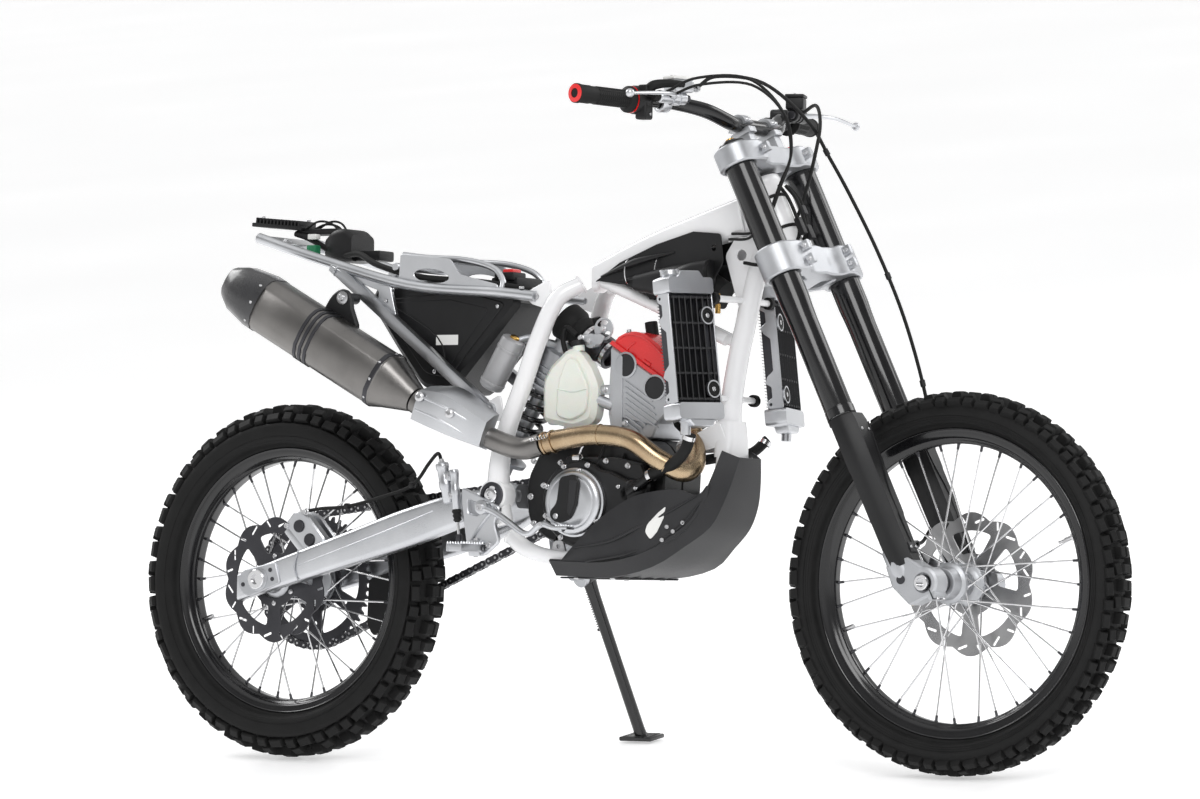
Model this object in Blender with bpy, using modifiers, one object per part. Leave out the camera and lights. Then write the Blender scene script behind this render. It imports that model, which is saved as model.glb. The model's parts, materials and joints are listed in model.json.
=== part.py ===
"""Stripped off-road motorcycle leaning on its side stand.

Metres, +Z up. The bike is modelled upright, front towards -Y and its left side towards +X, under
one empty, which then leans it over onto the stand and centres it on the ground.
"""
import math

import bmesh
import bpy
from mathutils import Matrix, Vector

# ---- driving dimensions ---------------------------------------------------------------------
WHEELBASE = 1.465
FRONT_RADIUS = 0.3475                         # axle above the ground, upright
REAR_RADIUS = 0.341
LEAN = math.radians(9.5)
RAKE = math.radians(26.0)
STEER_TOP = Vector((0.0, -0.2935, 1.115))     # on the steering axis, level with the upper clamp
CLAMP_OFFSET = 0.022                          # fork legs ahead of the steering axis
FORK_SPREAD = 0.105                           # fork leg's distance from the middle plane
FRONT_AXLE_DROP = 0.8823                      # front axle below STEER_TOP, along the steering axis
FRONT_AXLE_LEAD = 0.0581                      # front axle ahead of the steering axis
PIVOT = Vector((0.0, 0.189, 0.501))           # swingarm pivot
SPROCKET_SHAFT = Vector((0.069, 0.105, 0.515))
CHAIN_PITCH_RADII = (0.0329, 0.1263)          # small and large sprocket
TYRE_CROWN = 0.056                            # radius of both treads across the tyre
STAND_PIVOT = Vector((0.150, 0.165, 0.355))
STAND_FOOT = Vector((0.272, 0.105, 0.0))      # its height follows from the lean
STAND_FOLDED = Vector((0.090, 0.994, 0.060))  # the leg's direction when it is folded
NOSE_START = -0.150                           # where the skid plate begins to narrow
NOSE_TAPER = 3.5                              # share of its width lost for each metre ahead of that
CLEAR = 0.0003                                # gap between pieces that touch
WELD = 0.00002

FRONT_AXLE = Vector((0.0, -WHEELBASE / 2, FRONT_RADIUS))
REAR_AXLE = Vector((0.0, WHEELBASE / 2, REAR_RADIUS))
STAND_FOOT.z = (STAND_FOOT.x * math.sin(LEAN) - TYRE_CROWN * (1 - math.cos(LEAN))) / math.cos(LEAN)
STAND_AXIS = (STAND_FOOT - STAND_PIVOT).cross(STAND_FOLDED).normalized()
WHEEL_STEPS = 40
FLATS = 1 / math.cos(math.pi / WHEEL_STEPS)   # from a round wheel to one with flat facets

SPOKES_IN_A_FAN = 7                           # a few for strength; the looks have them all
SIDES = (("right", -1), ("left", 1))

for old in list(bpy.data.objects):
    bpy.data.objects.remove(old, do_unlink=True)

PARTS = bpy.data.collections.new("dirt_bike")
bpy.context.scene.collection.children.link(PARTS)


# ---- materials ------------------------------------------------------------------------------
def paint(name, colour, roughness, metallic=0.0):
    """A Principled material."""
    material = bpy.data.materials.new(name)
    material.use_nodes = True
    shader = material.node_tree.nodes["Principled BSDF"]
    shader.inputs["Base Color"].default_value = (*colour, 1.0)
    shader.inputs["Roughness"].default_value = roughness
    shader.inputs["Metallic"].default_value = metallic
    material.diffuse_color = (*colour, 1.0)
    return material


WHITE_PAINT = paint("white_paint", (0.86, 0.86, 0.88), 0.25)
BLACK_PAINT = paint("black_paint", (0.012, 0.012, 0.014), 0.2)
BLACK_PLASTIC = paint("black_plastic", (0.02, 0.02, 0.022), 0.5)
GREY_PLASTIC = paint("grey_plastic", (0.055, 0.055, 0.06), 0.5)
RUBBER = paint("rubber", (0.02, 0.02, 0.02), 0.8)
ALUMINIUM = paint("aluminium", (0.62, 0.63, 0.65), 0.4, 1.0)
STEEL = paint("steel", (0.5, 0.5, 0.52), 0.3, 1.0)
DARK_STEEL = paint("dark_steel", (0.09, 0.09, 0.1), 0.45, 1.0)
TITANIUM = paint("titanium", (0.36, 0.34, 0.33), 0.35, 1.0)
HEADER_METAL = paint("header_metal", (0.48, 0.36, 0.24), 0.3, 1.0)
RED_PLASTIC = paint("red_plastic", (0.75, 0.02, 0.02), 0.35)
MILKY_PLASTIC = paint("milky_plastic", (0.8, 0.82, 0.78), 0.4)


# ---- modelling tools ------------------------------------------------------------------------
def add(data):
    """A new object in the scene."""
    made = bpy.data.objects.new("piece", data)
    bpy.context.scene.collection.objects.link(made)
    return made


def bake(source):
    """The evaluated shape of an object, as a welded plain mesh in its place."""
    bpy.context.view_layer.update()
    depsgraph = bpy.context.evaluated_depsgraph_get()
    mesh = bpy.data.meshes.new_from_object(source.evaluated_get(depsgraph))
    body = bmesh.new()
    body.from_mesh(mesh)
    bmesh.ops.remove_doubles(body, verts=body.verts, dist=WELD)
    bmesh.ops.recalc_face_normals(body, faces=body.faces)
    body.to_mesh(mesh)
    body.free()
    made = add(mesh)
    made.matrix_world = source.matrix_world
    bpy.data.objects.remove(source, do_unlink=True)
    return made


def from_bmesh(body):
    """An object that holds a bmesh."""
    mesh = bpy.data.meshes.new("shape")
    body.to_mesh(mesh)
    body.free()
    return add(mesh)


def facing(direction, place=(0, 0, 0)):
    """A matrix at a place whose Z axis points along a direction."""
    turn = Vector(direction).to_track_quat("Z", "Y").to_matrix().to_4x4()
    return Matrix.Translation(Vector(place)) @ turn


SIDEWAYS = Matrix(((0, 0, 1, 0), (1, 0, 0, 0), (0, 1, 0, 0), (0, 0, 0, 1)))  # local XYZ is bike YZX


def rod(start, end, radius, sides=12):
    """A round bar between two points."""
    start, end = Vector(start), Vector(end)
    body = bmesh.new()
    bmesh.ops.create_cone(body, cap_ends=True, segments=sides, radius1=radius, radius2=radius,
                          depth=(end - start).length)
    made = from_bmesh(body)
    made.matrix_world = facing(end - start, (start + end) / 2)
    return made


def block(size, place=(0, 0, 0), turn=None, bevel=0.0):
    """A box with flat bevelled edges."""
    body = bmesh.new()
    bmesh.ops.create_cube(body, size=1.0)
    bmesh.ops.scale(body, vec=Vector(size), verts=body.verts)
    made = from_bmesh(body)
    made.matrix_world = Matrix.Translation(Vector(place)) @ (turn or Matrix.Identity(4))
    if bevel:
        edge = made.modifiers.new("Bevel", "BEVEL")
        edge.width = bevel
        edge.segments = 1
        made = bake(made)
    return made


def turned(profile, steps=24, ring=False, frame=None):
    """A turned shape. The profile is (radius, height), running down its outer side."""
    points = [Vector((radius, 0, height)) for radius, height in profile]
    if not ring:
        points = [Vector((0, 0, points[0].z))] + points + [Vector((0, 0, points[-1].z))]
    edges = [(i, i + 1) for i in range(len(points) - 1)]
    if ring:
        edges.append((len(points) - 1, 0))
    mesh = bpy.data.meshes.new("profile")
    mesh.from_pydata(points, edges, [])
    made = add(mesh)
    made.matrix_world = frame or Matrix.Identity(4)
    screw = made.modifiers.new("Screw", "SCREW")
    screw.steps = steps
    screw.render_steps = steps
    screw.use_merge_vertices = True
    screw.merge_threshold = 0.00005
    return bake(made)


def flowing(points, steps):
    """Points along a smooth curve through the given ones."""
    spots = [Vector(point) for point in points]
    spots = [2 * spots[0] - spots[1]] + spots + [2 * spots[-1] - spots[-2]]
    path = []
    for before, start, end, after in zip(spots, spots[1:], spots[2:], spots[3:]):
        for step in range(steps):
            t = step / steps
            path.append(0.5 * ((2 * start) + (end - before) * t
                               + (2 * before - 5 * start + 4 * end - after) * t ** 2
                               + (3 * start - before - 3 * end + after) * t ** 3))
    return path + [spots[-2]]


def tube(points, radius, sides=8, steps=3, frame=None):
    """A bent round bar through points."""
    path = flowing(points, steps) if steps > 1 else [Vector(point) for point in points]
    curve = bpy.data.curves.new("tube", "CURVE")
    curve.dimensions = "3D"
    curve.bevel_depth = radius
    curve.bevel_resolution = sides // 2 - 2
    curve.use_fill_caps = True
    spline = curve.splines.new("POLY")
    spline.points.add(len(path) - 1)
    for point, place in zip(spline.points, path):
        point.co = (*place, 1.0)
    made = add(curve)
    made.matrix_world = frame or Matrix.Identity(4)
    return bake(made)


def plate(outline, thickness, frame, holes=()):
    """A flat piece in its frame's XY plane, half its thickness to each side."""
    curve = bpy.data.curves.new("plate", "CURVE")
    curve.dimensions = "2D"
    curve.fill_mode = "BOTH"
    curve.extrude = thickness / 2
    for ring in (outline, *holes):
        spline = curve.splines.new("POLY")
        spline.points.add(len(ring) - 1)
        for point, place in zip(spline.points, ring):
            point.co = (place[0], place[1], 0.0, 1.0)
        spline.use_cyclic_u = True
    made = add(curve)
    made.matrix_world = frame
    return bake(made)


def side_plate(outline, low, high, holes=()):
    """A plate drawn in the side view as (y, z), between two x values."""
    frame = Matrix.Translation(((low + high) / 2, 0, 0)) @ SIDEWAYS
    return plate(outline, high - low, frame, holes)


def arc(centre, radius, start, end, count):
    """Points on an arc, angles in degrees."""
    angles = [math.radians(start + (end - start) * i / (count - 1)) for i in range(count)]
    return [(centre[0] + radius * math.cos(a), centre[1] + radius * math.sin(a)) for a in angles]


def loft(sections, frame=None):
    """A closed skin over sections that have the same number of points."""
    body = bmesh.new()
    rings = [[body.verts.new(Vector(point)) for point in section] for section in sections]
    for near, far in zip(rings, rings[1:]):
        for i in range(len(near)):
            j = (i + 1) % len(near)
            body.faces.new((near[i], near[j], far[j], far[i]))
    body.faces.new(rings[0])
    body.faces.new(rings[-1])
    bmesh.ops.recalc_face_normals(body, faces=body.faces)
    made = from_bmesh(body)
    made.matrix_world = frame or Matrix.Identity(4)
    return made


def chamfered(x_low, x_high, z_low, z_high, y, corner):
    """A rectangle across the bike with its corners cut."""
    return [(x_low + corner, y, z_low), (x_high - corner, y, z_low), (x_high, y, z_low + corner),
            (x_high, y, z_high - corner), (x_high - corner, y, z_high), (x_low + corner, y, z_high),
            (x_low, y, z_high - corner), (x_low, y, z_low + corner)]


def combined(base, others, operation="UNION"):
    """One closed body from a base and the pieces added to it or cut from it."""
    for other in others:
        step = base.modifiers.new(operation, "BOOLEAN")
        step.operation = operation
        step.solver = "EXACT"
        step.object = other
    made = bake(base)
    for other in others:
        bpy.data.objects.remove(other, do_unlink=True)
    return made


def cut(base, *cutters):
    """A piece with others taken away from it."""
    return combined(base, cutters, "DIFFERENCE")


def joint_empty(name, frame, parent=None):
    """An empty on a joint's axis, which is its local Z."""
    empty = bpy.data.objects.new(name, None)
    empty.empty_display_size = 0.1
    PARTS.objects.link(empty)
    if parent:
        empty.parent = parent
        empty.matrix_parent_inverse = parent.matrix_world.inverted()
    empty.matrix_world = frame
    bpy.context.view_layer.update()
    return empty


def finish(name, made, body, material):
    """Name a piece, paint it and hang it on its body."""
    made.name = name
    made.data.name = name
    made.data.materials.clear()
    made.data.materials.append(material)
    made.data.shade_smooth()
    made.data.set_sharp_from_angle(angle=math.radians(35))
    for collection in list(made.users_collection):
        collection.objects.unlink(made)
    PARTS.objects.link(made)
    made.parent = body
    made.matrix_parent_inverse = body.matrix_world.inverted()
    return made


# ---- bodies ---------------------------------------------------------------------------------
STEER_UP = Vector((0, math.sin(RAKE), math.cos(RAKE)))
STEER_BACK = Vector((0, math.cos(RAKE), -math.sin(RAKE)))
STEER_FRAME = Matrix((
    (1, STEER_BACK.x, STEER_UP.x, STEER_TOP.x),
    (0, STEER_BACK.y, STEER_UP.y, STEER_TOP.y),
    (0, STEER_BACK.z, STEER_UP.z, STEER_TOP.z),
    (0, 0, 0, 1)))
WHEEL_TURN = Matrix.Rotation(math.radians(90), 4, "Y")
FACET_DOWN = Matrix.Rotation(math.pi / WHEEL_STEPS, 4, "Z")   # a wheel rests on a facet

BIKE = joint_empty("bike", Matrix.Identity(4))
STEERING = joint_empty("steering_axis", STEER_FRAME, BIKE)
FRONT_FRAME = Matrix.Translation(FRONT_AXLE) @ WHEEL_TURN @ FACET_DOWN
REAR_FRAME = Matrix.Translation(REAR_AXLE) @ WHEEL_TURN @ FACET_DOWN
FRONT_WHEEL = joint_empty("front_wheel_axis", FRONT_FRAME, STEERING)
REAR_WHEEL = joint_empty("rear_wheel_axis", REAR_FRAME, BIKE)
STAND = joint_empty("stand_axis", facing(STAND_AXIS, STAND_PIVOT), BIKE)


def steer(x, down, ahead):
    """A point given by x, its distance down the steering axis, and its lead on that axis."""
    return STEER_FRAME @ Vector((x, -ahead, -down))


# ---- wheels ---------------------------------------------------------------------------------
def tyre(radius, half_width, bead_radius, bead_half_width):
    """A tyre's closed section: round crown, straight sidewalls, flat above the rim."""
    edge = math.asin(half_width * 0.99 / TYRE_CROWN)
    section = [(bead_radius, bead_half_width), (bead_radius + 0.016, half_width)]
    for turn in (edge, edge * 0.6, LEAN, -LEAN, -edge * 0.6, -edge):
        section.append((radius - TYRE_CROWN * (1 - math.cos(turn)), TYRE_CROWN * math.sin(turn)))
    section += [(bead_radius + 0.016, -half_width), (bead_radius, -bead_half_width)]
    return section


def rim(flange, opening, half_width):
    """A rim's closed section, with its well towards the hub."""
    wall = 0.0035
    return [(flange, half_width), (opening + 0.013, half_width - 0.003), (opening, half_width * 0.45),
            (opening, -half_width * 0.45), (opening + 0.013, -half_width + 0.003),
            (flange, -half_width), (flange, -half_width + wall),
            (opening + 0.016, -half_width + wall + 0.001), (opening + wall, -half_width * 0.4),
            (opening + wall, half_width * 0.4), (opening + 0.016, half_width - wall - 0.001),
            (flange, half_width - wall)]


def spoked_hub(profile, flange_radius, flange_x, opening, frame):
    """A bored hub with a fan of spokes to each flange."""
    hub = turned(profile, 16, ring=True, frame=frame)
    spokes = []
    for side in (-1, 1):
        for index in range(SPOKES_IN_A_FAN):
            angle = math.tau * (index + 0.25 * side) / SPOKES_IN_A_FAN
            lag = angle + math.radians(12)
            start = Vector((flange_radius * math.cos(angle), flange_radius * math.sin(angle),
                            side * flange_x))
            reach = opening - 0.003
            end = Vector((reach * math.cos(lag), reach * math.sin(lag), side * 0.004))
            spokes.append(rod(frame @ start, frame @ end, 0.0018, 4))
    return combined(hub, spokes)


def front_wheel():
    """Tyre, rim, spoked hub and brake disc on the front axle."""
    section = tyre(FRONT_RADIUS * FLATS, 0.044, 0.2803, 0.024)
    finish("front_tyre", turned(section, WHEEL_STEPS, True, FRONT_FRAME), FRONT_WHEEL, RUBBER)
    made = turned(rim(0.2795, 0.2515, 0.023), WHEEL_STEPS, True, FRONT_FRAME)
    finish("front_rim", made, FRONT_WHEEL, BLACK_PAINT)
    profile = [(0.020, 0.060), (0.020, 0.0455), (0.034, 0.045), (0.034, 0.030), (0.021, 0.022),
               (0.021, -0.022), (0.031, -0.028), (0.031, -0.035), (0.020, -0.040),
               (0.020, -0.060), (0.0110, -0.060), (0.0110, 0.060)]
    made = spoked_hub(profile, 0.027, 0.032, 0.2515, FRONT_FRAME)
    finish("front_hub", made, FRONT_WHEEL, ALUMINIUM)
    disc = [(0.130, 0.0495), (0.130, 0.0460), (0.0205, 0.0460), (0.0205, 0.0495)]
    finish("front_disc", turned(disc, 28, True, FRONT_FRAME), FRONT_WHEEL, STEEL)


def rear_wheel():
    """Tyre, rim, spoked hub, brake disc and sprocket on the rear axle."""
    section = tyre(REAR_RADIUS * FLATS, 0.055, 0.2553, 0.033)
    finish("rear_tyre", turned(section, WHEEL_STEPS, True, REAR_FRAME), REAR_WHEEL, RUBBER)
    made = turned(rim(0.2545, 0.2285, 0.031), WHEEL_STEPS, True, REAR_FRAME)
    finish("rear_rim", made, REAR_WHEEL, BLACK_PAINT)
    profile = [(0.024, 0.082), (0.024, 0.0635), (0.046, 0.063), (0.046, 0.050), (0.026, 0.040),
               (0.026, -0.040), (0.040, -0.050), (0.040, -0.060), (0.024, -0.0605),
               (0.024, -0.082), (0.0138, -0.082), (0.0138, 0.082)]
    made = spoked_hub(profile, 0.035, 0.053, 0.2285, REAR_FRAME)
    finish("rear_hub", made, REAR_WHEEL, ALUMINIUM)
    disc = [(0.120, -0.0635), (0.120, -0.0675), (0.0245, -0.0675), (0.0245, -0.0635)]
    finish("rear_disc", turned(disc, 28, True, REAR_FRAME), REAR_WHEEL, DARK_STEEL)
    ring = [(0.117, 0.072), (0.117, 0.066), (0.0245, 0.066), (0.0245, 0.072)]
    made = turned(ring, 28, True, REAR_FRAME)
    finish("rear_sprocket", made, REAR_WHEEL, DARK_STEEL)


# ---- steering -------------------------------------------------------------------------------
def clamp_plate(down, depth, rear_reach):
    """A fork clamp: a waisted plate round both legs."""
    ahead = CLAMP_OFFSET
    ear = 0.041
    half = [(0.0, -ahead - 0.034), (0.045, -ahead - 0.030), (0.080, -ahead - 0.033)]
    half += arc((FORK_SPREAD, -ahead), ear, -75, 110, 7)
    half += [(0.060, rear_reach - 0.012), (0.030, rear_reach), (0.0, rear_reach)]
    outline = half + [(-x, y) for x, y in half[-2:0:-1]]
    frame = STEER_FRAME @ Matrix.Translation((0, 0, -down - depth / 2))
    return plate(outline, depth, frame)


def forks():
    """Clamps, stem, tubes, lower legs with guards and lugs, and the axle."""
    tube_radius = 0.0285
    for name, down, depth, rear in (("upper_clamp", -0.012, 0.040, 0.028),
                                    ("lower_clamp", 0.194, 0.058, 0.030)):
        made = clamp_plate(down, depth, rear)
        holes = [rod(steer(side * FORK_SPREAD, down - 0.02, CLAMP_OFFSET),
                     steer(side * FORK_SPREAD, down + depth + 0.02, CLAMP_OFFSET),
                     tube_radius + 2 * CLEAR, 16) for _, side in SIDES]
        made = cut(made, *holes)
        if name == "lower_clamp":
            stem = rod(steer(0, 0.030, 0), steer(0, 0.21, 0), 0.0125, 16)
            made = combined(made, [stem])
        else:
            risers = [block((0.024, 0.034, 0.044), (side * 0.045, -0.022, 0.033),
                            bevel=0.003) for _, side in SIDES]
            for riser in risers:
                riser.matrix_world = STEER_FRAME @ riser.matrix_world
            top_nut = rod(steer(0, -0.022, 0), steer(0, 0.0, 0), 0.016, 12)
            grooves = [rod(steer(-0.1, -0.0622, 0.023), steer(0.1, -0.0622, 0.023), 0.0146, 16)]
            made = combined(made, [*risers, top_nut])
            made = cut(made, *grooves)
        finish(name, made, STEERING, ALUMINIUM)
    for name, side in SIDES:
        profile = [(0.024, 0.020), (tube_radius, 0.015), (tube_radius, -0.300),
                   (0.0265, -0.330), (0.0265, -0.535)]
        frame = STEER_FRAME @ Matrix.Translation((side * FORK_SPREAD, -CLAMP_OFFSET, 0))
        made = turned(profile, 16, frame=frame)
        finish("fork_tube_" + name, made, STEERING, BLACK_PAINT)
        finish("fork_leg_" + name, fork_leg(side), STEERING, BLACK_PLASTIC)
    made = turned([(0.014, 0.138), (0.014, 0.1285), (0.010, 0.1285), (0.010, -0.1285),
                   (0.014, -0.1285), (0.014, -0.134)], 16, frame=FRONT_FRAME)
    finish("front_axle", made, STEERING, STEEL)


def fork_leg(side):
    """Sliding tube, guard and axle lug of one fork leg."""
    x = side * FORK_SPREAD
    slider = rod(steer(x, 0.5355, CLAMP_OFFSET), steer(x, 0.83, CLAMP_OFFSET), 0.0235, 16)
    outline = [(-0.034, 0.010), (-0.036, -0.012), (-0.020, -0.034), (0.020, -0.034),
               (0.036, -0.012), (0.034, 0.010)]
    narrow = [(px * 0.72, py * 0.92) for px, py in outline]
    wide = [(px * 0.95, py) for px, py in outline]
    levels = ((-0.540, wide), (-0.700, wide), (-0.845, narrow))
    sections = [[(px, py, level) for px, py in ring] for level, ring in levels]
    frame = STEER_FRAME @ Matrix.Translation((x, -CLAMP_OFFSET, 0))
    guard = loft(sections, frame)
    lug_frame = STEER_FRAME @ Matrix.Translation((x, 0, 0)) @ SIDEWAYS
    lug_outline = [(-0.048, -0.800), (0.004, -0.800), (0.006, -0.860), (-0.018, -0.915)]
    lug_outline += arc((-FRONT_AXLE_LEAD, -FRONT_AXLE_DROP), 0.030, 285, 110, 7)
    lug = plate(lug_outline, 0.046, lug_frame)
    bore = rod(FRONT_AXLE - Vector((0.2, 0, 0)), FRONT_AXLE + Vector((0.2, 0, 0)),
               0.010 + CLEAR, 16)
    leg = combined(slider, [guard, lug])
    return cut(leg, bore)


def handlebar():
    """The bar with its grips, master cylinders and levers."""
    centre = steer(0, -0.0622, 0.023)
    half = [(0.05, centre.y, centre.z), (0.085, -0.285, 1.185), (0.130, -0.262, 1.203),
            (0.185, -0.228, 1.213), (0.235, -0.205, 1.2135), (0.275, -0.192, 1.2135),
            (0.402, -0.1635, 1.2155)]
    path = [(-x, y, z) for x, y, z in reversed(half)] + half
    made = tube(path, 0.0111, 8, 1)
    thick = tube(path[3:-3], 0.0141, 8, 1)
    made = combined(made, [thick])
    finish("handlebar", made, STEERING, BLACK_PAINT)
    for name, side in SIDES:
        inner = Vector((side * 0.275, -0.192, 1.2135))
        outer = Vector((side * 0.402, -0.1635, 1.2155))
        way = (outer - inner).normalized()
        flange = rod(inner, inner + way * 0.006, 0.025, 16)
        body = rod(inner, outer + way * 0.008, 0.0165, 16)
        bore = rod(inner - way * 0.05, outer + way * 0.002, 0.0111 + 2 * CLEAR, 16)
        grip = cut(combined(body, [flange]), bore)
        finish("grip_" + name, grip, STEERING, RUBBER)
    controls()


def controls():
    """Master cylinders with their levers, one on each side of the bar."""
    for name, side in (("brake_master_cylinder", -1), ("clutch_master_cylinder", 1)):
        seat = Vector((side * 0.205, -0.219, 1.2135))
        bar_way = Vector((side * 0.055, 0.024, 0.0)).normalized()
        band = rod(seat - bar_way * 0.012, seat + bar_way * 0.012, 0.021, 14)
        cylinder = rod(seat + Vector((-side * 0.012, -0.034, 0.006)),
                       seat + Vector((side * 0.052, -0.020, 0.006)), 0.013, 12)
        tank = block((0.046, 0.034, 0.030), seat + Vector((0, -0.034, 0.030)),
                     Matrix.Rotation(side * 0.4, 4, "Z"), 0.004)
        lever = tube([seat + Vector((side * 0.030, -0.036, 0.006)),
                      seat + Vector((side * 0.060, -0.062, 0.008)),
                      seat + Vector((side * 0.110, -0.064, 0.006)),
                      seat + Vector((side * 0.180, -0.052, 0.000))], 0.0065, 8, 2)
        knob = rod(seat + Vector((side * 0.176, -0.0525, 0.000)),
                   seat + Vector((side * 0.190, -0.0500, 0.000)), 0.0095, 10)
        bore = tube([(side * 0.130, -0.262, 1.203), (side * 0.185, -0.228, 1.213),
                     (side * 0.235, -0.205, 1.2135), (side * 0.275, -0.192, 1.2135)],
                    0.0146, 8, 1)
        made = cut(combined(band, [cylinder, tank, lever, knob]), bore)
        finish(name, made, STEERING, ALUMINIUM if side < 0 else BLACK_PLASTIC)


def front_brake():
    """The caliper behind the left lug, and the hose that feeds it from the bar."""
    caliper = block((0.0315, 0.052, 0.080), (0.0503, 0.030, -0.822), bevel=0.006)
    caliper.matrix_world = STEER_FRAME @ caliper.matrix_world
    bracket = block((0.0200, 0.026, 0.060), (0.0716, 0.024, -0.828))
    bracket.matrix_world = STEER_FRAME @ bracket.matrix_world
    slot = turned([(0.136, 0.0545), (0.136, 0.0410), (0.01, 0.0410), (0.01, 0.0545)], 28, True,
                  FRONT_FRAME)
    hub_room = rod(FRONT_AXLE - Vector((0.08, 0, 0)), FRONT_AXLE + Vector((0.08, 0, 0)), 0.060, 20)
    made = cut(combined(caliper, [bracket]), slot, hub_room)
    finish("front_caliper", made, STEERING, DARK_STEEL)
    path = [(-0.170, -0.268, 1.240), (-0.150, -0.300, 1.262), (-0.060, -0.345, 1.255),
            (0.050, -0.372, 1.195), (0.110, -0.385, 1.130), (0.128, -0.420, 1.060),
            (0.142, -0.470, 0.960), (0.148, -0.520, 0.850), (0.148, -0.560, 0.740),
            (0.148, -0.586, 0.640), (0.148, -0.598, 0.545), (0.142, -0.602, 0.475),
            (0.110, -0.598, 0.428), (0.060, -0.6090, 0.418)]
    made = tube(path, 0.004, 8, 2)
    finish("front_brake_hose", made, STEERING, RUBBER)


# ---- frame ----------------------------------------------------------------------------------
def frame_tubes():
    """Head tube, backbone, struts, downtube, cradles and uprights."""
    head = turned([(0.031, -0.035), (0.031, -0.050), (0.027, -0.056), (0.027, -0.168),
                   (0.031, -0.174), (0.031, -0.189)], 20, frame=STEER_FRAME)
    spine = loft([chamfered(-0.027, 0.027, 0.985, 1.066, -0.316, 0.010),
                  chamfered(-0.025, 0.025, 0.975, 1.046, -0.250, 0.010),
                  chamfered(-0.022, 0.022, 0.930, 0.990, -0.077, 0.010),
                  chamfered(-0.026, 0.026, 0.882, 0.936, 0.046, 0.010)])
    struts = [rod((side * 0.016, 0.034, 0.905), (side * 0.010, -0.243, 0.790), 0.011, 8)
              for _, side in SIDES]
    bore = rod(steer(0, -0.05, 0), steer(0, 0.25, 0), 0.0160, 16)
    finish("frame_spine", cut(combined(head, [spine, *struts]), bore), BIKE, WHITE_PAINT)

    made = tube([(0, -0.340, 1.000), (0, -0.313, 0.935), (0, -0.293, 0.880), (0, -0.277, 0.820),
                 (0, -0.263, 0.762), (0, -0.249, 0.680), (0, -0.244, 0.612)], 0.0195, 10, 2)
    head_room = rod(steer(0, 0.0, 0), steer(0, 0.23, 0), 0.031 + 2 * CLEAR, 20)
    spine_room = block((0.10, 0.20, 0.10), (0, -0.33, 1.023))
    finish("frame_downtube", cut(made, head_room, spine_room), BIKE, WHITE_PAINT)

    for name, side in SIDES:
        made = tube([(side * 0.016, -0.246, 0.598), (side * 0.042, -0.253, 0.540),
                     (side * 0.066, -0.228, 0.470), (side * 0.086, -0.180, 0.415),
                     (side * 0.098, -0.100, 0.388), (side * 0.108, 0.050, 0.386),
                     (side * 0.113, 0.120, 0.400), (side * 0.114, 0.158, 0.428)], 0.0125, 8, 2)
        finish("frame_cradle_" + name, made, BIKE, WHITE_PAINT)
        bent = tube([(side * 0.049, 0.052, 0.896), (side * 0.078, 0.088, 0.866),
                     (side * 0.094, 0.118, 0.790), (side * 0.101, 0.142, 0.715),
                     (side * 0.109, 0.171, 0.632), (side * 0.115, 0.184, 0.570),
                     (side * 0.115, 0.187, 0.501), (side * 0.114, 0.174, 0.448)], 0.0170, 8, 2)
        boss = rod((side * 0.096, PIVOT.y, PIVOT.z), (side * 0.134, PIVOT.y, PIVOT.z), 0.029, 16)
        finish("frame_upright_" + name, combined(bent, [boss]), BIKE, WHITE_PAINT)


def subframe():
    """Rear subframe halves; the left one carries the bridge at the tail."""
    for name, side in SIDES:
        upper = tube([(side * 0.088, 0.130, 0.872), (side * 0.090, 0.214, 0.881),
                      (side * 0.094, 0.410, 0.897), (side * 0.098, 0.610, 0.948),
                      (side * 0.092, 0.765, 0.994)], 0.0110, 8, 3)
        lower = rod((side * 0.113, 0.212, 0.660), (side * 0.097, 0.580, 0.934), 0.0105, 8)
        pieces = [lower]
        if side > 0:
            pieces.append(block((0.170, 0.060, 0.014), (0.005, 0.735, 0.985),
                                Matrix.Rotation(math.radians(16), 4, "X")))
        finish("subframe_" + name, combined(upper, pieces), BIKE, ALUMINIUM)


def swingarm():
    """Two tapered arms on a bridge behind the pivot, drilled for the axle."""
    slope = (REAR_AXLE.z - PIVOT.z) / (REAR_AXLE.y - PIVOT.y)
    stations = ((0.200, 0.050, 0.0885, 0.020), (0.228, 0.055, 0.0885, 0.024),
                (0.290, 0.080, 0.118, 0.032), (0.400, 0.087, 0.121, 0.037),
                (0.600, 0.088, 0.119, 0.030), (0.700, 0.088, 0.117, 0.027),
                (0.790, 0.088, 0.116, 0.024))
    arms = []
    for _, side in SIDES:
        sections = []
        for y, inner, outer, half in stations:
            middle = PIVOT.z + slope * (y - PIVOT.y)
            low, high = sorted((side * inner, side * outer))
            sections.append(chamfered(low, high, middle - half, middle + half, y, 0.006))
        arms.append(loft(sections))
    bridge = loft([chamfered(-0.0885, 0.0885, 0.478, 0.523, 0.168, 0.010),
                   chamfered(-0.0885, 0.0885, 0.474, 0.515, 0.215, 0.008),
                   chamfered(-0.0900, 0.0900, 0.444, 0.492, 0.310, 0.008)])
    axle_room = rod(REAR_AXLE - Vector((0.2, 0, 0)), REAR_AXLE + Vector((0.2, 0, 0)),
                    0.0125 + CLEAR, 16)
    finish("swingarm", cut(combined(bridge, arms), axle_room), BIKE, ALUMINIUM)
    made = turned([(0.019, 0.131), (0.019, 0.1195), (0.0125, 0.1195), (0.0125, -0.1195),
                   (0.019, -0.1195), (0.019, -0.131)], 16, frame=REAR_FRAME)
    finish("rear_axle", made, BIKE, STEEL)


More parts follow.
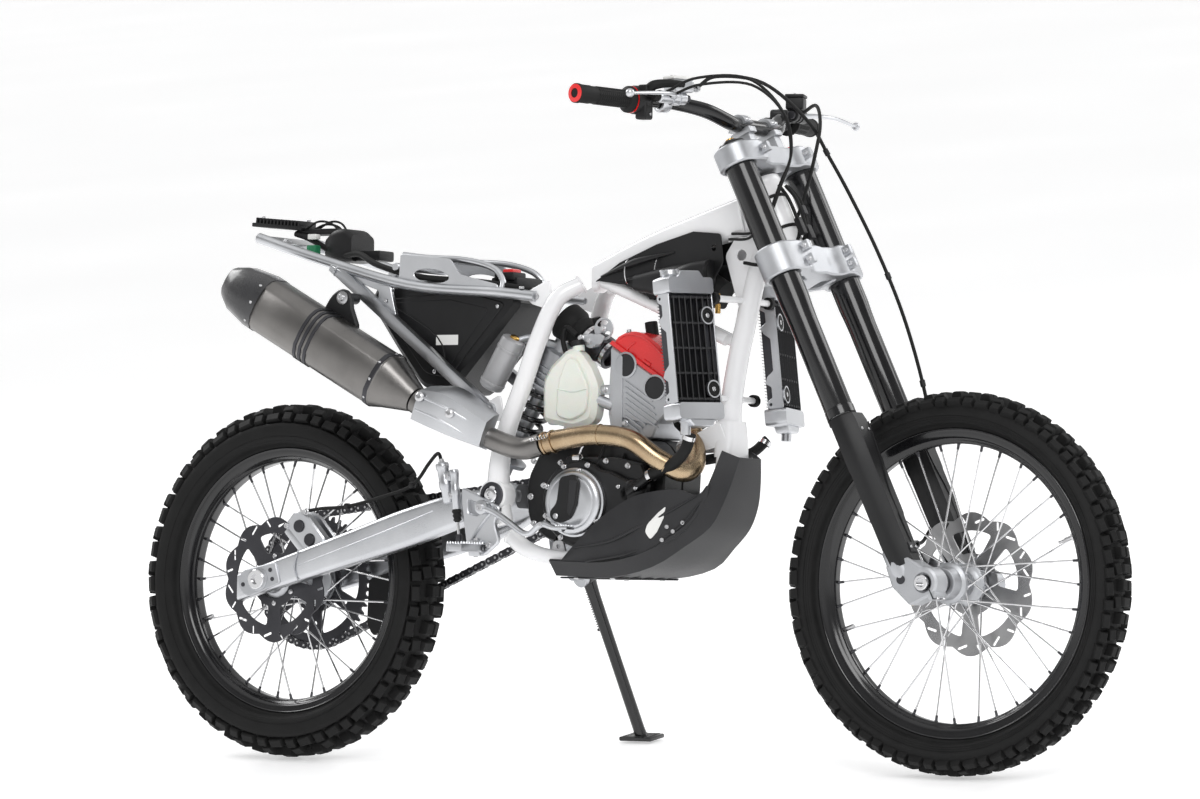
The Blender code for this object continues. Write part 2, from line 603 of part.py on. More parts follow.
def shock():
    """Shock absorber with its spring as one turned body, and its reservoir."""
    top, bottom = Vector((0, 0.112, 0.800)), Vector((0, 0.262, 0.535))
    length = (top - bottom).length
    profile = [(0.018, length), (0.018, length * 0.90), (0.030, length * 0.88)]
    coils = 4
    for index in range(coils):
        level = length * (0.86 - 0.62 * index / coils)
        profile += [(0.036, level), (0.036, level - 0.012), (0.030, level - 0.019)]
    profile += [(0.034, length * 0.16), (0.014, length * 0.12), (0.014, 0.0)]
    made = turned(profile, 12, frame=facing(top - bottom, bottom))
    tank = rod((-0.074, 0.186, 0.792), (-0.074, 0.240, 0.700), 0.0235, 14)
    bridge = rod((-0.074, 0.190, 0.784), (0.0, 0.128, 0.776), 0.010, 8)
    finish("shock_absorber", combined(made, [tank, bridge]), BIKE, ALUMINIUM)


# ---- engine ---------------------------------------------------------------------------------
CASE_CENTRE = (0.013, 0.488)                  # clutch housing in the side view
IGNITION_CENTRE = (-0.035, 0.490)


def engine():
    """Crankcase, its covers, the cylinder with its head, and the cam cover."""
    outline = [(-0.150, 0.460), (-0.120, 0.418), (0.020, 0.404), (0.105, 0.420),
               (0.146, 0.455), (0.150, 0.530), (0.120, 0.585), (0.060, 0.606),
               (-0.118, 0.606), (-0.155, 0.560)]
    core = side_plate(outline, -0.078, 0.052)
    clutch_side = rod((-0.07, *CASE_CENTRE), (-0.1145, *CASE_CENTRE), 0.084, 28)
    left_side = rod((0.04, *IGNITION_CENTRE), (0.086, *IGNITION_CENTRE), 0.074, 24)
    shaft = rod((0.05, *SPROCKET_SHAFT.yz), (0.082, *SPROCKET_SHAFT.yz), 0.021, 16)
    made = combined(core, [clutch_side, left_side, shaft])
    finish("crankcase", made, BIKE, BLACK_PAINT)

    frame = facing((-1, 0, 0), (-0.1145 - CLEAR, *CASE_CENTRE))
    dome = [(0.040, 0.0245), (0.056, 0.0205), (0.062, 0.011), (0.064, 0.0)]
    finish("clutch_cover", turned(dome, 28, frame=frame), BIKE, ALUMINIUM)
    frame = facing((1, 0, 0), (0.086 + CLEAR, *IGNITION_CENTRE))
    dome = [(0.048, 0.023), (0.062, 0.017), (0.067, 0.0)]
    finish("ignition_cover", turned(dome, 24, frame=frame), BIKE, BLACK_PAINT)

    outline = [(-0.021, 0.7815), (-0.010, 0.655), (-0.022, 0.6065), (-0.112, 0.6065),
               (-0.148, 0.655), (-0.160, 0.690), (-0.148, 0.7015)]
    finish("cylinder", side_plate(outline, -0.062, 0.062), BIKE, ALUMINIUM)
    outline = [(-0.021, 0.7825), (-0.050, 0.806), (-0.088, 0.802), (-0.138, 0.766),
               (-0.156, 0.735), (-0.150, 0.7025)]
    finish("cam_cover", side_plate(outline, -0.060, 0.060), BIKE, RED_PLASTIC)


def intake():
    """Throttle body, rubber duct under the backbone, airbox and catch tank."""
    body = rod((0.0, 0.012, 0.762), (0.0, 0.070, 0.800), 0.028, 16)
    box = block((0.062, 0.044, 0.050), (0.0, 0.042, 0.782), Matrix.Rotation(0.6, 4, "X"), 0.005)
    finish("throttle_body", combined(body, [box]), BIKE, DARK_STEEL)

    duct = tube([(0.0, -0.222, 0.876), (0.0, -0.165, 0.894), (0.0, -0.100, 0.893)], 0.026, 12, 3)
    panel = loft([chamfered(-0.056, 0.056, 0.850, 0.925, -0.205, 0.006),
                  chamfered(-0.056, 0.056, 0.880, 0.914, -0.060, 0.006)])
    finish("intake_duct", combined(duct, [panel]), BIKE, BLACK_PLASTIC)

    outline = [(0.172, 0.862), (0.330, 0.692), (0.395, 0.706), (0.455, 0.780), (0.520, 0.868),
               (0.500, 0.902), (0.300, 0.905), (0.200, 0.892)]
    finish("airbox", side_plate(outline, -0.078, 0.078), BIKE, BLACK_PLASTIC)

    outline = [(0.100, 0.720), (0.066, 0.776), (0.030, 0.772), (0.000, 0.710), (0.004, 0.645),
               (0.050, 0.625), (0.105, 0.640)]
    finish("catch_tank", side_plate(outline, -0.082, -0.034), BIKE, MILKY_PLASTIC)


def radiators():
    """Two radiators, leaning with the downtube and turned a little outwards."""
    for name, side in SIDES:
        turn = (Matrix.Rotation(math.radians(-7), 4, "X")
                @ Matrix.Rotation(math.radians(side * 14), 4, "Z"))
        place = Vector((side * 0.158, -0.254, 0.766))
        core = block((0.110, 0.034, 0.210), place, turn)
        tanks = []
        for end in (-1, 1):
            spot = place + turn @ Vector((0, 0.002, end * 0.115))
            tanks.append(block((0.116, 0.044, 0.034), spot, turn, 0.007))
        made = combined(core, tanks)
        finish("radiator_" + name, made, BIKE, ALUMINIUM)


def narrowed(made):
    """A piece drawn in towards the middle plane, ahead of NOSE_START."""
    body = bmesh.new()
    body.from_mesh(made.data)
    body.transform(made.matrix_world)
    bmesh.ops.bisect_plane(body, geom=body.verts[:] + body.edges[:] + body.faces[:],
                           plane_co=(0, NOSE_START, 0), plane_no=(0, 1, 0))
    for vertex in body.verts:
        vertex.co.x *= 1 - NOSE_TAPER * max(0.0, NOSE_START - vertex.co.y)
    body.transform(made.matrix_world.inverted())
    body.to_mesh(made.data)
    body.free()
    return made


def skid_plate():
    """A shell under the engine, swept up in front to a narrow nose."""
    side_view = [(0.062, 0.352), (-0.060, 0.350), (-0.160, 0.372), (-0.268, 0.458),
                 (-0.292, 0.574), (-0.285, 0.574), (-0.262, 0.470), (-0.200, 0.520),
                 (-0.119, 0.500), (0.011, 0.407)]
    outer = side_plate(side_view, -0.134, 0.134)
    room = loft([chamfered(-0.130, 0.130, 0.356, 0.60, 0.10, 0.02),
                 chamfered(-0.130, 0.130, 0.356, 0.60, -0.060, 0.02),
                 chamfered(-0.129, 0.129, 0.377, 0.60, -0.156, 0.02),
                 chamfered(-0.127, 0.127, 0.463, 0.62, -0.264, 0.02)])
    finish("skid_plate", narrowed(cut(outer, room)), BIKE, GREY_PLASTIC)


# ---- exhaust --------------------------------------------------------------------------------
def exhaust():
    """Header round the front of the engine, mid pipe with its shield, and the muffler."""
    path = [(0.0, -0.160, 0.640), (-0.026, -0.184, 0.606), (-0.062, -0.210, 0.562),
            (-0.090, -0.200, 0.546), (-0.116, -0.160, 0.570), (-0.130, -0.111, 0.603),
            (-0.134, -0.040, 0.612), (-0.136, 0.030, 0.604), (-0.138, 0.072, 0.596)]
    finish("exhaust_header", tube(path, 0.0190, 10, 2), BIKE, HEADER_METAL)

    front, back = Vector((-0.172, 0.3365, 0.6765)), Vector((-0.176, 0.764, 0.905))
    way = (back - front).normalized()
    path = [(-0.1384, 0.0755, 0.5953), (-0.1404, 0.120, 0.5868), (-0.151, 0.172, 0.602),
            (-0.162, 0.240, 0.634), front - way * 0.036, front - way * 0.002]
    pipe = tube(path, 0.0205, 10, 2)
    shield = loft([[(-0.182, 0.185, 0.592), (-0.182, 0.172, 0.630), (-0.150, 0.165, 0.648),
                    (-0.150, 0.190, 0.585)],
                   [(-0.216, 0.262, 0.620), (-0.214, 0.245, 0.682), (-0.160, 0.238, 0.696),
                    (-0.160, 0.270, 0.612)],
                   [(-0.218, 0.306, 0.638), (-0.216, 0.288, 0.692), (-0.160, 0.282, 0.700),
                    (-0.160, 0.312, 0.630)]])
    finish("exhaust_mid_pipe", combined(pipe, [shield]), BIKE, TITANIUM)

    length = (back - front).length
    profile = [(0.036, length), (0.047, length - 0.045), (0.053, length - 0.100),
               (0.053, 0.075), (0.028, 0.0)]
    can = turned(profile, 12, frame=facing(back - front, front))
    bracket = block((0.012, 0.034, 0.080), (-0.150, 0.550, 0.866),
                    Matrix.Rotation(math.radians(28), 4, "X"))
    finish("muffler", combined(can, [bracket]), BIKE, TITANIUM)


# ---- running gear ---------------------------------------------------------------------------
def pegs():
    """Foot peg brackets with their pegs."""
    for name, side in SIDES:
        outline = [(0.205, 0.470), (0.234, 0.498), (0.243, 0.512), (0.247, 0.480),
                   (0.236, 0.400), (0.196, 0.388), (0.168, 0.420), (0.184, 0.455)]
        low, high = sorted((side * 0.1345, side * 0.146))
        pieces = [block((0.082, 0.034, 0.016), (side * 0.182, 0.212, 0.402), bevel=0.003)]
        if side > 0:
            pieces.append(side_plate([(0.168, 0.424), (0.212, 0.396), (0.186, 0.346),
                                      (0.150, 0.346)], 0.1275, 0.1375))
            pieces.append(rod(STAND_PIVOT - STAND_AXIS * 0.018, STAND_PIVOT - STAND_AXIS * 0.005,
                              0.016, 14))
        bracket = side_plate(outline, low, high)
        finish("footpeg_" + name, combined(bracket, pieces), BIKE, ALUMINIUM)


def pedals():
    """Rear brake pedal and gear shift lever."""
    x = -0.1535
    arm = tube([(x, 0.196, 0.478), (x, 0.140, 0.452), (x, 0.090, 0.430), (x, 0.064, 0.443),
                (x, 0.020, 0.437)], 0.0065, 8, 1)
    eye = rod((x - 0.008, 0.196, 0.478), (x + 0.0065, 0.196, 0.478), 0.012, 12)
    tip = block((0.030, 0.034, 0.010), (x - 0.012, 0.008, 0.440), bevel=0.002)
    finish("brake_pedal", combined(arm, [eye, tip]), BIKE, ALUMINIUM)

    arm = tube([(0.1475, 0.066, 0.452), (0.1475, 0.020, 0.446), (0.1475, -0.040, 0.438),
                (0.1475, -0.082, 0.440)], 0.0060, 8, 2)
    eye = rod((0.058, 0.066, 0.452), (0.152, 0.066, 0.452), 0.0095, 12)
    toe = rod((0.146, -0.080, 0.440), (0.184, -0.080, 0.440), 0.0080, 10)
    finish("shift_lever", combined(arm, [eye, toe]), BIKE, STEEL)


def rear_brake():
    """Master cylinder on the right bracket, and the caliper over the rear disc."""
    body = rod((-0.138, 0.300, 0.560), (-0.138, 0.282, 0.486), 0.0130, 12)
    side_body = rod((-0.142, 0.270, 0.548), (-0.142, 0.262, 0.462), 0.0090, 10)
    link = block((0.014, 0.034, 0.018), (-0.140, 0.281, 0.535))
    made = combined(body, [side_body, link])
    finish("rear_master_cylinder", made, BIKE, ALUMINIUM)

    turn = Matrix.Rotation(math.radians(-44), 4, "X")
    caliper = block((0.052, 0.056, 0.094), (-0.0720, 0.644, 0.428), turn, 0.007)
    slot = turned([(0.131, -0.0575), (0.131, -0.0735), (0.020, -0.0735), (0.020, -0.0575)],
                  36, True, REAR_FRAME)
    arm_room = block((0.066, 0.30, 0.076), (-0.119, 0.62, 0.372),
                     Matrix.Rotation(math.radians(-16.4), 4, "X"))
    finish("rear_caliper", cut(caliper, slot, arm_room), BIKE, ALUMINIUM)


def chain_outline(extra):
    """The chain's path round both sprockets as (y, z), moved outwards by extra."""
    small, large = (radius + extra for radius in CHAIN_PITCH_RADII)
    span = Vector((REAR_AXLE.y - SPROCKET_SHAFT.y, REAR_AXLE.z - SPROCKET_SHAFT.z))
    tilt = math.degrees(math.atan2(span.y, span.x))
    wrap = math.degrees(math.asin((large - small) / span.length))
    front = arc(SPROCKET_SHAFT.yz, small, tilt + 90 + wrap, tilt + 270 - wrap, 8)
    rear = arc(REAR_AXLE.yz, large, tilt - 90 - wrap, tilt + 90 + wrap, 16)
    return front + rear


def drive():
    """The chain as one loop, and its guide under the swingarm."""
    low, high = SPROCKET_SHAFT.x - 0.008, SPROCKET_SHAFT.x + 0.008
    made = side_plate(chain_outline(0.0075), low, high, [chain_outline(-0.0040)])
    finish("drive_chain", made, BIKE, DARK_STEEL)

    outline = [(0.505, 0.372), (0.600, 0.345), (0.603, 0.258), (0.588, 0.236), (0.520, 0.268),
               (0.505, 0.300)]
    made = side_plate(outline, 0.0575, 0.0870)
    slot_room = side_plate([(0.48, 0.298), (0.63, 0.232), (0.63, 0.268), (0.48, 0.334)],
                           0.0605, 0.0775)
    finish("chain_guide", cut(made, slot_room), BIKE, BLACK_PLASTIC)


def electronics():
    """Regulator and relay box on the tail."""
    plate_body = block((0.062, 0.120, 0.022), (0.0, 0.770, 1.022),
                       Matrix.Rotation(math.radians(5), 4, "X"), 0.003)
    cup = block((0.080, 0.070, 0.056), (0.0, 0.620, 0.976), bevel=0.008)
    neck = block((0.040, 0.100, 0.014), (0.0, 0.682, 1.009))
    finish("tail_electronics", combined(plate_body, [cup, neck]), BIKE, BLACK_PLASTIC)


def side_stand():
    """Leg from its pivot out to a flat foot that lies on the ground when the bike leans."""
    top = STAND_PIVOT + STAND_AXIS * 0.0075
    way = (STAND_FOOT - top).normalized()
    leg = tube([top + way * 0.004, top.lerp(STAND_FOOT, 0.5), STAND_FOOT - way * 0.0095],
               0.0115, 10, 1)
    eye = rod(STAND_PIVOT - STAND_AXIS * 0.0044, STAND_PIVOT + STAND_AXIS * 0.019, 0.018, 14)
    ground = Matrix.Rotation(-LEAN, 4, "Y")
    pad = block((0.052, 0.074, 0.010), STAND_FOOT + ground @ Vector((0, 0, 0.005)), ground)
    finish("side_stand", combined(leg, [eye, pad]), STAND, BLACK_PAINT)


def rest_on_ground():
    """Lean the bike, then put its lowest point on the ground and its middle over the origin."""
    BIKE.matrix_world = Matrix.Rotation(LEAN, 4, "Y")
    bpy.context.view_layer.update()
    spots = [piece.matrix_world @ vertex.co
             for piece in PARTS.objects if piece.type == "MESH" for vertex in piece.data.vertices]
    low = Vector(min(spot[i] for spot in spots) for i in range(3))
    high = Vector(max(spot[i] for spot in spots) for i in range(3))
    shift = Vector((-(low.x + high.x) / 2, -(low.y + high.y) / 2, -low.z))
    BIKE.matrix_world = Matrix.Translation(shift) @ BIKE.matrix_world
    bpy.context.view_layer.update()


front_wheel()
rear_wheel()
forks()
handlebar()
front_brake()
frame_tubes()
subframe()
swingarm()
shock()
engine()
intake()
radiators()
skid_plate()
exhaust()
pegs()
pedals()
rear_brake()
drive()
electronics()
side_stand()
rest_on_ground()
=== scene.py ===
"""Looks of the stripped off-road motorcycle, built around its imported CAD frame.

Shapes are drawn in the upright bike's own frame: metres, +Z up, front wheel towards -Y, left side
towards +X, ground at z 0, and origin midway between the axles. BIKE leans them with the CAD model.
"""
import json
import math

import bmesh
import bpy
from mathutils import Matrix, Vector
from mathutils.geometry import delaunay_2d_cdt

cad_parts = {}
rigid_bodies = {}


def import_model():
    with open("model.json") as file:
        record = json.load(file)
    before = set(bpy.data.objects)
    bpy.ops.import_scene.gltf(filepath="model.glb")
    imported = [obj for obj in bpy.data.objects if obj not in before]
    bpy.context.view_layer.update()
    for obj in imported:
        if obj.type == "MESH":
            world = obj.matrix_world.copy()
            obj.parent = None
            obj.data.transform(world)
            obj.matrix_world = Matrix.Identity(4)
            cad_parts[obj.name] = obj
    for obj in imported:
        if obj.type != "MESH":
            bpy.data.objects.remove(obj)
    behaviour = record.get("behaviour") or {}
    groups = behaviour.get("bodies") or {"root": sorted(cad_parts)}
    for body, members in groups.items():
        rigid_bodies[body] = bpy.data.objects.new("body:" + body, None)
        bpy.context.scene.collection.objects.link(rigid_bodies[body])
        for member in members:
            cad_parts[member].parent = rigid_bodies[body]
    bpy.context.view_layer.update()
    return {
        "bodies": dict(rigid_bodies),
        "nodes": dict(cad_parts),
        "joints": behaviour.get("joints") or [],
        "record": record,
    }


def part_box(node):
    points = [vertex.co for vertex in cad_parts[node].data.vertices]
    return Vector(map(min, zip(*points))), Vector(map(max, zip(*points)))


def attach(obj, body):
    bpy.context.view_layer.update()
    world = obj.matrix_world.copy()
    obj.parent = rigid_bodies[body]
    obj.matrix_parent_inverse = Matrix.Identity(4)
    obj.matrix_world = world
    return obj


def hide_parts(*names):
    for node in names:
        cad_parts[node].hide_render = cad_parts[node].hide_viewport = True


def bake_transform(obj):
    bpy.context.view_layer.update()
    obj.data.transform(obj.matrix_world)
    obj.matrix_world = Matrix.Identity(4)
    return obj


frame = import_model()

# ---- places taken from the frame --------------------------------------------------------------
JOINTS = {joint["name"]: joint for joint in frame["joints"]}


def tyre_radius(node):
    """Half a tyre's length, which the lean doesn't change."""
    low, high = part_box(node)
    return (high.y - low.y) / 2


ACROSS = Vector(JOINTS["rear_wheel_spin"]["axis"])
LEAN = math.atan2(-ACROSS.z, ACROSS.x)
FRONT_RADIUS = tyre_radius("front_tyre")
REAR_RADIUS = tyre_radius("rear_tyre")
WHEELBASE = JOINTS["rear_wheel_spin"]["pos_m"][1] - JOINTS["front_wheel_spin"]["pos_m"][1]
FRONT_AXLE = Vector((0, -WHEELBASE / 2, FRONT_RADIUS))
REAR_AXLE = Vector((0, WHEELBASE / 2, REAR_RADIUS))
LEANED = Matrix.Rotation(LEAN, 4, "Y")
BIKE = Matrix.Translation(Vector(JOINTS["front_wheel_spin"]["pos_m"]) - LEANED @ FRONT_AXLE) @ LEANED
UPRIGHT = BIKE.inverted()
STEER_TOP = UPRIGHT @ Vector(JOINTS["steering_turn"]["pos_m"])
STEER_UP = (UPRIGHT.to_3x3() @ Vector(JOINTS["steering_turn"]["axis"])).normalized()
STEER_BACK = STEER_UP.cross(Vector((1, 0, 0))).normalized()
STEER_FRAME = Matrix((
    (1, STEER_BACK.x, STEER_UP.x, STEER_TOP.x),
    (0, STEER_BACK.y, STEER_UP.y, STEER_TOP.y),
    (0, STEER_BACK.z, STEER_UP.z, STEER_TOP.z),
    (0, 0, 0, 1)))
STAND_PIVOT = UPRIGHT @ Vector(JOINTS["side_stand_fold"]["pos_m"])
STAND_AXIS = (UPRIGHT.to_3x3() @ Vector(JOINTS["side_stand_fold"]["axis"])).normalized()

# ---- driving dimensions, as in the CAD --------------------------------------------------------
CLAMP_OFFSET = 0.022
FORK_SPREAD = 0.105
AXLE_DROP = 0.8823
AXLE_LEAD = 0.0581
TYRE_CROWN = 0.056
PIVOT = Vector((0, 0.189, 0.501))
SPROCKET_SHAFT = Vector((0.069, 0.105, 0.515))
CHAIN_PITCH = 0.015875
SPOKE_COUNT = 36
SIDES = (("right", -1), ("left", 1))
SMOOTH_ANGLE = math.radians(38)
WAVE_POINTS = 14
CORNER_POINTS = 5
DRIVE_TEETH = 13
NOSE_START = -0.150
NOSE_TAPER = 3.5
FLAT_CORNER = math.radians(155)
SIDEWAYS = Matrix(((0, 0, 1, 0), (1, 0, 0, 0), (0, 1, 0, 0), (0, 0, 0, 1)))  # local XYZ is bike YZX
WHEEL_TURN = Matrix.Rotation(math.radians(90), 4, "Y")
FRONT_FRAME = Matrix.Translation(FRONT_AXLE) @ WHEEL_TURN
REAR_FRAME = Matrix.Translation(REAR_AXLE) @ WHEEL_TURN


def steer(x, down, ahead):
    """A point given by x, its distance down the steering axis, and its lead on that axis."""
    return STEER_FRAME @ Vector((x, -ahead, -down))


def at(x, y, z):
    """A matrix that only moves."""
    return Matrix.Translation((x, y, z))


def sided(side, points):
    """Points given for the left side, put on the wanted side."""
    return [(side * x, y, z) for x, y, z in points]


def facing(direction, place):
    """A matrix at a place whose Z axis points along a direction."""
    return Matrix.Translation(Vector(place)) @ Vector(direction).to_track_quat("Z", "Y").to_matrix().to_4x4()


def turn(degrees, axis):
    """A rotation matrix."""
    return Matrix.Rotation(math.radians(degrees), 4, axis)


# ---- materials --------------------------------------------------------------------------------
GRAIN_DEPTH = 0.0004
GRAIN_SHARE = 0.35


def surface(name, dark, light, rough, metallic=0.0, grain=900.0, bump=0.15, patches=9.0,
            stretch=(1, 1, 1), **sockets):
    """A material whose colour, roughness and bump come from a fine grain and larger patches."""
    made = bpy.data.materials.new(name)
    made.use_nodes = True
    tree = made.node_tree
    shader = tree.nodes["Principled BSDF"]
    shader.inputs["Metallic"].default_value = metallic
    for socket, value in sockets.items():
        shader.inputs[socket.replace("_", " ")].default_value = value
    place = tree.nodes.new("ShaderNodeTexCoord")
    mapping = tree.nodes.new("ShaderNodeMapping")
    mapping.inputs["Scale"].default_value = stretch
    tree.links.new(place.outputs["Object"], mapping.inputs["Vector"])
    fine = tree.nodes.new("ShaderNodeTexNoise")
    fine.inputs["Scale"].default_value = grain
    fine.inputs["Detail"].default_value = 3.0
    tree.links.new(mapping.outputs["Vector"], fine.inputs["Vector"])
    broad = tree.nodes.new("ShaderNodeTexNoise")
    broad.inputs["Scale"].default_value = patches
    broad.inputs["Detail"].default_value = 5.0
    tree.links.new(place.outputs["Object"], broad.inputs["Vector"])
    blend = tree.nodes.new("ShaderNodeMix")
    blend.inputs["Factor"].default_value = GRAIN_SHARE
    tree.links.new(broad.outputs["Fac"], blend.inputs["A"])
    tree.links.new(fine.outputs["Fac"], blend.inputs["B"])
    ramp = tree.nodes.new("ShaderNodeValToRGB")
    ramp.color_ramp.elements[0].position = 0.32
    ramp.color_ramp.elements[0].color = (*dark, 1)
    ramp.color_ramp.elements[1].position = 0.68
    ramp.color_ramp.elements[1].color = (*light, 1)
    tree.links.new(blend.outputs["Result"], ramp.inputs["Fac"])
    tree.links.new(ramp.outputs["Color"], shader.inputs["Base Color"])
    spread = tree.nodes.new("ShaderNodeMapRange")
    spread.inputs["From Min"].default_value = 0.3
    spread.inputs["From Max"].default_value = 0.7
    spread.inputs["To Min"].default_value = rough[0]
    spread.inputs["To Max"].default_value = rough[1]
    tree.links.new(blend.outputs["Result"], spread.inputs["Value"])
    tree.links.new(spread.outputs["Result"], shader.inputs["Roughness"])
    relief = tree.nodes.new("ShaderNodeBump")
    relief.inputs["Strength"].default_value = bump
    relief.inputs["Distance"].default_value = GRAIN_DEPTH
    tree.links.new(fine.outputs["Fac"], relief.inputs["Height"])
    tree.links.new(relief.outputs["Normal"], shader.inputs["Normal"])
    return made


WHITE = surface("white_frame_paint", (0.80, 0.80, 0.815), (0.87, 0.87, 0.875), (0.16, 0.26),
                bump=0.05, Coat_Weight=0.5, Coat_Roughness=0.08)
GLOSS_BLACK = surface("gloss_black_coating", (0.003, 0.003, 0.0035), (0.009, 0.009, 0.010),
                      (0.12, 0.20), bump=0.04, Coat_Weight=0.2, Coat_Roughness=0.06)
CASE_BLACK = surface("case_black_paint", (0.005, 0.005, 0.0055), (0.014, 0.014, 0.015),
                     (0.28, 0.44), grain=1500, bump=0.35, Specular_IOR_Level=0.35)
PLASTIC = surface("black_moulded_plastic", (0.004, 0.004, 0.0045), (0.012, 0.012, 0.013),
                  (0.36, 0.52), grain=2200, bump=0.30, Specular_IOR_Level=0.35)
GREY = surface("grey_moulded_plastic", (0.014, 0.014, 0.0155), (0.028, 0.028, 0.030),
               (0.42, 0.56), grain=2400, bump=0.30, Specular_IOR_Level=0.35)
RUBBER = surface("black_rubber", (0.004, 0.004, 0.004), (0.012, 0.012, 0.012), (0.52, 0.72),
                 grain=1600, bump=0.35, Specular_IOR_Level=0.25)
TREAD = surface("tread_rubber", (0.004, 0.004, 0.004), (0.012, 0.012, 0.012), (0.52, 0.75),
                grain=700, bump=0.45, patches=26, Specular_IOR_Level=0.22)
ALUMINIUM = surface("satin_aluminium", (0.50, 0.51, 0.53), (0.66, 0.67, 0.69), (0.26, 0.40),
                    metallic=1.0, grain=1300, bump=0.14)
CAST = surface("cast_aluminium", (0.42, 0.43, 0.45), (0.60, 0.61, 0.63), (0.38, 0.54),
               metallic=1.0, grain=1100, bump=0.55)
BRUSHED = surface("brushed_aluminium", (0.50, 0.51, 0.53), (0.68, 0.69, 0.71), (0.24, 0.38),
                  metallic=1.0, grain=420, bump=0.20, stretch=(6, 0.35, 6))
DISC = surface("ground_disc_steel", (0.26, 0.26, 0.265), (0.42, 0.42, 0.425), (0.24, 0.36),
               metallic=1.0, grain=500, bump=0.15, stretch=(3, 3, 3))
SHELL = surface("pale_grey_anodising", (0.40, 0.40, 0.41), (0.50, 0.50, 0.51), (0.42, 0.55),
                metallic=0.5, grain=900, bump=0.12)
CHROME = surface("bright_steel", (0.60, 0.60, 0.61), (0.74, 0.74, 0.75), (0.08, 0.18),
                 metallic=1.0, bump=0.03)
BOLT = surface("bolt_steel", (0.46, 0.46, 0.47), (0.66, 0.66, 0.67), (0.20, 0.36),
               metallic=1.0, grain=1800, bump=0.12)
DARK = surface("dark_steel_finish", (0.040, 0.040, 0.044), (0.090, 0.090, 0.098), (0.32, 0.50),
               metallic=0.9, grain=1300, bump=0.22)
TITANIUM = surface("brushed_titanium", (0.150, 0.145, 0.140), (0.265, 0.255, 0.245), (0.24, 0.38),
                   metallic=1.0, grain=420, bump=0.22, stretch=(1.2, 6, 6))
HEADER = surface("heat_tinted_titanium", (0.30, 0.20, 0.115), (0.56, 0.44, 0.29), (0.18, 0.32),
                 metallic=1.0, grain=600, bump=0.08, patches=14)
RED = surface("red_gloss_cover", (0.62, 0.010, 0.012), (0.78, 0.022, 0.022), (0.20, 0.32),
              bump=0.05, Coat_Weight=0.4, Coat_Roughness=0.08)
MILKY = surface("milky_tank", (0.74, 0.75, 0.68), (0.85, 0.86, 0.80), (0.32, 0.46),
                grain=700, bump=0.12, Subsurface_Weight=0.25, Subsurface_Scale=0.01)
GOLD = surface("gold_anodising", (0.60, 0.36, 0.10), (0.78, 0.50, 0.16), (0.20, 0.32),
               metallic=1.0, bump=0.06)
LABEL = surface("blank_label", (0.72, 0.72, 0.70), (0.82, 0.82, 0.80), (0.4, 0.5), bump=0.05)
CARBON = surface("woven_carbon", (0.012, 0.012, 0.013), (0.040, 0.040, 0.043), (0.20, 0.34),
                 grain=500, bump=0.5, stretch=(3, 1, 3), Coat_Weight=0.5, Coat_Roughness=0.10)


# ---- meshes in local coordinates --------------------------------------------------------------
def flowing(points, steps):
    """Points along a smooth curve through the given ones."""
    spots = [Vector(point) for point in points]
    spots = [2 * spots[0] - spots[1]] + spots + [2 * spots[-1] - spots[-2]]
    path = []
    for before, start, end, after in zip(spots, spots[1:], spots[2:], spots[3:]):
        for step in range(steps):
            t = step / steps
            path.append(0.5 * ((2 * start) + (end - before) * t
                               + (2 * before - 5 * start + 4 * end - after) * t ** 2
                               + (3 * start - before - 3 * end + after) * t ** 3))
    return path + [spots[-2]]


def eased(points, size, closed=True):
    """An outline or profile whose corners are cut by two points each."""
    spots = [Vector((point[0], point[1])) for point in points]
    made = []
    for index, spot in enumerate(spots):
        if not closed and index in (0, len(spots) - 1):
            made.append(tuple(spot))
            continue
        before = spots[index - 1] - spot
        after = spots[(index + 1) % len(spots)] - spot
        if before.length < 1e-7 or after.length < 1e-7 or before.angle(after) > FLAT_CORNER:
            made.append(tuple(spot))
            continue
        first = spot + before.normalized() * min(size, before.length * 0.45)
        last = spot + after.normalized() * min(size, after.length * 0.45)
        middle = (first + last) / 2
        made += [tuple(first), tuple(middle.lerp(spot, 0.4)), tuple(last)]
    return made


def arc(centre, radius, start, end, count):
    """Points on an arc, angles in degrees."""
    angles = [math.radians(start + (end - start) * i / (count - 1)) for i in range(count)]
    return [(centre[0] + radius * math.cos(a), centre[1] + radius * math.sin(a)) for a in angles]


def circle(centre, radius, count=20):
    """Points round a full circle."""
    return arc(centre, radius, 0, 360 - 360 / count, count)


def mesh_of(verts, faces):
    """A mesh with its normals turned outwards."""
    body = bmesh.new()
    corners = [body.verts.new(vert) for vert in verts]
    for face in faces:
        if len(set(face)) > 2:
            body.faces.new([corners[i] for i in face])
    bmesh.ops.remove_doubles(body, verts=body.verts, dist=1e-6)
    bmesh.ops.recalc_face_normals(body, faces=body.faces)
    mesh = bpy.data.meshes.new("shape")
    body.to_mesh(mesh)
    body.free()
    return mesh


def skin(rings):
    """A closed mesh over rings of the same number of points."""
    verts = [point for ring in rings for point in ring]
    count = len(rings[0])
    faces = []
    for start in range(0, len(verts) - count, count):
        for i in range(count):
            j = (i + 1) % count
            faces.append((start + i, start + j, start + count + j, start + count + i))
    faces.append(tuple(range(count)))
    faces.append(tuple(range(len(verts) - count, len(verts))))
    return mesh_of(verts, faces)


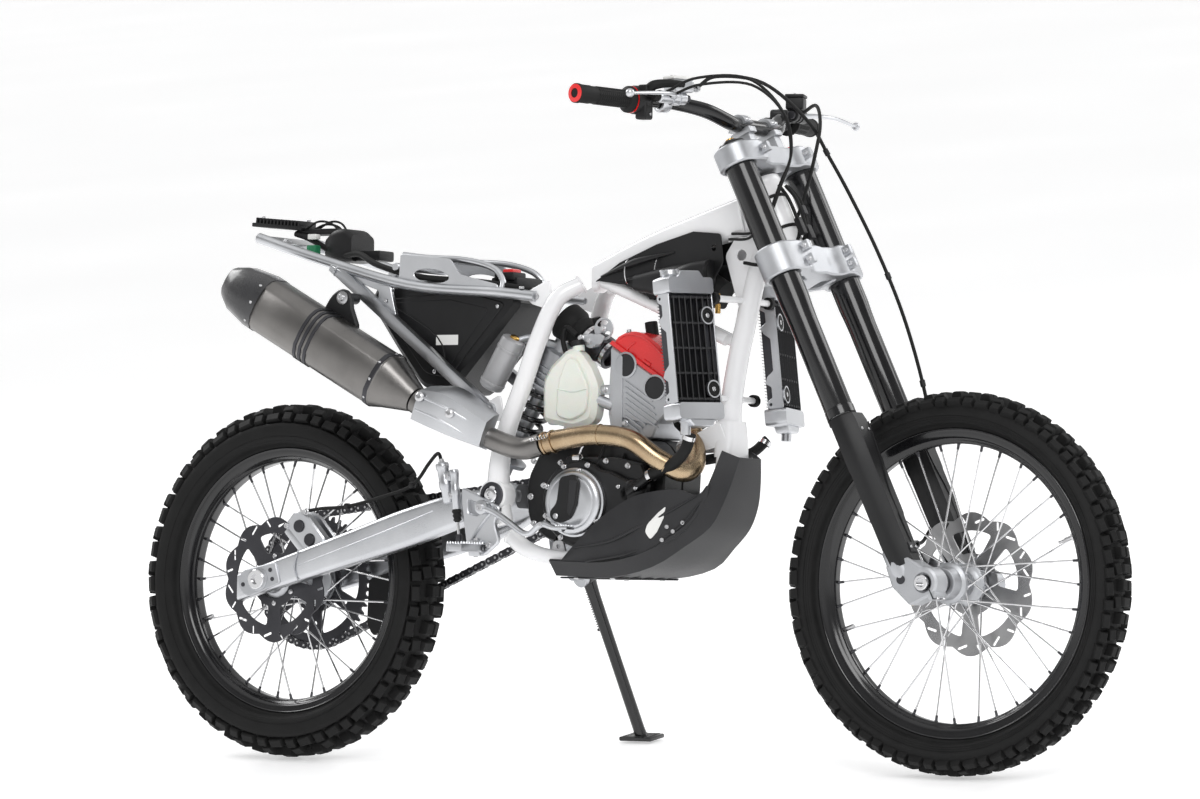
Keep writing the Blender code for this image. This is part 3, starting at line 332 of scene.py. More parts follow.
def lathe(profile, steps, ring=False):
    """A turned shape. The profile is (radius, height)."""
    rings = []
    for index in range(steps):
        angle = math.tau * index / steps
        rings.append([(r * math.cos(angle), r * math.sin(angle), h) for r, h in profile])
    count = len(profile)
    verts = [point for row in rings for point in row]
    faces = []
    last = count if ring else count - 1
    for index in range(steps):
        after = (index + 1) % steps
        for i in range(last):
            j = (i + 1) % count
            faces.append((index * count + i, after * count + i, after * count + j, index * count + j))
    if not ring:
        for end in (0, count - 1):
            if profile[end][0] > 1e-6:
                faces.append(tuple(index * count + end for index in range(steps)))
    return mesh_of(verts, faces)


def washer(inner, outer, low, high, steps):
    """A flat ring between two radii and two heights."""
    return lathe([(inner, low), (outer, low), (outer, high), (inner, high)], steps, ring=True)


def eased_washer(inner, outer, low, high, steps, ease):
    """A ring between two radii and two heights, with its corners eased."""
    return lathe(eased([(inner, low), (outer, low), (outer, high), (inner, high)], ease), steps, ring=True)


def drum(radius, low, high, steps, ease):
    """A round block between two heights, with its outer corners eased."""
    return lathe(eased([(0, low), (radius, low), (radius, high), (0, high)], ease, closed=False), steps)


def pipe(points, radius, sides=14, steps=6, flat=1.0):
    """A smooth bent bar. The radius is one number or one for each given point."""
    path = flowing(points, steps) if steps > 1 else [Vector(point) for point in points]
    count = len(points)
    radii = radius if isinstance(radius, (list, tuple)) else [radius] * count
    side = None
    rings = []
    for index, spot in enumerate(path):
        before = path[max(index - 1, 0)]
        after = path[min(index + 1, len(path) - 1)]
        way = (after - before).normalized()
        if side is None:
            side = way.orthogonal().normalized() if abs(way.z) > 0.95 else Vector((0, 0, 1)).cross(way)
        side = (side - way * side.dot(way)).normalized()
        up = way.cross(side)
        share = index / (len(path) - 1) * (count - 1)
        low = min(int(share), count - 2)
        size = radii[low] + (radii[low + 1] - radii[low]) * (share - low)
        rings.append([spot + side * (size * math.cos(math.tau * i / sides))
                      + up * (size * flat * math.sin(math.tau * i / sides)) for i in range(sides)])
    return skin(rings)


def moved_out(outline, amount):
    """An outline grown by an amount; its points run anticlockwise."""
    spots = [Vector((point[0], point[1])) for point in outline]
    made = []
    for index, spot in enumerate(spots):
        before = (spot - spots[index - 1]).normalized()
        after = (spots[(index + 1) % len(spots)] - spot).normalized()
        normal = Vector((before.y + after.y, -before.x - after.x))
        if normal.length < 1e-6:
            normal = Vector((before.y, -before.x))
        normal.normalize()
        reach = amount / max(0.45, normal.dot(Vector((before.y, -before.x))))
        made.append(tuple(spot + normal * reach))
    return made


def wound(outline, anticlockwise):
    """The outline with its points in the wanted direction."""
    area = sum(a[0] * b[1] - b[0] * a[1] for a, b in zip(outline, outline[1:] + outline[:1]))
    return outline if (area > 0) == anticlockwise else outline[::-1]


def crossed(place, a, b):
    """Whether a line from place towards +X crosses the edge a-b."""
    if (a.y > place.y) == (b.y > place.y):
        return False
    return a.x + (place.y - a.y) / (b.y - a.y) * (b.x - a.x) > place.x


def filled(rings):
    """Triangles of an outline with holes, as numbers of the rings' points in order."""
    points = [point.xy for ring in rings for point in ring]
    edges = []
    for ring in rings:
        start = len(edges)
        edges += [(start + i, start + (i + 1) % len(ring)) for i in range(len(ring))]
    places, _, faces, origins = delaunay_2d_cdt(points, edges, [], 0, 1e-9)[:4]
    nearest = [found[0] if found else min(range(len(points)), key=lambda i: (points[i] - place).length)
               for place, found in zip(places, origins)]
    made = []
    for face in faces:
        middle = sum((places[i] for i in face), Vector((0, 0))) / 3
        corners = [nearest[i] for i in face]
        if len(set(corners)) == 3 and sum(crossed(middle, points[a], points[b]) for a, b in edges) % 2:
            made.append(corners)
    return made


def slab(outline, thickness, holes=(), edge=0.0008):
    """A flat plate about z 0 with holes and softened edges."""
    rings = [wound(list(outline), True)] + [wound(list(hole), False) for hole in holes]
    half = thickness / 2
    edge = min(edge, half * 0.8)
    verts = []
    faces = []
    top_rings = []
    starts = []
    for ring in rings:
        inner = moved_out(ring, -edge)
        starts.append(len(verts))
        for level, shape in ((half, inner), (half - edge, ring), (edge - half, ring), (-half, inner)):
            verts += [(point[0], point[1], level) for point in shape]
        top_rings.append([Vector((point[0], point[1], 0)) for point in inner])
        count = len(ring)
        for layer in range(3):
            base = starts[-1] + layer * count
            faces += [(base + i, base + (i + 1) % count, base + count + (i + 1) % count,
                       base + count + i) for i in range(count)]
    places = [start + i for start, ring in zip(starts, rings) for i in range(len(ring))]
    drops = [3 * len(ring) for ring in rings for _ in ring]
    for triangle in filled(top_rings):
        faces.append(tuple(places[i] for i in triangle))
        faces.append(tuple(places[i] + drops[i] for i in triangle))
    return mesh_of(verts, faces)


def brick(size, bevel, segments=2):
    """A box with rounded edges."""
    body = bmesh.new()
    bmesh.ops.create_cube(body, size=1.0)
    bmesh.ops.scale(body, vec=Vector(size), verts=body.verts)
    bmesh.ops.bevel(body, geom=body.edges, offset=bevel, segments=segments, affect="EDGES",
                    profile=0.6)
    mesh = bpy.data.meshes.new("brick")
    body.to_mesh(mesh)
    body.free()
    return mesh


def hexagon(radius, height):
    """A hexagonal head with its corners taken off."""
    ring = [(radius * math.cos(math.tau * i / 6), radius * math.sin(math.tau * i / 6)) for i in range(6)]
    levels = ((0, 1.0), (height * 0.88, 1.0), (height, 0.86))
    return skin([[(x * share, y * share, level) for x, y in ring] for level, share in levels])


def joined(*meshes):
    """Several (mesh, matrix) pairs as one mesh."""
    body = bmesh.new()
    for mesh, matrix in meshes:
        copy = mesh.copy()
        copy.transform(matrix)
        body.from_mesh(copy)
        bpy.data.meshes.remove(copy)
    made = bpy.data.meshes.new("joined")
    body.to_mesh(made)
    body.free()
    return made


UNIT_HEX = joined((lathe([(1.25, 0.0), (1.25, 0.16), (1.05, 0.34), (0.6, 0.34)], 20), Matrix()),
                  (hexagon(0.92, 1.0), at(0, 0, 0.3)))
UNIT_CAP = lathe([(1.0, 0.0), (1.0, 0.75), (0.86, 0.92), (0.55, 0.92), (0.52, 0.5), (0.0, 0.46)], 18)
UNIT_DOME = lathe([(1.15, 0.0), (1.12, 0.28), (0.85, 0.55), (0.5, 0.66), (0.42, 0.45), (0.0, 0.42)], 18)


class Piece:
    """One visible piece. Shapes are added in the bike's frame, and done() puts it on its body."""

    def __init__(self, name, body, slot, material):
        self.name, self.body, self.slot = name, body, slot
        self.materials = []
        self.mesh = bmesh.new()
        self.use(material)

    def use(self, material):
        """What is added from here on has this material."""
        if material not in self.materials:
            self.materials.append(material)
        self.index = self.materials.index(material)
        return self

    def add(self, mesh, matrix=None, keep=False):
        """A mesh, moved by a matrix. It is used up unless it is kept for another copy."""
        copy = mesh.copy() if keep else mesh
        for polygon in copy.polygons:
            polygon.material_index = self.index
        if matrix is not None:
            copy.transform(matrix)
            if matrix.is_negative:
                copy.flip_normals()
        self.mesh.from_mesh(copy)
        bpy.data.meshes.remove(copy)
        return self

    def rod(self, start, end, radius, sides=24, ease=0.0008):
        """A round bar with eased ends."""
        start, end = Vector(start), Vector(end)
        length = (end - start).length
        ease = min(ease, radius * 0.4, length * 0.4)
        profile = [(radius - ease, 0), (radius, ease), (radius, length - ease), (radius - ease, length)]
        return self.add(lathe(profile, sides), facing(end - start, start))

    def pipe(self, points, radius, **options):
        """A smooth bent bar."""
        return self.add(pipe(points, radius, **options))

    def side_slab(self, outline, low, high, holes=(), edge=0.0008):
        """A plate drawn in the side view as (y, z), between two x values."""
        matrix = Matrix.Translation(((low + high) / 2, 0, 0)) @ SIDEWAYS
        return self.add(slab(outline, abs(high - low), holes, edge), matrix)

    def bolt(self, place, way, radius, kind=UNIT_HEX):
        """A bolt head standing on a surface."""
        return self.add(kind, facing(way, place) @ Matrix.Scale(radius, 4), keep=True)

    def bolts(self, places, way, radius, kind=UNIT_HEX):
        """Bolt heads that face one way."""
        for place in places:
            self.bolt(place, way, radius, kind)
        return self

    def side_bolts(self, x, places, radius):
        """Bolt heads at (y, z) places on a side face at x, facing away from the bike's middle."""
        return self.bolts([(x, y, z) for y, z in places], (1 if x > 0 else -1, 0, 0), radius)

    def weld(self, points, radius=0.0022, pitch=0.0026):
        """A rippled weld bead along points."""
        path = flowing(points, 4)
        length = sum((b - a).length for a, b in zip(path, path[1:]))
        count = max(4, int(length / pitch) * 2)
        spots = spread(path, count)
        return self.add(pipe(spots, [radius * (1.0 if i % 2 else 0.72) for i in range(count)],
                             sides=6, steps=1))

    def done(self, *replaced, smooth=SMOOTH_ANGLE, across=None):
        """The finished piece, riding on its body in place of CAD nodes, or left unparented with its
        place baked in when across is given."""
        mesh = bpy.data.meshes.new(self.name)
        self.mesh.to_mesh(mesh)
        self.mesh.free()
        mesh.transform(BIKE)
        for material in self.materials:
            mesh.materials.append(material)
        mesh.shade_smooth()
        mesh.set_sharp_from_angle(angle=smooth)
        made = bpy.data.objects.new(self.name, mesh)
        bpy.context.scene.collection.objects.link(made)
        if across:
            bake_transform(made)
        else:
            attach(made, self.body)
        if replaced:
            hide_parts(*replaced)
        return made


def spread(path, count):
    """Points at equal distances along a path."""
    lengths = [0.0]
    for a, b in zip(path, path[1:]):
        lengths.append(lengths[-1] + (Vector(b) - Vector(a)).length)
    made = []
    here = 0
    for index in range(count):
        want = lengths[-1] * index / (count - 1)
        while here < len(path) - 2 and lengths[here + 1] < want:
            here += 1
        share = (want - lengths[here]) / max(lengths[here + 1] - lengths[here], 1e-9)
        made.append(Vector(path[here]).lerp(Vector(path[here + 1]), share))
    return made


# ---- wheels -----------------------------------------------------------------------------------
def knob(length, width, height):
    """A tapered tread block with its top at z 0."""
    made = bmesh.new()
    bmesh.ops.create_cube(made, size=1.0)
    for vert in made.verts:
        flare = 1.0 if vert.co.z > 0 else 1.28
        vert.co = Vector((vert.co.x * width * flare, vert.co.y * length * flare,
                          -height if vert.co.z < 0 else 0))
    top = [edge for edge in made.edges if all(vert.co.z > -height / 2 for vert in edge.verts)]
    bmesh.ops.bevel(made, geom=top, offset=0.0012, segments=1, affect="EDGES")
    mesh = bpy.data.meshes.new("knob")
    made.to_mesh(mesh)
    made.free()
    return mesh


def tyre(name, body, frame, radius, bead, bead_half, half_width, block_height, rows, pitches):
    """A knobbly tyre: carcass, rim guard ribs and rows of (angle, phase, length, width, twist)."""
    piece = Piece(name, body, "tyre_rubber", TREAD)
    inner = radius - block_height
    edge = math.asin(half_width * 0.9 / TYRE_CROWN)
    side = [(bead - 0.001, bead_half * 0.86), (bead + 0.004, bead_half), (bead + 0.010, half_width * 0.80),
            (bead + 0.022, half_width * 0.90), (inner - 0.024, half_width * 0.89)]
    crown = [(inner - 0.92 * TYRE_CROWN * (1 - math.cos(edge * share)),
              0.92 * TYRE_CROWN * math.sin(edge * share)) for share in (0.85, 0.5, 0.0)]
    half = [(p.x, p.y) for p in flowing([(r, x, 0) for r, x in side + crown], 3)]
    profile = half + [(r, -x) for r, x in half[-2::-1]]
    piece.add(lathe(profile, 96, ring=True), frame)
    for sign in (-1, 1):
        for reach in (0.0125, 0.0165, 0.0205):
            level = bead + reach
            width = half_width * (0.80 + (reach - 0.010) / 0.012 * 0.10 if reach < 0.022 else 0.9)
            rib = [(level - 0.0012, sign * (width - 0.002)), (level, sign * (width + 0.0011)),
                   (level + 0.0012, sign * (width - 0.002))]
            piece.add(lathe(rib, 96, ring=True), frame)
    for degrees, phase, length, width, twist in rows:
        block = knob(length, width, block_height * (1.0 if abs(degrees) < 40 else 1.25))
        lean = math.radians(degrees)
        reach = TYRE_CROWN - 0.0008 - width * width / 8 / TYRE_CROWN
        spot = (radius - TYRE_CROWN + reach * math.cos(lean), reach * math.sin(lean))
        # the block's length runs round the wheel, which is the local Y of the section
        axes = Matrix(((-math.sin(lean), 0, math.cos(lean), spot[0]), (0, 1, 0, 0),
                       (math.cos(lean), 0, math.sin(lean), spot[1]), (0, 0, 0, 1)))
        for index in range(pitches):
            spin = Matrix.Rotation(math.tau * (index + phase) / pitches, 4, "Z")
            piece.add(block, frame @ spin @ axes @ turn(twist, "Z"), keep=True)
    return piece


def tyres():
    """Both tyres."""
    front_rows = []
    rear_rows = []
    for sign in (-1, 1):
        front_rows += [(sign * 9, 0.0, 0.017, 0.0125, 0), (sign * 25, 0.5, 0.019, 0.012, sign * 12),
                       (sign * 44, 0.12, 0.024, 0.012, sign * 6), (sign * 43, 0.62, 0.017, 0.014, sign * 4)]
        rear_rows += [(sign * 11, 0.0, 0.020, 0.017, 0), (sign * 33, 0.5, 0.022, 0.016, sign * 10),
                      (sign * 56, 0.1, 0.028, 0.0150, sign * 5), (sign * 55, 0.6, 0.019, 0.0170, 0)]
    front_rows.append((0, 0.5, 0.014, 0.021, 0))
    rear_rows.append((0, 0.5, 0.017, 0.029, 0))
    tyre("front_tyre_tread", "front_wheel", FRONT_FRAME, FRONT_RADIUS, 0.2803, 0.024, 0.044, 0.0145,
         front_rows, 36).done("front_tyre")
    tyre("rear_tyre_tread", "rear_wheel", REAR_FRAME, REAR_RADIUS, 0.2553, 0.033, 0.055, 0.0175,
         rear_rows, 29).done("rear_tyre")


def rim(name, body, frame, flange, opening, half_width, node):
    """A deep rim with rolled flanges, a rim lock nut and a valve."""
    piece = Piece(name, body, "black_gloss_paint", GLOSS_BLACK)
    wall = 0.0022
    outer = [(flange, half_width - 0.001), (flange - 0.002, half_width),
             (flange - 0.004, half_width - 0.0012), (opening + 0.012, half_width - 0.0035),
             (opening + 0.004, half_width * 0.55), (opening, half_width * 0.38), (opening - 0.0004, 0.0)]
    side = [(p.x, p.y) for p in flowing([(r, x, 0) for r, x in outer], 3)]
    inner = side + [(r, -x) for r, x in side[-2::-1]]
    outside = [(min(r + wall, flange), x * 0.94) for r, x in inner[::-1]]
    piece.add(lathe(inner + outside, 120, ring=True), frame)
    piece.use(BOLT)
    piece.add(lathe([(0.0045, -0.022), (0.0045, -0.002), (0.003, 0.0), (0.0, 0.0)], 14),
              frame @ turn(70, "Z") @ at(opening, 0, 0) @ turn(90, "Y"))
    piece.add(lathe([(0.0042, 0), (0.0042, 0.020), (0.0028, 0.022), (0.0028, 0.034), (0, 0.034)], 14),
              frame @ turn(250, "Z") @ at(opening + 0.001, 0, 0) @ turn(-90, "Y"))
    piece.add(hexagon(0.0075, 0.005), frame @ turn(250, "Z") @ at(opening - 0.0005, 0, 0) @ turn(-90, "Y"))
    return piece.done(node)


def spokes(name, body, frame, flanges, opening):
    """Crossed spokes from both hub flanges, each with its bent head and nipple."""
    piece = Piece(name, body, "steel", CHROME)
    nipple = lathe([(0.0, 0), (0.0034, 0), (0.0034, 0.002), (0.0026, 0.003), (0.0024, 0.012), (0.0, 0.012)],
                   10)
    per_side = SPOKE_COUNT // 2
    for side, (hub_radius, flange_x) in zip((-1, 1), flanges):
        for index in range(per_side):
            lag = math.radians(52 if index % 2 else -52)
            rim_angle = math.tau * (index + (0.5 if side > 0 else 0)) / per_side
            hub_angle = rim_angle - lag
            shift = 0.0022 * (1 if index % 2 else -1)
            start = Vector((hub_radius * math.cos(hub_angle), hub_radius * math.sin(hub_angle),
                            side * flange_x + shift))
            end = Vector(((opening + 0.001) * math.cos(rim_angle), (opening + 0.001) * math.sin(rim_angle),
                          side * 0.004))
            way = (end - start).normalized()
            piece.use(CHROME)
            piece.add(lathe([(0, 0), (0.0017, 0), (0.0017, (end - start).length),
                             (0, (end - start).length)], 8), frame @ facing(way, start))
            piece.add(lathe([(0, 0), (0.0030, 0.0006), (0.0030, 0.0016), (0, 0.0022)], 8),
                      frame @ facing((0, 0, side), start + Vector((0, 0, side * 0.0008))))
            piece.use(DARK)
            piece.add(nipple, frame @ facing(-way, end), keep=True)
    piece.done()


def hub(name, frame, body, profile, flanges, node, ribs):
    """A turned hub with drilled spoke flanges, seals and barrel ribs."""
    piece = Piece(name, body, "aluminium", CAST)
    piece.add(lathe(eased(profile, 0.0012, closed=True), 56, ring=True), frame)
    for side, (radius, x) in zip((-1, 1), flanges):
        for index in range(SPOKE_COUNT // 4):
            angle = math.tau * index / (SPOKE_COUNT // 4)
            boss = frame @ Matrix.Rotation(angle, 4, "Z") @ at(radius + 0.001, 0, side * x)
            piece.add(brick((0.013, 0.009, 0.0088), 0.003), boss)
    for level in ribs:
        piece.add(lathe([(0.0215, level - 0.0015), (0.0255, level - 0.0008), (0.0255, level + 0.0008),
                         (0.0215, level + 0.0015)], 48, ring=True), frame)
    for sign in (-1, 1):
        end = sign * max(abs(h) for _, h in profile)
        inner = min(r for r, _ in profile)
        piece.use(RUBBER)
        piece.add(lathe([(inner + 0.0005, end + sign * 0.0004), (inner + 0.006, end + sign * 0.0008),
                         (inner + 0.006, end - sign * 0.001), (inner + 0.0005, end - sign * 0.001)], 40,
                        ring=True), frame)
    return piece.done(node)


def wavy(radius, waves, depth):
    """The outline of a petal brake disc."""
    points = []
    count = waves * WAVE_POINTS
    for index in range(count):
        angle = math.tau * index / count
        wave = 0.5 + 0.5 * math.cos(waves * angle)
        points.append((radius - depth * (1 - wave ** 0.6)) * Vector((math.cos(angle), math.sin(angle))))
    return [tuple(point) for point in points]


def slot_hole(radius, angle, length, width, tilt):
    """A slot in a disc, at an angle and tilted against the radius, in degrees."""
    half = length / 2 - width / 2
    ring = arc((half, 0), width / 2, -90, 90, 5) + arc((-half, 0), width / 2, 90, 270, 5)
    place = turn(angle, "Z") @ at(radius, 0, 0) @ turn(tilt, "Z")
    return [tuple((place @ Vector((x, y, 0))).xy) for x, y in ring]


def window(inner, outer, start, end):
    """A round-cornered opening between two arms of a carrier."""
    points = arc((0, 0), outer, start, end, 7) + arc((0, 0), inner, end - 4, start + 4, 5)
    return eased(points, 0.005)


def disc(name, body, frame, x, radius, thickness, bore, material, node, slot):
    """A petal disc with slots, carrier windows and its bolts."""
    waves = 10
    holes = [circle((0, 0), bore, 40)]
    for index in range(waves):
        base = index * 360 / waves
        holes.append(slot_hole(radius * 0.885, base + 8, 0.021, 0.0048, 62))
        holes.append(slot_hole(radius * 0.90, base - 9, 0.016, 0.0045, -28))
    arms = 5
    for index in range(arms):
        base = index * 360 / arms
        holes.append(window(radius * 0.43, radius * 0.745, base + 11, base + 61))
    piece = Piece(name, body, slot, material)
    place = frame @ at(0, 0, x)
    piece.add(slab(wavy(radius, waves, radius * 0.085), thickness, holes, 0.0004), place)
    side = 1 if x > 0 else -1
    piece.use(BOLT)
    for index in range(6):
        spot = place @ Matrix.Rotation(math.tau * index / 6, 4,
                                       "Z") @ Vector((bore + 0.009, 0, side * thickness / 2))
        piece.bolt(spot, (side, 0, 0), 0.0042, UNIT_DOME)
    piece.done(node)


def sprocket():
    """The rear sprocket with its teeth, lightening holes and nuts."""
    teeth = 50
    root, tip = 0.1195, 0.1300
    points = []
    for index in range(teeth):
        for share, radius in ((0.0, root), (0.2, root + 0.0012), (0.38, tip - 0.001), (0.5, tip),
                              (0.62, tip - 0.001), (0.8, root + 0.0012)):
            angle = math.tau * (index + share) / teeth
            points.append((radius * math.cos(angle), radius * math.sin(angle)))
    holes = [circle((0, 0), 0.030, 36)]
    for index in range(6):
        holes.append(window(0.060, 0.103, index * 60 + 8, index * 60 + 50))
        holes.append(circle((0.082 * math.cos(math.radians(index * 60 - 1)),
                             0.082 * math.sin(math.radians(index * 60 - 1))), 0.0045, 14))
    piece = Piece("rear_sprocket_toothed", "rear_wheel", "dark_steel", DARK)
    place = REAR_FRAME @ at(0, 0, SPROCKET_SHAFT.x)
    piece.add(slab(points, 0.0058, holes, 0.0006), place)
    piece.use(CAST)
    piece.add(eased_washer(0.030, 0.050, -0.006, 0.0035, 48, 0.001), place)
    piece.use(BOLT)
    for index in range(6):
        spot = place @ Matrix.Rotation(math.tau * (index + 0.5) / 6, 4, "Z") @ Vector((0.0425, 0, 0.0035))
        piece.bolt(spot, (1, 0, 0), 0.0052)
    piece.done("rear_sprocket")


def wheels():
    """Tyres, rims, hubs, spokes, discs and the sprocket."""
    tyres()
    rim("front_rim_rolled", "front_wheel", FRONT_FRAME, 0.2795, 0.2515, 0.023, "front_rim")
    rim("rear_rim_rolled", "rear_wheel", REAR_FRAME, 0.2545, 0.2285, 0.031, "rear_rim")
    front_flanges = ((0.0330, 0.0315), (0.0330, 0.0325))
    rear_flanges = ((0.0395, 0.055), (0.0420, 0.056))
    spokes("front_spokes", "front_wheel", FRONT_FRAME, front_flanges, 0.2515)
    spokes("rear_spokes", "rear_wheel", REAR_FRAME, rear_flanges, 0.2285)
    profile = [(0.0205, 0.060), (0.0205, 0.0505), (0.0300, 0.0500), (0.0300, 0.0455), (0.036, 0.0430),
               (0.0375, 0.0365), (0.0375, 0.0285), (0.030, 0.0265), (0.023, 0.020), (0.0215, 0.0),
               (0.023, -0.020), (0.030, -0.0265), (0.0375, -0.0280), (0.0375, -0.0355), (0.030, -0.040),
               (0.028, -0.0520), (0.0265, -0.060), (0.0112, -0.060), (0.0112, 0.060)]
    hub("front_hub_turned", FRONT_FRAME, "front_wheel", profile, front_flanges, "front_hub",
        (-0.012, -0.004, 0.004, 0.012))
    profile = [(0.025, 0.082), (0.025, 0.073), (0.040, 0.066), (0.046, 0.0620), (0.048, 0.0600),
               (0.048, 0.0520), (0.034, 0.046), (0.028, 0.036), (0.0265, 0.0), (0.028, -0.036),
               (0.034, -0.046), (0.0455, -0.0510), (0.0455, -0.0590), (0.036, -0.0625), (0.025, -0.070),
               (0.024, -0.082), (0.0138, -0.082), (0.0138, 0.082)]
    hub("rear_hub_turned", REAR_FRAME, "rear_wheel", profile, rear_flanges, "rear_hub",
        (-0.026, -0.014, 0.014, 0.026))
    disc("front_disc_petal", "front_wheel", FRONT_FRAME, 0.0478, 0.130, 0.0032, 0.030, DISC, "front_disc",
         "steel")
    disc("rear_disc_petal", "rear_wheel", REAR_FRAME, -0.0655, 0.120, 0.0036, 0.036, DARK, "rear_disc",
         "dark_steel")
    sprocket()


# ---- steering ---------------------------------------------------------------------------------
def fork_clamps():
    """Upper and lower clamps with pinch bolts, stem nut and bar clamps."""
    for name, node, down, depth, rear in (("upper_clamp_milled", "upper_clamp", -0.012, 0.040, 0.028),
                                          ("lower_clamp_milled", "lower_clamp", 0.194, 0.058, 0.030)):
        ahead = CLAMP_OFFSET
        half = [(0.0, -ahead - 0.030), (0.030, -ahead - 0.026), (0.056, -ahead - 0.030)]
        half += [(0.066, -ahead - 0.040), (0.082, -ahead - 0.041)]
        half += arc((FORK_SPREAD, -ahead), 0.0385, -62, 125, 12)
        half += [(0.062, rear - 0.014), (0.034, rear - 0.001), (0.0, rear)]
        outline = half + [(-x, y) for x, y in half[-2:0:-1]]
        holes = [circle((side * FORK_SPREAD, -ahead), 0.0290, 40) for _, side in SIDES]
        holes += [eased([(side * 0.026, -ahead + 0.004), (side * 0.060, -ahead - 0.010),
                         (side * 0.058, 0.004), (side * 0.030, 0.014)], 0.005) for _, side in SIDES]
        piece = Piece(name, "steering", "aluminium", CAST)
        piece.add(slab(outline, depth, holes, 0.003), STEER_FRAME @ at(0, 0, -down - depth / 2))
        for _, side in SIDES:
            lug_x = side * 0.074
            levels = (0.5,) if depth < 0.05 else (0.27, 0.73)
            for share in levels:
                low = down + depth * share
                piece.use(CAST)
                piece.add(brick((0.012, 0.020, 0.019), 0.003), STEER_FRAME @ at(lug_x, -ahead - 0.046, -low))
                piece.use(BOLT)
                piece.bolt(steer(lug_x - side * 0.006, low, ahead + 0.047), (-side, 0, 0), 0.0048, UNIT_CAP)
                piece.bolt(steer(lug_x + side * 0.006, low, ahead + 0.047), (side, 0, 0), 0.0040)
        if down < 0:
            for _, side in SIDES:
                piece.use(CAST)
                piece.add(brick((0.024, 0.034, 0.026), 0.004), STEER_FRAME @ at(side * 0.045, -0.022, 0.028))
                piece.add(brick((0.025, 0.044, 0.012), 0.003), STEER_FRAME @ at(side * 0.045, -0.023, 0.046))
                piece.use(GOLD)
                piece.add(washer(0.009, 0.0165, 0, 0.0035, 28),
                          STEER_FRAME @ at(side * 0.045, -0.022, 0.0122))
                piece.use(CAST)
                cap = arc((0.0, 0.0), 0.0205, 0, 180, 14) + [(-0.024, -0.004), (0.024, -0.004)]
                matrix = STEER_FRAME @ at(side * 0.045, -0.023, 0.0622) @ SIDEWAYS
                piece.add(slab(cap, 0.024, (), 0.001), matrix)
                piece.use(BOLT)
                for reach in (-0.0195, 0.0195):
                    piece.bolt(STEER_FRAME @ Vector((side * 0.045 - 0.006, -0.023 + reach, 0.0640)),
                               STEER_UP, 0.0036, UNIT_CAP)
                    piece.bolt(STEER_FRAME @ Vector((side * 0.045 + 0.006, -0.023 + reach, 0.0640)),
                               STEER_UP, 0.0036, UNIT_CAP)
            piece.use(DARK)
            piece.add(lathe([(0.019, 0), (0.019, 0.003), (0.0165, 0.004), (0.0155, 0.0125), (0.011, 0.0135),
                             (0.0105, 0.006), (0, 0.006)], 32), STEER_FRAME @ at(0, 0, 0.012))
            for index in range(6):
                spot = STEER_FRAME @ at(0, 0, 0.0165) @ Matrix.Rotation(math.tau * index / 6, 4, "Z")
                piece.add(brick((0.004, 0.006, 0.010), 0.001), spot @ at(0.0150, 0, 0))
        else:
            piece.use(DARK)
            piece.rod(steer(0, 0.030, 0), steer(0, 0.21, 0), 0.0125)
            piece.rod(steer(0, 0.184, 0), steer(0, 0.194, 0), 0.024)
            piece.use(CAST)
            for _, side in SIDES:
                piece.rod(steer(side * 0.038, 0.205, -0.034), steer(side * 0.038, 0.236, -0.034), 0.006)
                piece.use(BOLT).bolt(steer(side * 0.038, 0.205, -0.034), STEER_UP, 0.004).use(CAST)
        piece.done(node)


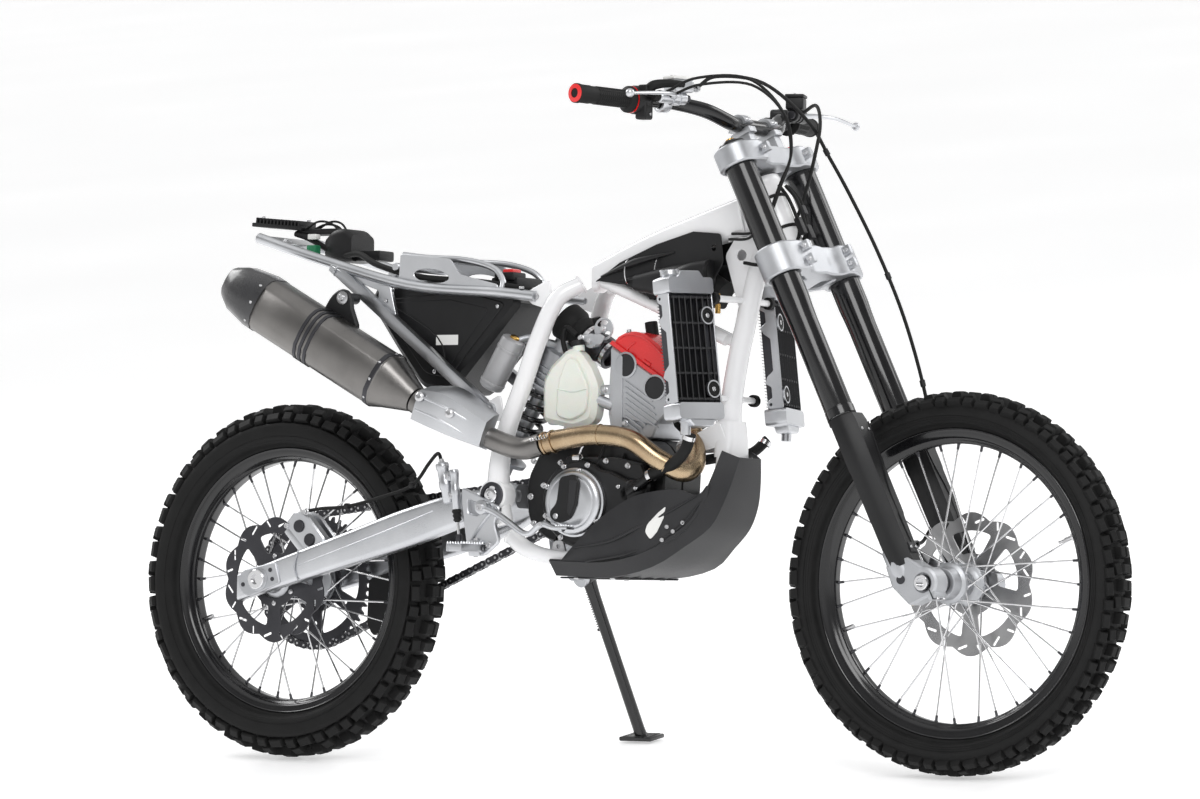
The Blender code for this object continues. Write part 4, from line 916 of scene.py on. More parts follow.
def fork():
    """Upper tubes, sliders, guards, lugs and the axle."""
    for name, side in SIDES:
        place = STEER_FRAME @ at(side * FORK_SPREAD, -CLAMP_OFFSET, 0)
        piece = Piece("fork_tube_gloss_" + name, "steering", "black_gloss_paint", GLOSS_BLACK)
        profile = [(0.0250, 0.0195), (0.0285, 0.0150), (0.0285, 0.004), (0.0283, -0.185),
                   (0.0285, -0.255), (0.0285, -0.300), (0.0272, -0.322), (0.0265, -0.345),
                   (0.0265, -0.516), (0.0262, -0.517), (0.0262, -0.519), (0.0275, -0.520),
                   (0.0275, -0.535), (0.0240, -0.535)]
        piece.add(lathe(profile, 56), place)
        piece.use(DARK)
        piece.add(lathe([(0.0245, 0.0185), (0.0225, 0.0205), (0.0165, 0.0215), (0.016, 0.0235), (0, 0.0235)],
                        40), place)
        piece.add(hexagon(0.0150, 0.006), place @ at(0, 0, 0.0200))
        piece.use(GOLD if side < 0 else RED)
        piece.add(lathe([(0.0085, 0), (0.0085, 0.0030), (0.0075, 0.0040), (0.0035, 0.0040), (0.003, 0.002),
                         (0, 0.002)], 24), place @ at(0, 0, 0.0255))
        piece.done("fork_tube_" + name)

        piece = Piece("fork_leg_guarded_" + name, "steering", "black_plastic", PLASTIC)
        outline = [(-0.0345, 0.011), (-0.0375, -0.004), (-0.0350, -0.018), (-0.0200, -0.0345),
                   (0.0200, -0.0345), (0.0350, -0.018), (0.0375, -0.004), (0.0345, 0.011),
                   (0.0320, 0.011), (0.0345, -0.004), (0.0325, -0.016), (0.0185, -0.0315),
                   (-0.0185, -0.0315), (-0.0325, -0.016), (-0.0345, -0.004), (-0.0320, 0.011)]
        levels = ((-0.541, 0.90, 0.92), (-0.556, 0.97, 1.0), (-0.640, 0.97, 1.0), (-0.648, 0.92, 0.98),
                  (-0.740, 0.90, 0.98), (-0.748, 0.85, 0.95), (-0.800, 0.80, 0.94), (-0.836, 0.68, 0.90))
        rings = [[(px * wide, py * deep, level) for px, py in outline] for level, wide, deep in levels]
        piece.add(skin(rings), place)
        crease = [(-0.0205 * side, -0.0352, -0.560), (-0.012 * side, -0.0352, -0.640),
                  (0.002 * side, -0.0345, -0.700), (-0.004 * side, -0.0330, -0.815)]
        piece.pipe([place @ Vector(point) for point in crease], 0.0011, sides=6, steps=3)
        piece.use(GREY)
        for level, wide in ((-0.575, 0.026), (-0.810, 0.018)):
            piece.add(brick((wide * 1.3, 0.0035, 0.020), 0.0015), place @ at(0, -0.0325, level))
        piece.use(BOLT)
        for level, wide in ((-0.575, 0.012), (-0.810, 0.008)):
            for sign in (-1, 1):
                piece.bolt(place @ Vector((sign * wide, -0.0342, level)), -STEER_BACK, 0.0030, UNIT_CAP)
        piece.use(CHROME)
        piece.add(lathe([(0.0180, -0.520), (0.0235, -0.520), (0.0235, -0.815), (0.018, -0.815)], 40), place)
        piece.use(RUBBER)
        piece.add(lathe([(0.0240, -0.5355), (0.0272, -0.5365), (0.0272, -0.5445), (0.0240, -0.5475)], 40,
                        ring=True), place)
        piece.use(CAST)
        piece.add(lathe([(0.0235, -0.795), (0.0262, -0.800), (0.0262, -0.842), (0.0200, -0.872)], 36), place)
        lug_outline = [(-0.044, -0.822), (0.000, -0.822), (0.0035, -0.862), (-0.016, -0.908)]
        lug_outline += arc((-AXLE_LEAD, -AXLE_DROP), 0.0285, 285, 110, 14)
        lug = STEER_FRAME @ at(side * FORK_SPREAD, 0, 0) @ SIDEWAYS
        bore = [circle((-AXLE_LEAD, -AXLE_DROP), 0.0145, 28)]
        piece.add(slab(eased(lug_outline, 0.004), 0.0445, bore, 0.004), lug)
        split = STEER_FRAME @ at(side * FORK_SPREAD, -AXLE_LEAD - 0.006, -AXLE_DROP - 0.026)
        piece.add(brick((0.043, 0.016, 0.018), 0.003), split)
        piece.use(DARK)
        piece.add(brick((0.0455, 0.0022, 0.024), 0.0004), split @ at(0, -0.001, 0.002))
        piece.add(lathe([(0.0085, 0), (0.0085, 0.0012), (0, 0.0012)], 24),
                  facing((side, 0, 0), steer(side * (FORK_SPREAD + 0.0222), 0.858, 0.020)))
        piece.use(BOLT)
        for reach in (-0.011, 0.011):
            spot = steer(side * FORK_SPREAD + reach, AXLE_DROP + 0.0345, AXLE_LEAD + 0.010)
            piece.bolt(spot, -STEER_UP, 0.0042, UNIT_CAP)
        piece.use(GOLD)
        piece.add(lathe([(0.0095, 0), (0.0095, 0.006), (0.0070, 0.0075), (0.0070, 0.0125), (0, 0.0125)], 24),
                  facing(-STEER_UP, steer(side * FORK_SPREAD, 0.892, CLAMP_OFFSET - 0.004)))
        piece.done("fork_leg_" + name)

    piece = Piece("front_axle_ground", "steering", "steel", CHROME)
    profile = [(0.0142, 0.137), (0.0150, 0.136), (0.0150, 0.1292), (0.0100, 0.1290), (0.0100, -0.1290),
               (0.0140, -0.1292), (0.0140, -0.1345), (0.0125, -0.1360), (0.0085, -0.1360), (0.0085, -0.1240),
               (0.0, -0.1240)]
    piece.add(lathe(profile, 48), FRONT_FRAME)
    piece.add(hexagon(0.0105, 0.0045), FRONT_FRAME @ at(0, 0, 0.1335))
    piece.use(DARK)
    for side in (-1, 1):
        piece.add(lathe([(0.0112, side * 0.0605), (0.0190, side * 0.0605), (0.0190, side * 0.0810),
                         (0.0112, side * 0.0815)], 40, ring=True), FRONT_FRAME)
    piece.done("front_axle")


BAR_HALF = [(0.05, 0, 0), (0.085, -0.285, 1.185), (0.130, -0.262, 1.203), (0.185, -0.228, 1.213),
            (0.235, -0.205, 1.2135), (0.275, -0.192, 1.2135), (0.402, -0.1635, 1.2155)]


def bar_seat(side):
    """Where a control clamps on the bar, and the bar's direction there, outwards."""
    return Vector((side * 0.205, -0.219, 1.2135)), Vector((side * 0.055, 0.024, 0)).normalized()


def handlebar():
    """The tapered bar and the two grips."""
    centre = steer(0, -0.0622, 0.023)
    half = [Vector((0.03, centre.y, centre.z)), Vector((0.062, centre.y + 0.001, centre.z + 0.001))]
    half += [Vector(point) for point in BAR_HALF[1:]]
    path = [Vector((-p.x, p.y, p.z)) for p in reversed(half)] + half
    size = [0.0142, 0.0142, 0.0142, 0.0140, 0.0124, 0.0112, 0.0111, 0.0111]
    piece = Piece("handlebar_tapered", "steering", "black_gloss_paint", GLOSS_BLACK)
    piece.pipe(path, size[::-1] + size, sides=28, steps=6)
    piece.done("handlebar")
    for name, side in SIDES:
        inner = Vector((side * 0.275, -0.192, 1.2135))
        outer = Vector((side * 0.402, -0.1635, 1.2155))
        way = (outer - inner).normalized()
        length = (outer - inner).length
        place = facing(way, inner)
        piece = Piece("grip_ribbed_" + name, "steering", "rubber", RUBBER)
        profile = [(0.0113, 0.0), (0.0235, 0.0), (0.0245, 0.0012), (0.0245, 0.0045), (0.0180, 0.0085)]
        ribs = 15
        for index in range(ribs):
            level = 0.011 + index * 0.0052
            profile += [(0.0158, level), (0.0166, level + 0.0010), (0.0166, level + 0.0030),
                        (0.0158, level + 0.0040)]
        profile += [(0.0160, length - 0.030), (0.0168, length - 0.026), (0.0168, length - 0.001),
                    (0.0180, length), (0.0180, length + 0.006), (0.0150, length + 0.008),
                    (0.0, length + 0.008)]
        piece.add(lathe(profile, 40), place)
        for index in range(10):
            spin = place @ Matrix.Rotation(math.tau * index / 10, 4, "Z")
            piece.add(brick((0.0014, 0.0030, 0.078), 0.0006), spin @ at(0.0162, 0, 0.050))
        if side < 0:
            piece.use(RED)
            piece.add(lathe([(0.0, 0.0), (0.0168, 0.0), (0.0172, 0.001), (0.0165, 0.0045), (0.009, 0.0055),
                             (0.0085, 0.004), (0, 0.004)], 36), place @ at(0, 0, length + 0.0035))
            piece.add(washer(0.0120, 0.0248, 0, 0.0035, 40),
                      place @ at(0, 0, -0.0040))
        piece.done("grip_" + name)


def lever(piece, seat, side, reach):
    """A forged lever with a ball end."""
    points = [seat + Vector((side * 0.020, -0.034, 0.006)), seat + Vector((side * 0.038, -0.046, 0.008)),
              seat + Vector((side * 0.062, -0.060, 0.008)), seat + Vector((side * 0.090, -0.0645, 0.007)),
              seat + Vector((side * 0.125, -0.061, 0.005)), seat + Vector((side * reach, -0.0520, 0.000))]
    piece.use(BRUSHED)
    piece.pipe(points, [0.0085, 0.0078, 0.0062, 0.0056, 0.0056, 0.0048], sides=14, steps=6, flat=0.62)
    end = points[-1]
    ball = [(0.0080 * math.sin(math.radians(a)), -0.0080 * math.cos(math.radians(a)))
            for a in range(0, 181, 15)]
    piece.add(lathe(ball, 20), Matrix.Translation(end + Vector((side * 0.004, 0.0005, 0))))
    piece.use(BOLT)
    pivot = seat + Vector((side * 0.022, -0.038, 0.0145))
    piece.bolt(pivot, (0, 0, 1), 0.0055, UNIT_CAP)


def controls():
    """Brake master with the throttle housing, and clutch master with the switches."""
    for side in (-1, 1):
        seat, way = bar_seat(side)
        right = side < 0
        name = "brake_master_cast" if right else "clutch_master_cast"
        node = "brake_master_cylinder" if right else "clutch_master_cylinder"
        shell = ALUMINIUM if right else PLASTIC
        piece = Piece(name, "steering", "aluminium" if right else "black_plastic", shell)
        band = facing(way, seat - way * 0.010)
        piece.add(eased_washer(0.0122, 0.0195, 0, 0.020, 36, 0.002), band)
        piece.add(brick((0.013, 0.030, 0.018), 0.003), Matrix.Translation(seat + Vector((0, -0.020, 0.002))))
        cylinder = [seat + Vector((-side * 0.016, -0.036, 0.006)),
                    seat + Vector((side * 0.050, -0.0215, 0.006))]
        piece.rod(cylinder[0], cylinder[1], 0.0115, 28, 0.002)
        for share in (0.25, 0.5):
            spot = cylinder[0].lerp(cylinder[1], share)
            ring = [(0.0110, -0.0015), (0.0130, -0.0015), (0.0130, 0.0015), (0.0110, 0.0015)]
            piece.add(lathe(ring, 28, ring=True), facing(cylinder[1] - cylinder[0], spot))
        tank = Matrix.Translation(seat + Vector((0, -0.034, 0.028))) @ Matrix.Rotation(side * 0.4, 4, "Z")
        piece.add(brick((0.046, 0.034, 0.024), 0.005, 3), tank)
        piece.use(LABEL if right else PLASTIC)
        piece.add(brick((0.048, 0.036, 0.006), 0.002), tank @ at(0, 0, 0.0145))
        piece.use(BOLT)
        for reach in (-0.016, 0.016):
            piece.bolt(tank @ Vector((reach, 0, 0.0175)), (0, 0, 1), 0.0026, UNIT_DOME)
        piece.bolt(seat + Vector((0, -0.0205, 0.0110)), (0, 0, 1), 0.003, UNIT_CAP)
        piece.use(DARK)
        piece.rod(cylinder[0] - (cylinder[1] - cylinder[0]).normalized() * 0.010, cylinder[0], 0.0075)
        piece.use(RUBBER)
        boot = [(0.0085, 0), (0.0100, 0.003), (0.0078, 0.006), (0.0092, 0.009), (0.0068, 0.012), (0.0, 0.012)]
        piece.add(lathe(boot, 20), facing(cylinder[1] - cylinder[0], cylinder[1]))
        lever(piece, seat, side, 0.186)
        piece.done(node)

    seat, way = bar_seat(-1)
    piece = Piece("throttle_housing", "steering", "black_plastic", PLASTIC)
    inner = Vector((-0.275, -0.192, 1.2135))
    place = facing(way, inner - way * 0.033)
    shell = eased([(0.0120, 0), (0.0245, 0), (0.0265, 0.012), (0.0260, 0.0270), (0.0120, 0.0280)], 0.002)
    piece.add(lathe(shell, 40, ring=True), place)
    piece.add(brick((0.026, 0.024, 0.040), 0.005, 3),
              Matrix.Translation(inner - way * 0.020 + Vector((0, -0.012, -0.016))))
    piece.add(brick((0.030, 0.020, 0.022), 0.004, 3),
              Matrix.Translation(inner - way * 0.019 + Vector((0, -0.018, 0.016))))
    piece.use(RUBBER)
    boots = [inner - way * 0.020 + Vector((0, -0.020, 0.016)), inner - way * 0.006
             + Vector((0.010, -0.040, 0.026)), inner + Vector((0.034, -0.062, 0.030)),
             inner + Vector((0.060, -0.078, 0.030))]
    piece.pipe(boots, [0.0105, 0.0090, 0.0075, 0.0058], sides=16)
    piece.use(BOLT)
    for height in (0.012, -0.026):
        piece.bolt(inner - way * 0.020 + Vector((0.0, -0.0245, height)), (0, -1, 0), 0.0028, UNIT_CAP)
    piece.done()

    seat, way = bar_seat(1)
    piece = Piece("switch_pod", "steering", "black_plastic", PLASTIC)
    spot = Vector((0.158, -0.245, 1.2085))
    pod = facing((0.05, 0.030, 0.008), spot)
    piece.add(brick((0.034, 0.038, 0.032), 0.006, 3), pod)
    piece.add(brick((0.022, 0.020, 0.024), 0.004, 3), pod @ at(0.018, -0.006, 0))
    piece.use(RED)
    piece.add(lathe([(0.0065, 0), (0.0065, 0.0035), (0.0055, 0.0045), (0, 0.0045)], 20),
              pod @ at(0, -0.019, 0.004) @ turn(90, "X"))
    piece.use(GREY)
    piece.add(brick((0.010, 0.005, 0.012), 0.0015), pod @ at(0.003, -0.0205, -0.008))
    piece.done()


def front_brake():
    """The front caliper on its bracket."""
    piece = Piece("front_caliper_cast", "steering", "dark_steel", DARK)
    for x, wide in ((0.0388, 0.009), (0.0592, 0.0115)):
        outline = eased([(-0.030 + 0.056, -0.868), (0.058, -0.862), (0.062, -0.800), (0.046, -0.776),
                         (0.018, -0.780), (0.008, -0.812), (0.012, -0.850)], 0.006)
        piece.add(slab(outline, wide, (), 0.002), STEER_FRAME @ at(x, 0, 0) @ SIDEWAYS)
    piece.add(brick((0.034, 0.013, 0.046), 0.004), STEER_FRAME @ at(0.0495, 0.0680, -0.7990))
    bracket = eased([(0.002, -0.856), (0.040, -0.862), (0.052, -0.790), (0.014, -0.782), (-0.004, -0.812)],
                    0.005)
    piece.use(CAST)
    piece.add(slab(bracket, 0.014, [circle((0.024, -0.826), 0.008, 20)], 0.0015),
              STEER_FRAME @ at(0.0735, 0, 0) @ SIDEWAYS)
    piece.use(BOLT)
    for y, z in ((0.012, -0.846), (0.030, -0.795)):
        piece.bolt(STEER_FRAME @ Vector((0.0805, y, z)), (1, 0, 0), 0.0052)
    for y, z in ((0.020, -0.838), (0.044, -0.806)):
        piece.add(lathe([(0.0105, 0), (0.0105, 0.0015), (0.009, 0.003), (0, 0.003)], 28),
                  STEER_FRAME @ at(0.0343, y, z) @ turn(-90, "Y"))
    piece.use(RUBBER)
    piece.add(brick((0.004, 0.030, 0.044), 0.001), STEER_FRAME @ at(0.0440, 0.034, -0.822))
    piece.done("front_caliper")


def front_hose():
    """The front brake hose with its banjo fittings and clips."""
    path = [(-0.170, -0.268, 1.240), (-0.150, -0.300, 1.262), (-0.060, -0.345, 1.255),
            (0.050, -0.372, 1.195), (0.110, -0.385, 1.130), (0.128, -0.420, 1.060),
            (0.142, -0.470, 0.960), (0.148, -0.520, 0.850), (0.148, -0.560, 0.740),
            (0.148, -0.586, 0.640), (0.148, -0.598, 0.545), (0.142, -0.602, 0.475),
            (0.110, -0.598, 0.428), (0.060, -0.6090, 0.418)]
    piece = Piece("front_brake_line", "steering", "rubber", RUBBER)
    piece.pipe(path, 0.0034, sides=14, steps=8)
    made = piece.done("front_brake_hose")
    run = flowing(path, 8)
    piece = Piece("front_brake_fittings", "steering", "black_plastic", PLASTIC)
    for share in (0.30, 0.52, 0.70):
        spot = spread(run, 101)[int(share * 100)]
        after = spread(run, 101)[int(share * 100) + 1]
        piece.add(washer(0.0034, 0.0052, -0.006, 0.006, 16),
                  facing(after - spot, spot))
    piece.use(BOLT)
    for spot, way in ((Vector(path[0]), (1, 0.3, 0)), (Vector(path[-1]), (0.2, 1, 0))):
        piece.add(washer(0.004, 0.0075, -0.004, 0.004, 20),
                  facing(way, spot))
        piece.bolt(spot + Vector(way).normalized() * 0.004, way, 0.0050)
    fittings = piece.done()


# ---- frame ------------------------------------------------------------------------------------
def oblong(low_x, high_x, low_z, high_z, y, radius):
    """A rounded rectangle in the XZ plane at y, as a ring of points."""
    made = []
    corners = ((high_x - radius, high_z - radius, 0), (low_x + radius, high_z - radius, 90),
               (low_x + radius, low_z + radius, 180), (high_x - radius, low_z + radius, 270))
    for x, z, start in corners:
        made += [(px, y, pz) for px, pz in arc((x, z), radius, start, start + 90, CORNER_POINTS)]
    return made


def between(rings, steps):
    """Rings with smooth ones added between the given ones."""
    lines = [flowing(points, steps) for points in zip(*rings)]
    return [list(ring) for ring in zip(*lines)]


def collar(piece, centre, way, radius, tube_radius):
    """A weld bead round a tube."""
    place = facing(way, centre)
    ring = [place @ Vector((radius * math.cos(a), radius * math.sin(a), 0))
            for a in (math.tau * i / 12 for i in range(13))]
    piece.weld(ring, tube_radius)


def frame_tubes():
    """Head tube, backbone, struts, downtube, cradles and uprights, with gussets and welds."""
    piece = Piece("frame_spine_welded", "chassis", "white_paint", WHITE)
    head = [(0.0160, -0.036), (0.0300, -0.036), (0.0312, -0.038), (0.0312, -0.050), (0.0275, -0.056),
            (0.0275, -0.168), (0.0312, -0.174), (0.0312, -0.187), (0.0300, -0.189), (0.0160, -0.189)]
    piece.add(lathe(head, 56, ring=True), STEER_FRAME)
    rings = [oblong(-0.027, 0.027, 0.985, 1.066, -0.312, 0.012),
             oblong(-0.025, 0.025, 0.975, 1.046, -0.250, 0.013),
             oblong(-0.022, 0.022, 0.930, 0.990, -0.077, 0.014),
             oblong(-0.026, 0.026, 0.882, 0.936, 0.046, 0.014)]
    piece.add(skin(between(rings, 6)))
    for _, side in SIDES:
        piece.pipe(sided(side, [(0.016, 0.034, 0.905), (0.013, -0.105, 0.848), (0.010, -0.243, 0.790)]),
                   0.0115, sides=20, steps=3)
        collar(piece, (side * 0.016, 0.028, 0.9025), (0, -0.138, -0.057), 0.0118, 0.0022)
        plate = eased([(-0.150, 0.872), (-0.092, 0.900), (-0.096, 0.930), (-0.190, 0.958)], 0.006)
        piece.side_slab(plate, side * 0.0195, side * 0.0225, [circle((-0.130, 0.915), 0.011)])
    for _, side in SIDES:
        piece.weld(sided(side, [(0.0268, -0.288, 0.985), (0.0285, -0.282, 1.010), (0.0285, -0.277, 1.040),
                                (0.020, -0.272, 1.060)]), 0.0026)
    piece.use(DARK)
    for level in (-0.0345, -0.1905):
        piece.add(washer(0.0165, 0.0290, level - 0.0013, level + 0.0013, 40), STEER_FRAME)
    piece.done("frame_spine")

    piece = Piece("frame_downtube_welded", "chassis", "white_paint", WHITE)
    path = [(0, -0.318, 0.975), (0, -0.305, 0.935), (0, -0.290, 0.880), (0, -0.277, 0.820),
            (0, -0.263, 0.762), (0, -0.249, 0.680), (0, -0.244, 0.612)]
    piece.pipe(path, [0.0170, 0.0195, 0.0195, 0.0195, 0.0195, 0.0200, 0.0240], sides=32, steps=6)
    foot = [oblong(-0.030, 0.030, -0.020, 0.020, 0.0, 0.013),
            oblong(-0.034, 0.034, -0.022, 0.020, 0.034, 0.013),
            oblong(-0.040, 0.040, -0.020, 0.016, 0.066, 0.012)]
    piece.add(skin(between(foot, 4)), at(0, -0.248, 0.640) @ turn(-90, "X"))
    for _, side in SIDES:
        gusset = eased([(-0.318, 0.975), (-0.262, 0.978), (-0.240, 0.945), (-0.272, 0.845),
                        (-0.290, 0.850)], 0.006)
        piece.side_slab(gusset, side * 0.0140, side * 0.0170, [circle((-0.276, 0.945), 0.010)])
        for z in (0.682, 0.862):
            y = -0.262 - (z - 0.762) * 0.16
            piece.rod((side * 0.016, y, z), (side * 0.098, y + 0.012, z), 0.0062, 16)
            piece.use(RUBBER).rod((side * 0.090, y + 0.011, z), (side * 0.102, y + 0.012, z), 0.0115,
                                  20).use(WHITE)
        mount = eased([(-0.244, 0.640), (-0.205, 0.622), (-0.150, 0.600), (-0.152, 0.582), (-0.212, 0.585),
                       (-0.262, 0.598)], 0.006)
        piece.side_slab(mount, side * 0.030, side * 0.034, [circle((-0.195, 0.602), 0.009)])
        piece.use(BOLT).bolt((side * 0.034, -0.160, 0.591), (side, 0, 0), 0.0062).use(WHITE)
    piece.done("frame_downtube")

    for name, side in SIDES:
        piece = Piece("frame_cradle_bent_" + name, "chassis", "white_paint", WHITE)
        piece.pipe(sided(side, [(0.016, -0.246, 0.600), (0.042, -0.253, 0.540), (0.066, -0.228, 0.470),
                                (0.086, -0.180, 0.415), (0.098, -0.100, 0.388), (0.108, 0.050, 0.386),
                                (0.113, 0.120, 0.400), (0.114, 0.158, 0.428)]),
                   [0.0150, 0.0130, 0.0127, 0.0127, 0.0127, 0.0135, 0.0155, 0.0165], sides=24)
        collar(piece, (side * 0.114, 0.156, 0.4265), (0, 0.038, 0.030), 0.0168, 0.0024)
        for y in (-0.060, 0.070):
            piece.side_slab(eased([(y - 0.018, 0.392), (y + 0.018, 0.392), (y + 0.010, 0.418),
                                   (y - 0.010, 0.418)], 0.004), side * 0.082, side * 0.088,
                            [circle((y, 0.408), 0.004)])
        piece.done("frame_cradle_" + name)

        piece = Piece("frame_upright_forged_" + name, "chassis", "white_paint", WHITE)
        piece.pipe(sided(side, [(0.049, 0.052, 0.896), (0.078, 0.088, 0.866), (0.094, 0.118, 0.790),
                                (0.101, 0.142, 0.715), (0.109, 0.171, 0.632), (0.115, 0.184, 0.570),
                                (0.115, 0.187, 0.501), (0.114, 0.174, 0.448)]),
                   [0.0150, 0.0165, 0.0172, 0.0172, 0.0180, 0.0190, 0.0215, 0.0180], sides=28)
        piece.add(drum(0.030, 0, 0.036, 48, 0.003),
                  facing((side, 0, 0), (side * 0.097, PIVOT.y, PIVOT.z)))
        collar(piece, (side * 0.050, 0.053, 0.8955), (side * 0.029, 0.036, -0.030), 0.0158, 0.0024)
        tab = eased([(0.190, 0.690), (0.232, 0.668), (0.226, 0.640), (0.180, 0.640)], 0.007)
        piece.side_slab(tab, side * 0.1060, side * 0.1110, [circle((0.213, 0.657), 0.0055)])
        tab = eased([(0.100, 0.905), (0.150, 0.882), (0.146, 0.860), (0.096, 0.845)], 0.008)
        piece.side_slab(tab, side * 0.0800, side * 0.0850, [circle((0.130, 0.872), 0.0055)])
        piece.use(DARK)
        ring = [(0, 0), (0.0245, 0), (0.0245, 0.0030), (0.0225, 0.0045), (0.0175, 0.0045), (0.0165, 0.0022),
                (0, 0.0022)]
        piece.add(lathe(ring, 44), facing((side, 0, 0), (side * 0.1330, PIVOT.y, PIVOT.z)))
        piece.use(CHROME)
        nut = [(0, 0), (0.0135, 0), (0.0135, 0.0045), (0.0115, 0.0060), (0.0065, 0.0060), (0.0055, 0.0030),
               (0, 0.0030)]
        piece.add(lathe(nut, 32), facing((side, 0, 0), (side * 0.1350, PIVOT.y, PIVOT.z)))
        piece.use(BOLT)
        piece.bolt((side * 0.1110, 0.213, 0.657), (side, 0, 0), 0.0058, UNIT_CAP)
        piece.bolt((side * 0.0855, 0.130, 0.872), (side, 0, 0), 0.0058, UNIT_CAP)
        piece.done("frame_upright_" + name)


def subframe():
    """Alloy rails, flat struts, gussets, the tray with its loop and the tail bridge."""
    for name, side in SIDES:
        piece = Piece("subframe_alloy_" + name, "chassis", "aluminium", ALUMINIUM)
        rail = sided(side, [(0.088, 0.130, 0.872), (0.090, 0.214, 0.881), (0.094, 0.410, 0.897),
                            (0.098, 0.610, 0.948), (0.092, 0.765, 0.994)])
        piece.pipe(rail, 0.0112, sides=20, steps=6, flat=0.9)
        start, end = Vector((side * 0.1125, 0.212, 0.660)), Vector((side * 0.0975, 0.585, 0.938))
        strut = facing(end - start, start.lerp(end, 0.5))
        piece.add(brick((0.019, 0.023, (end - start).length), 0.0035), strut)
        collar(piece, start.lerp(end, 0.965), end - start, 0.0125, 0.0022)
        eye = facing((side, 0, 0), start - Vector((side * 0.0075, 0, 0)))
        piece.add(drum(0.0145, 0, 0.015, 28, 0.002),
                  eye)
        gusset = eased([(0.455, 0.838), (0.448, 0.893), (0.468, 0.905), (0.592, 0.938), (0.575, 0.924)],
                       0.004)
        hole = eased([(0.480, 0.862), (0.478, 0.888), (0.548, 0.912)], 0.004)
        piece.side_slab(gusset, side * 0.0890, side * 0.0990, [hole])
        piece.side_slab(eased([(0.432, 0.822), (0.452, 0.896), (0.482, 0.900), (0.466, 0.848)], 0.003),
                        side * 0.0905, side * 0.1000, [circle((0.460, 0.868), 0.0042)])
        rail_plate = eased([(0.440, 0.902), (0.436, 0.958), (0.322, 0.946), (0.300, 0.916), (0.214, 0.896),
                            (0.214, 0.880), (0.310, 0.884)], 0.005)
        oval = [(0.365 + 0.040 * math.cos(a), 0.914 + 0.013 * math.sin(a) + 0.004 * math.cos(a))
                for a in (math.tau * i / 24 for i in range(24))]
        piece.side_slab(rail_plate, side * 0.0860, side * 0.0900, [oval])
        loop = sided(side, [(0.080, 0.436, 0.956), (0.074, 0.386, 0.950), (0.068, 0.300, 0.944),
                            (0.066, 0.240, 0.928), (0.070, 0.216, 0.905), (0.078, 0.212, 0.888)])
        piece.pipe(loop, 0.0060, sides=14)
        piece.weld(sided(side, [(0.1060, 0.560, 0.925), (0.1070, 0.580, 0.935), (0.1050, 0.600, 0.946)]))
        piece.use(BOLT)
        piece.bolts([(side * 0.1005, 0.460, 0.868)], (side, 0, 0), 0.0034, UNIT_CAP)
        piece.bolt(start + Vector((side * 0.0075, 0, 0)), (side, 0, 0), 0.0072)
        piece.bolt((side * 0.0895, 0.160, 0.8865), (0, 0, 1), 0.0050, UNIT_CAP)
        if side > 0:
            piece.use(ALUMINIUM)
            bridge = at(0.005, 0.735, 0.985) @ turn(16, "X")
            piece.add(slab(eased([(-0.087, -0.030), (0.087, -0.030), (0.080, 0.030), (-0.080, 0.030)],
                                 0.008), 0.0125, [circle((x, 0.0), 0.008) for x in (-0.045, 0.045)]),
                      bridge)
            piece.rod((-0.084, 0.452, 0.934), (0.084, 0.452, 0.934), 0.0075, 18)
            piece.use(BOLT)
            piece.bolts([bridge @ Vector((x, -0.012, 0.0062)) for x in (-0.070, 0.070)], bridge.col[2].xyz,
                        0.0042)
        piece.done("subframe_" + name)


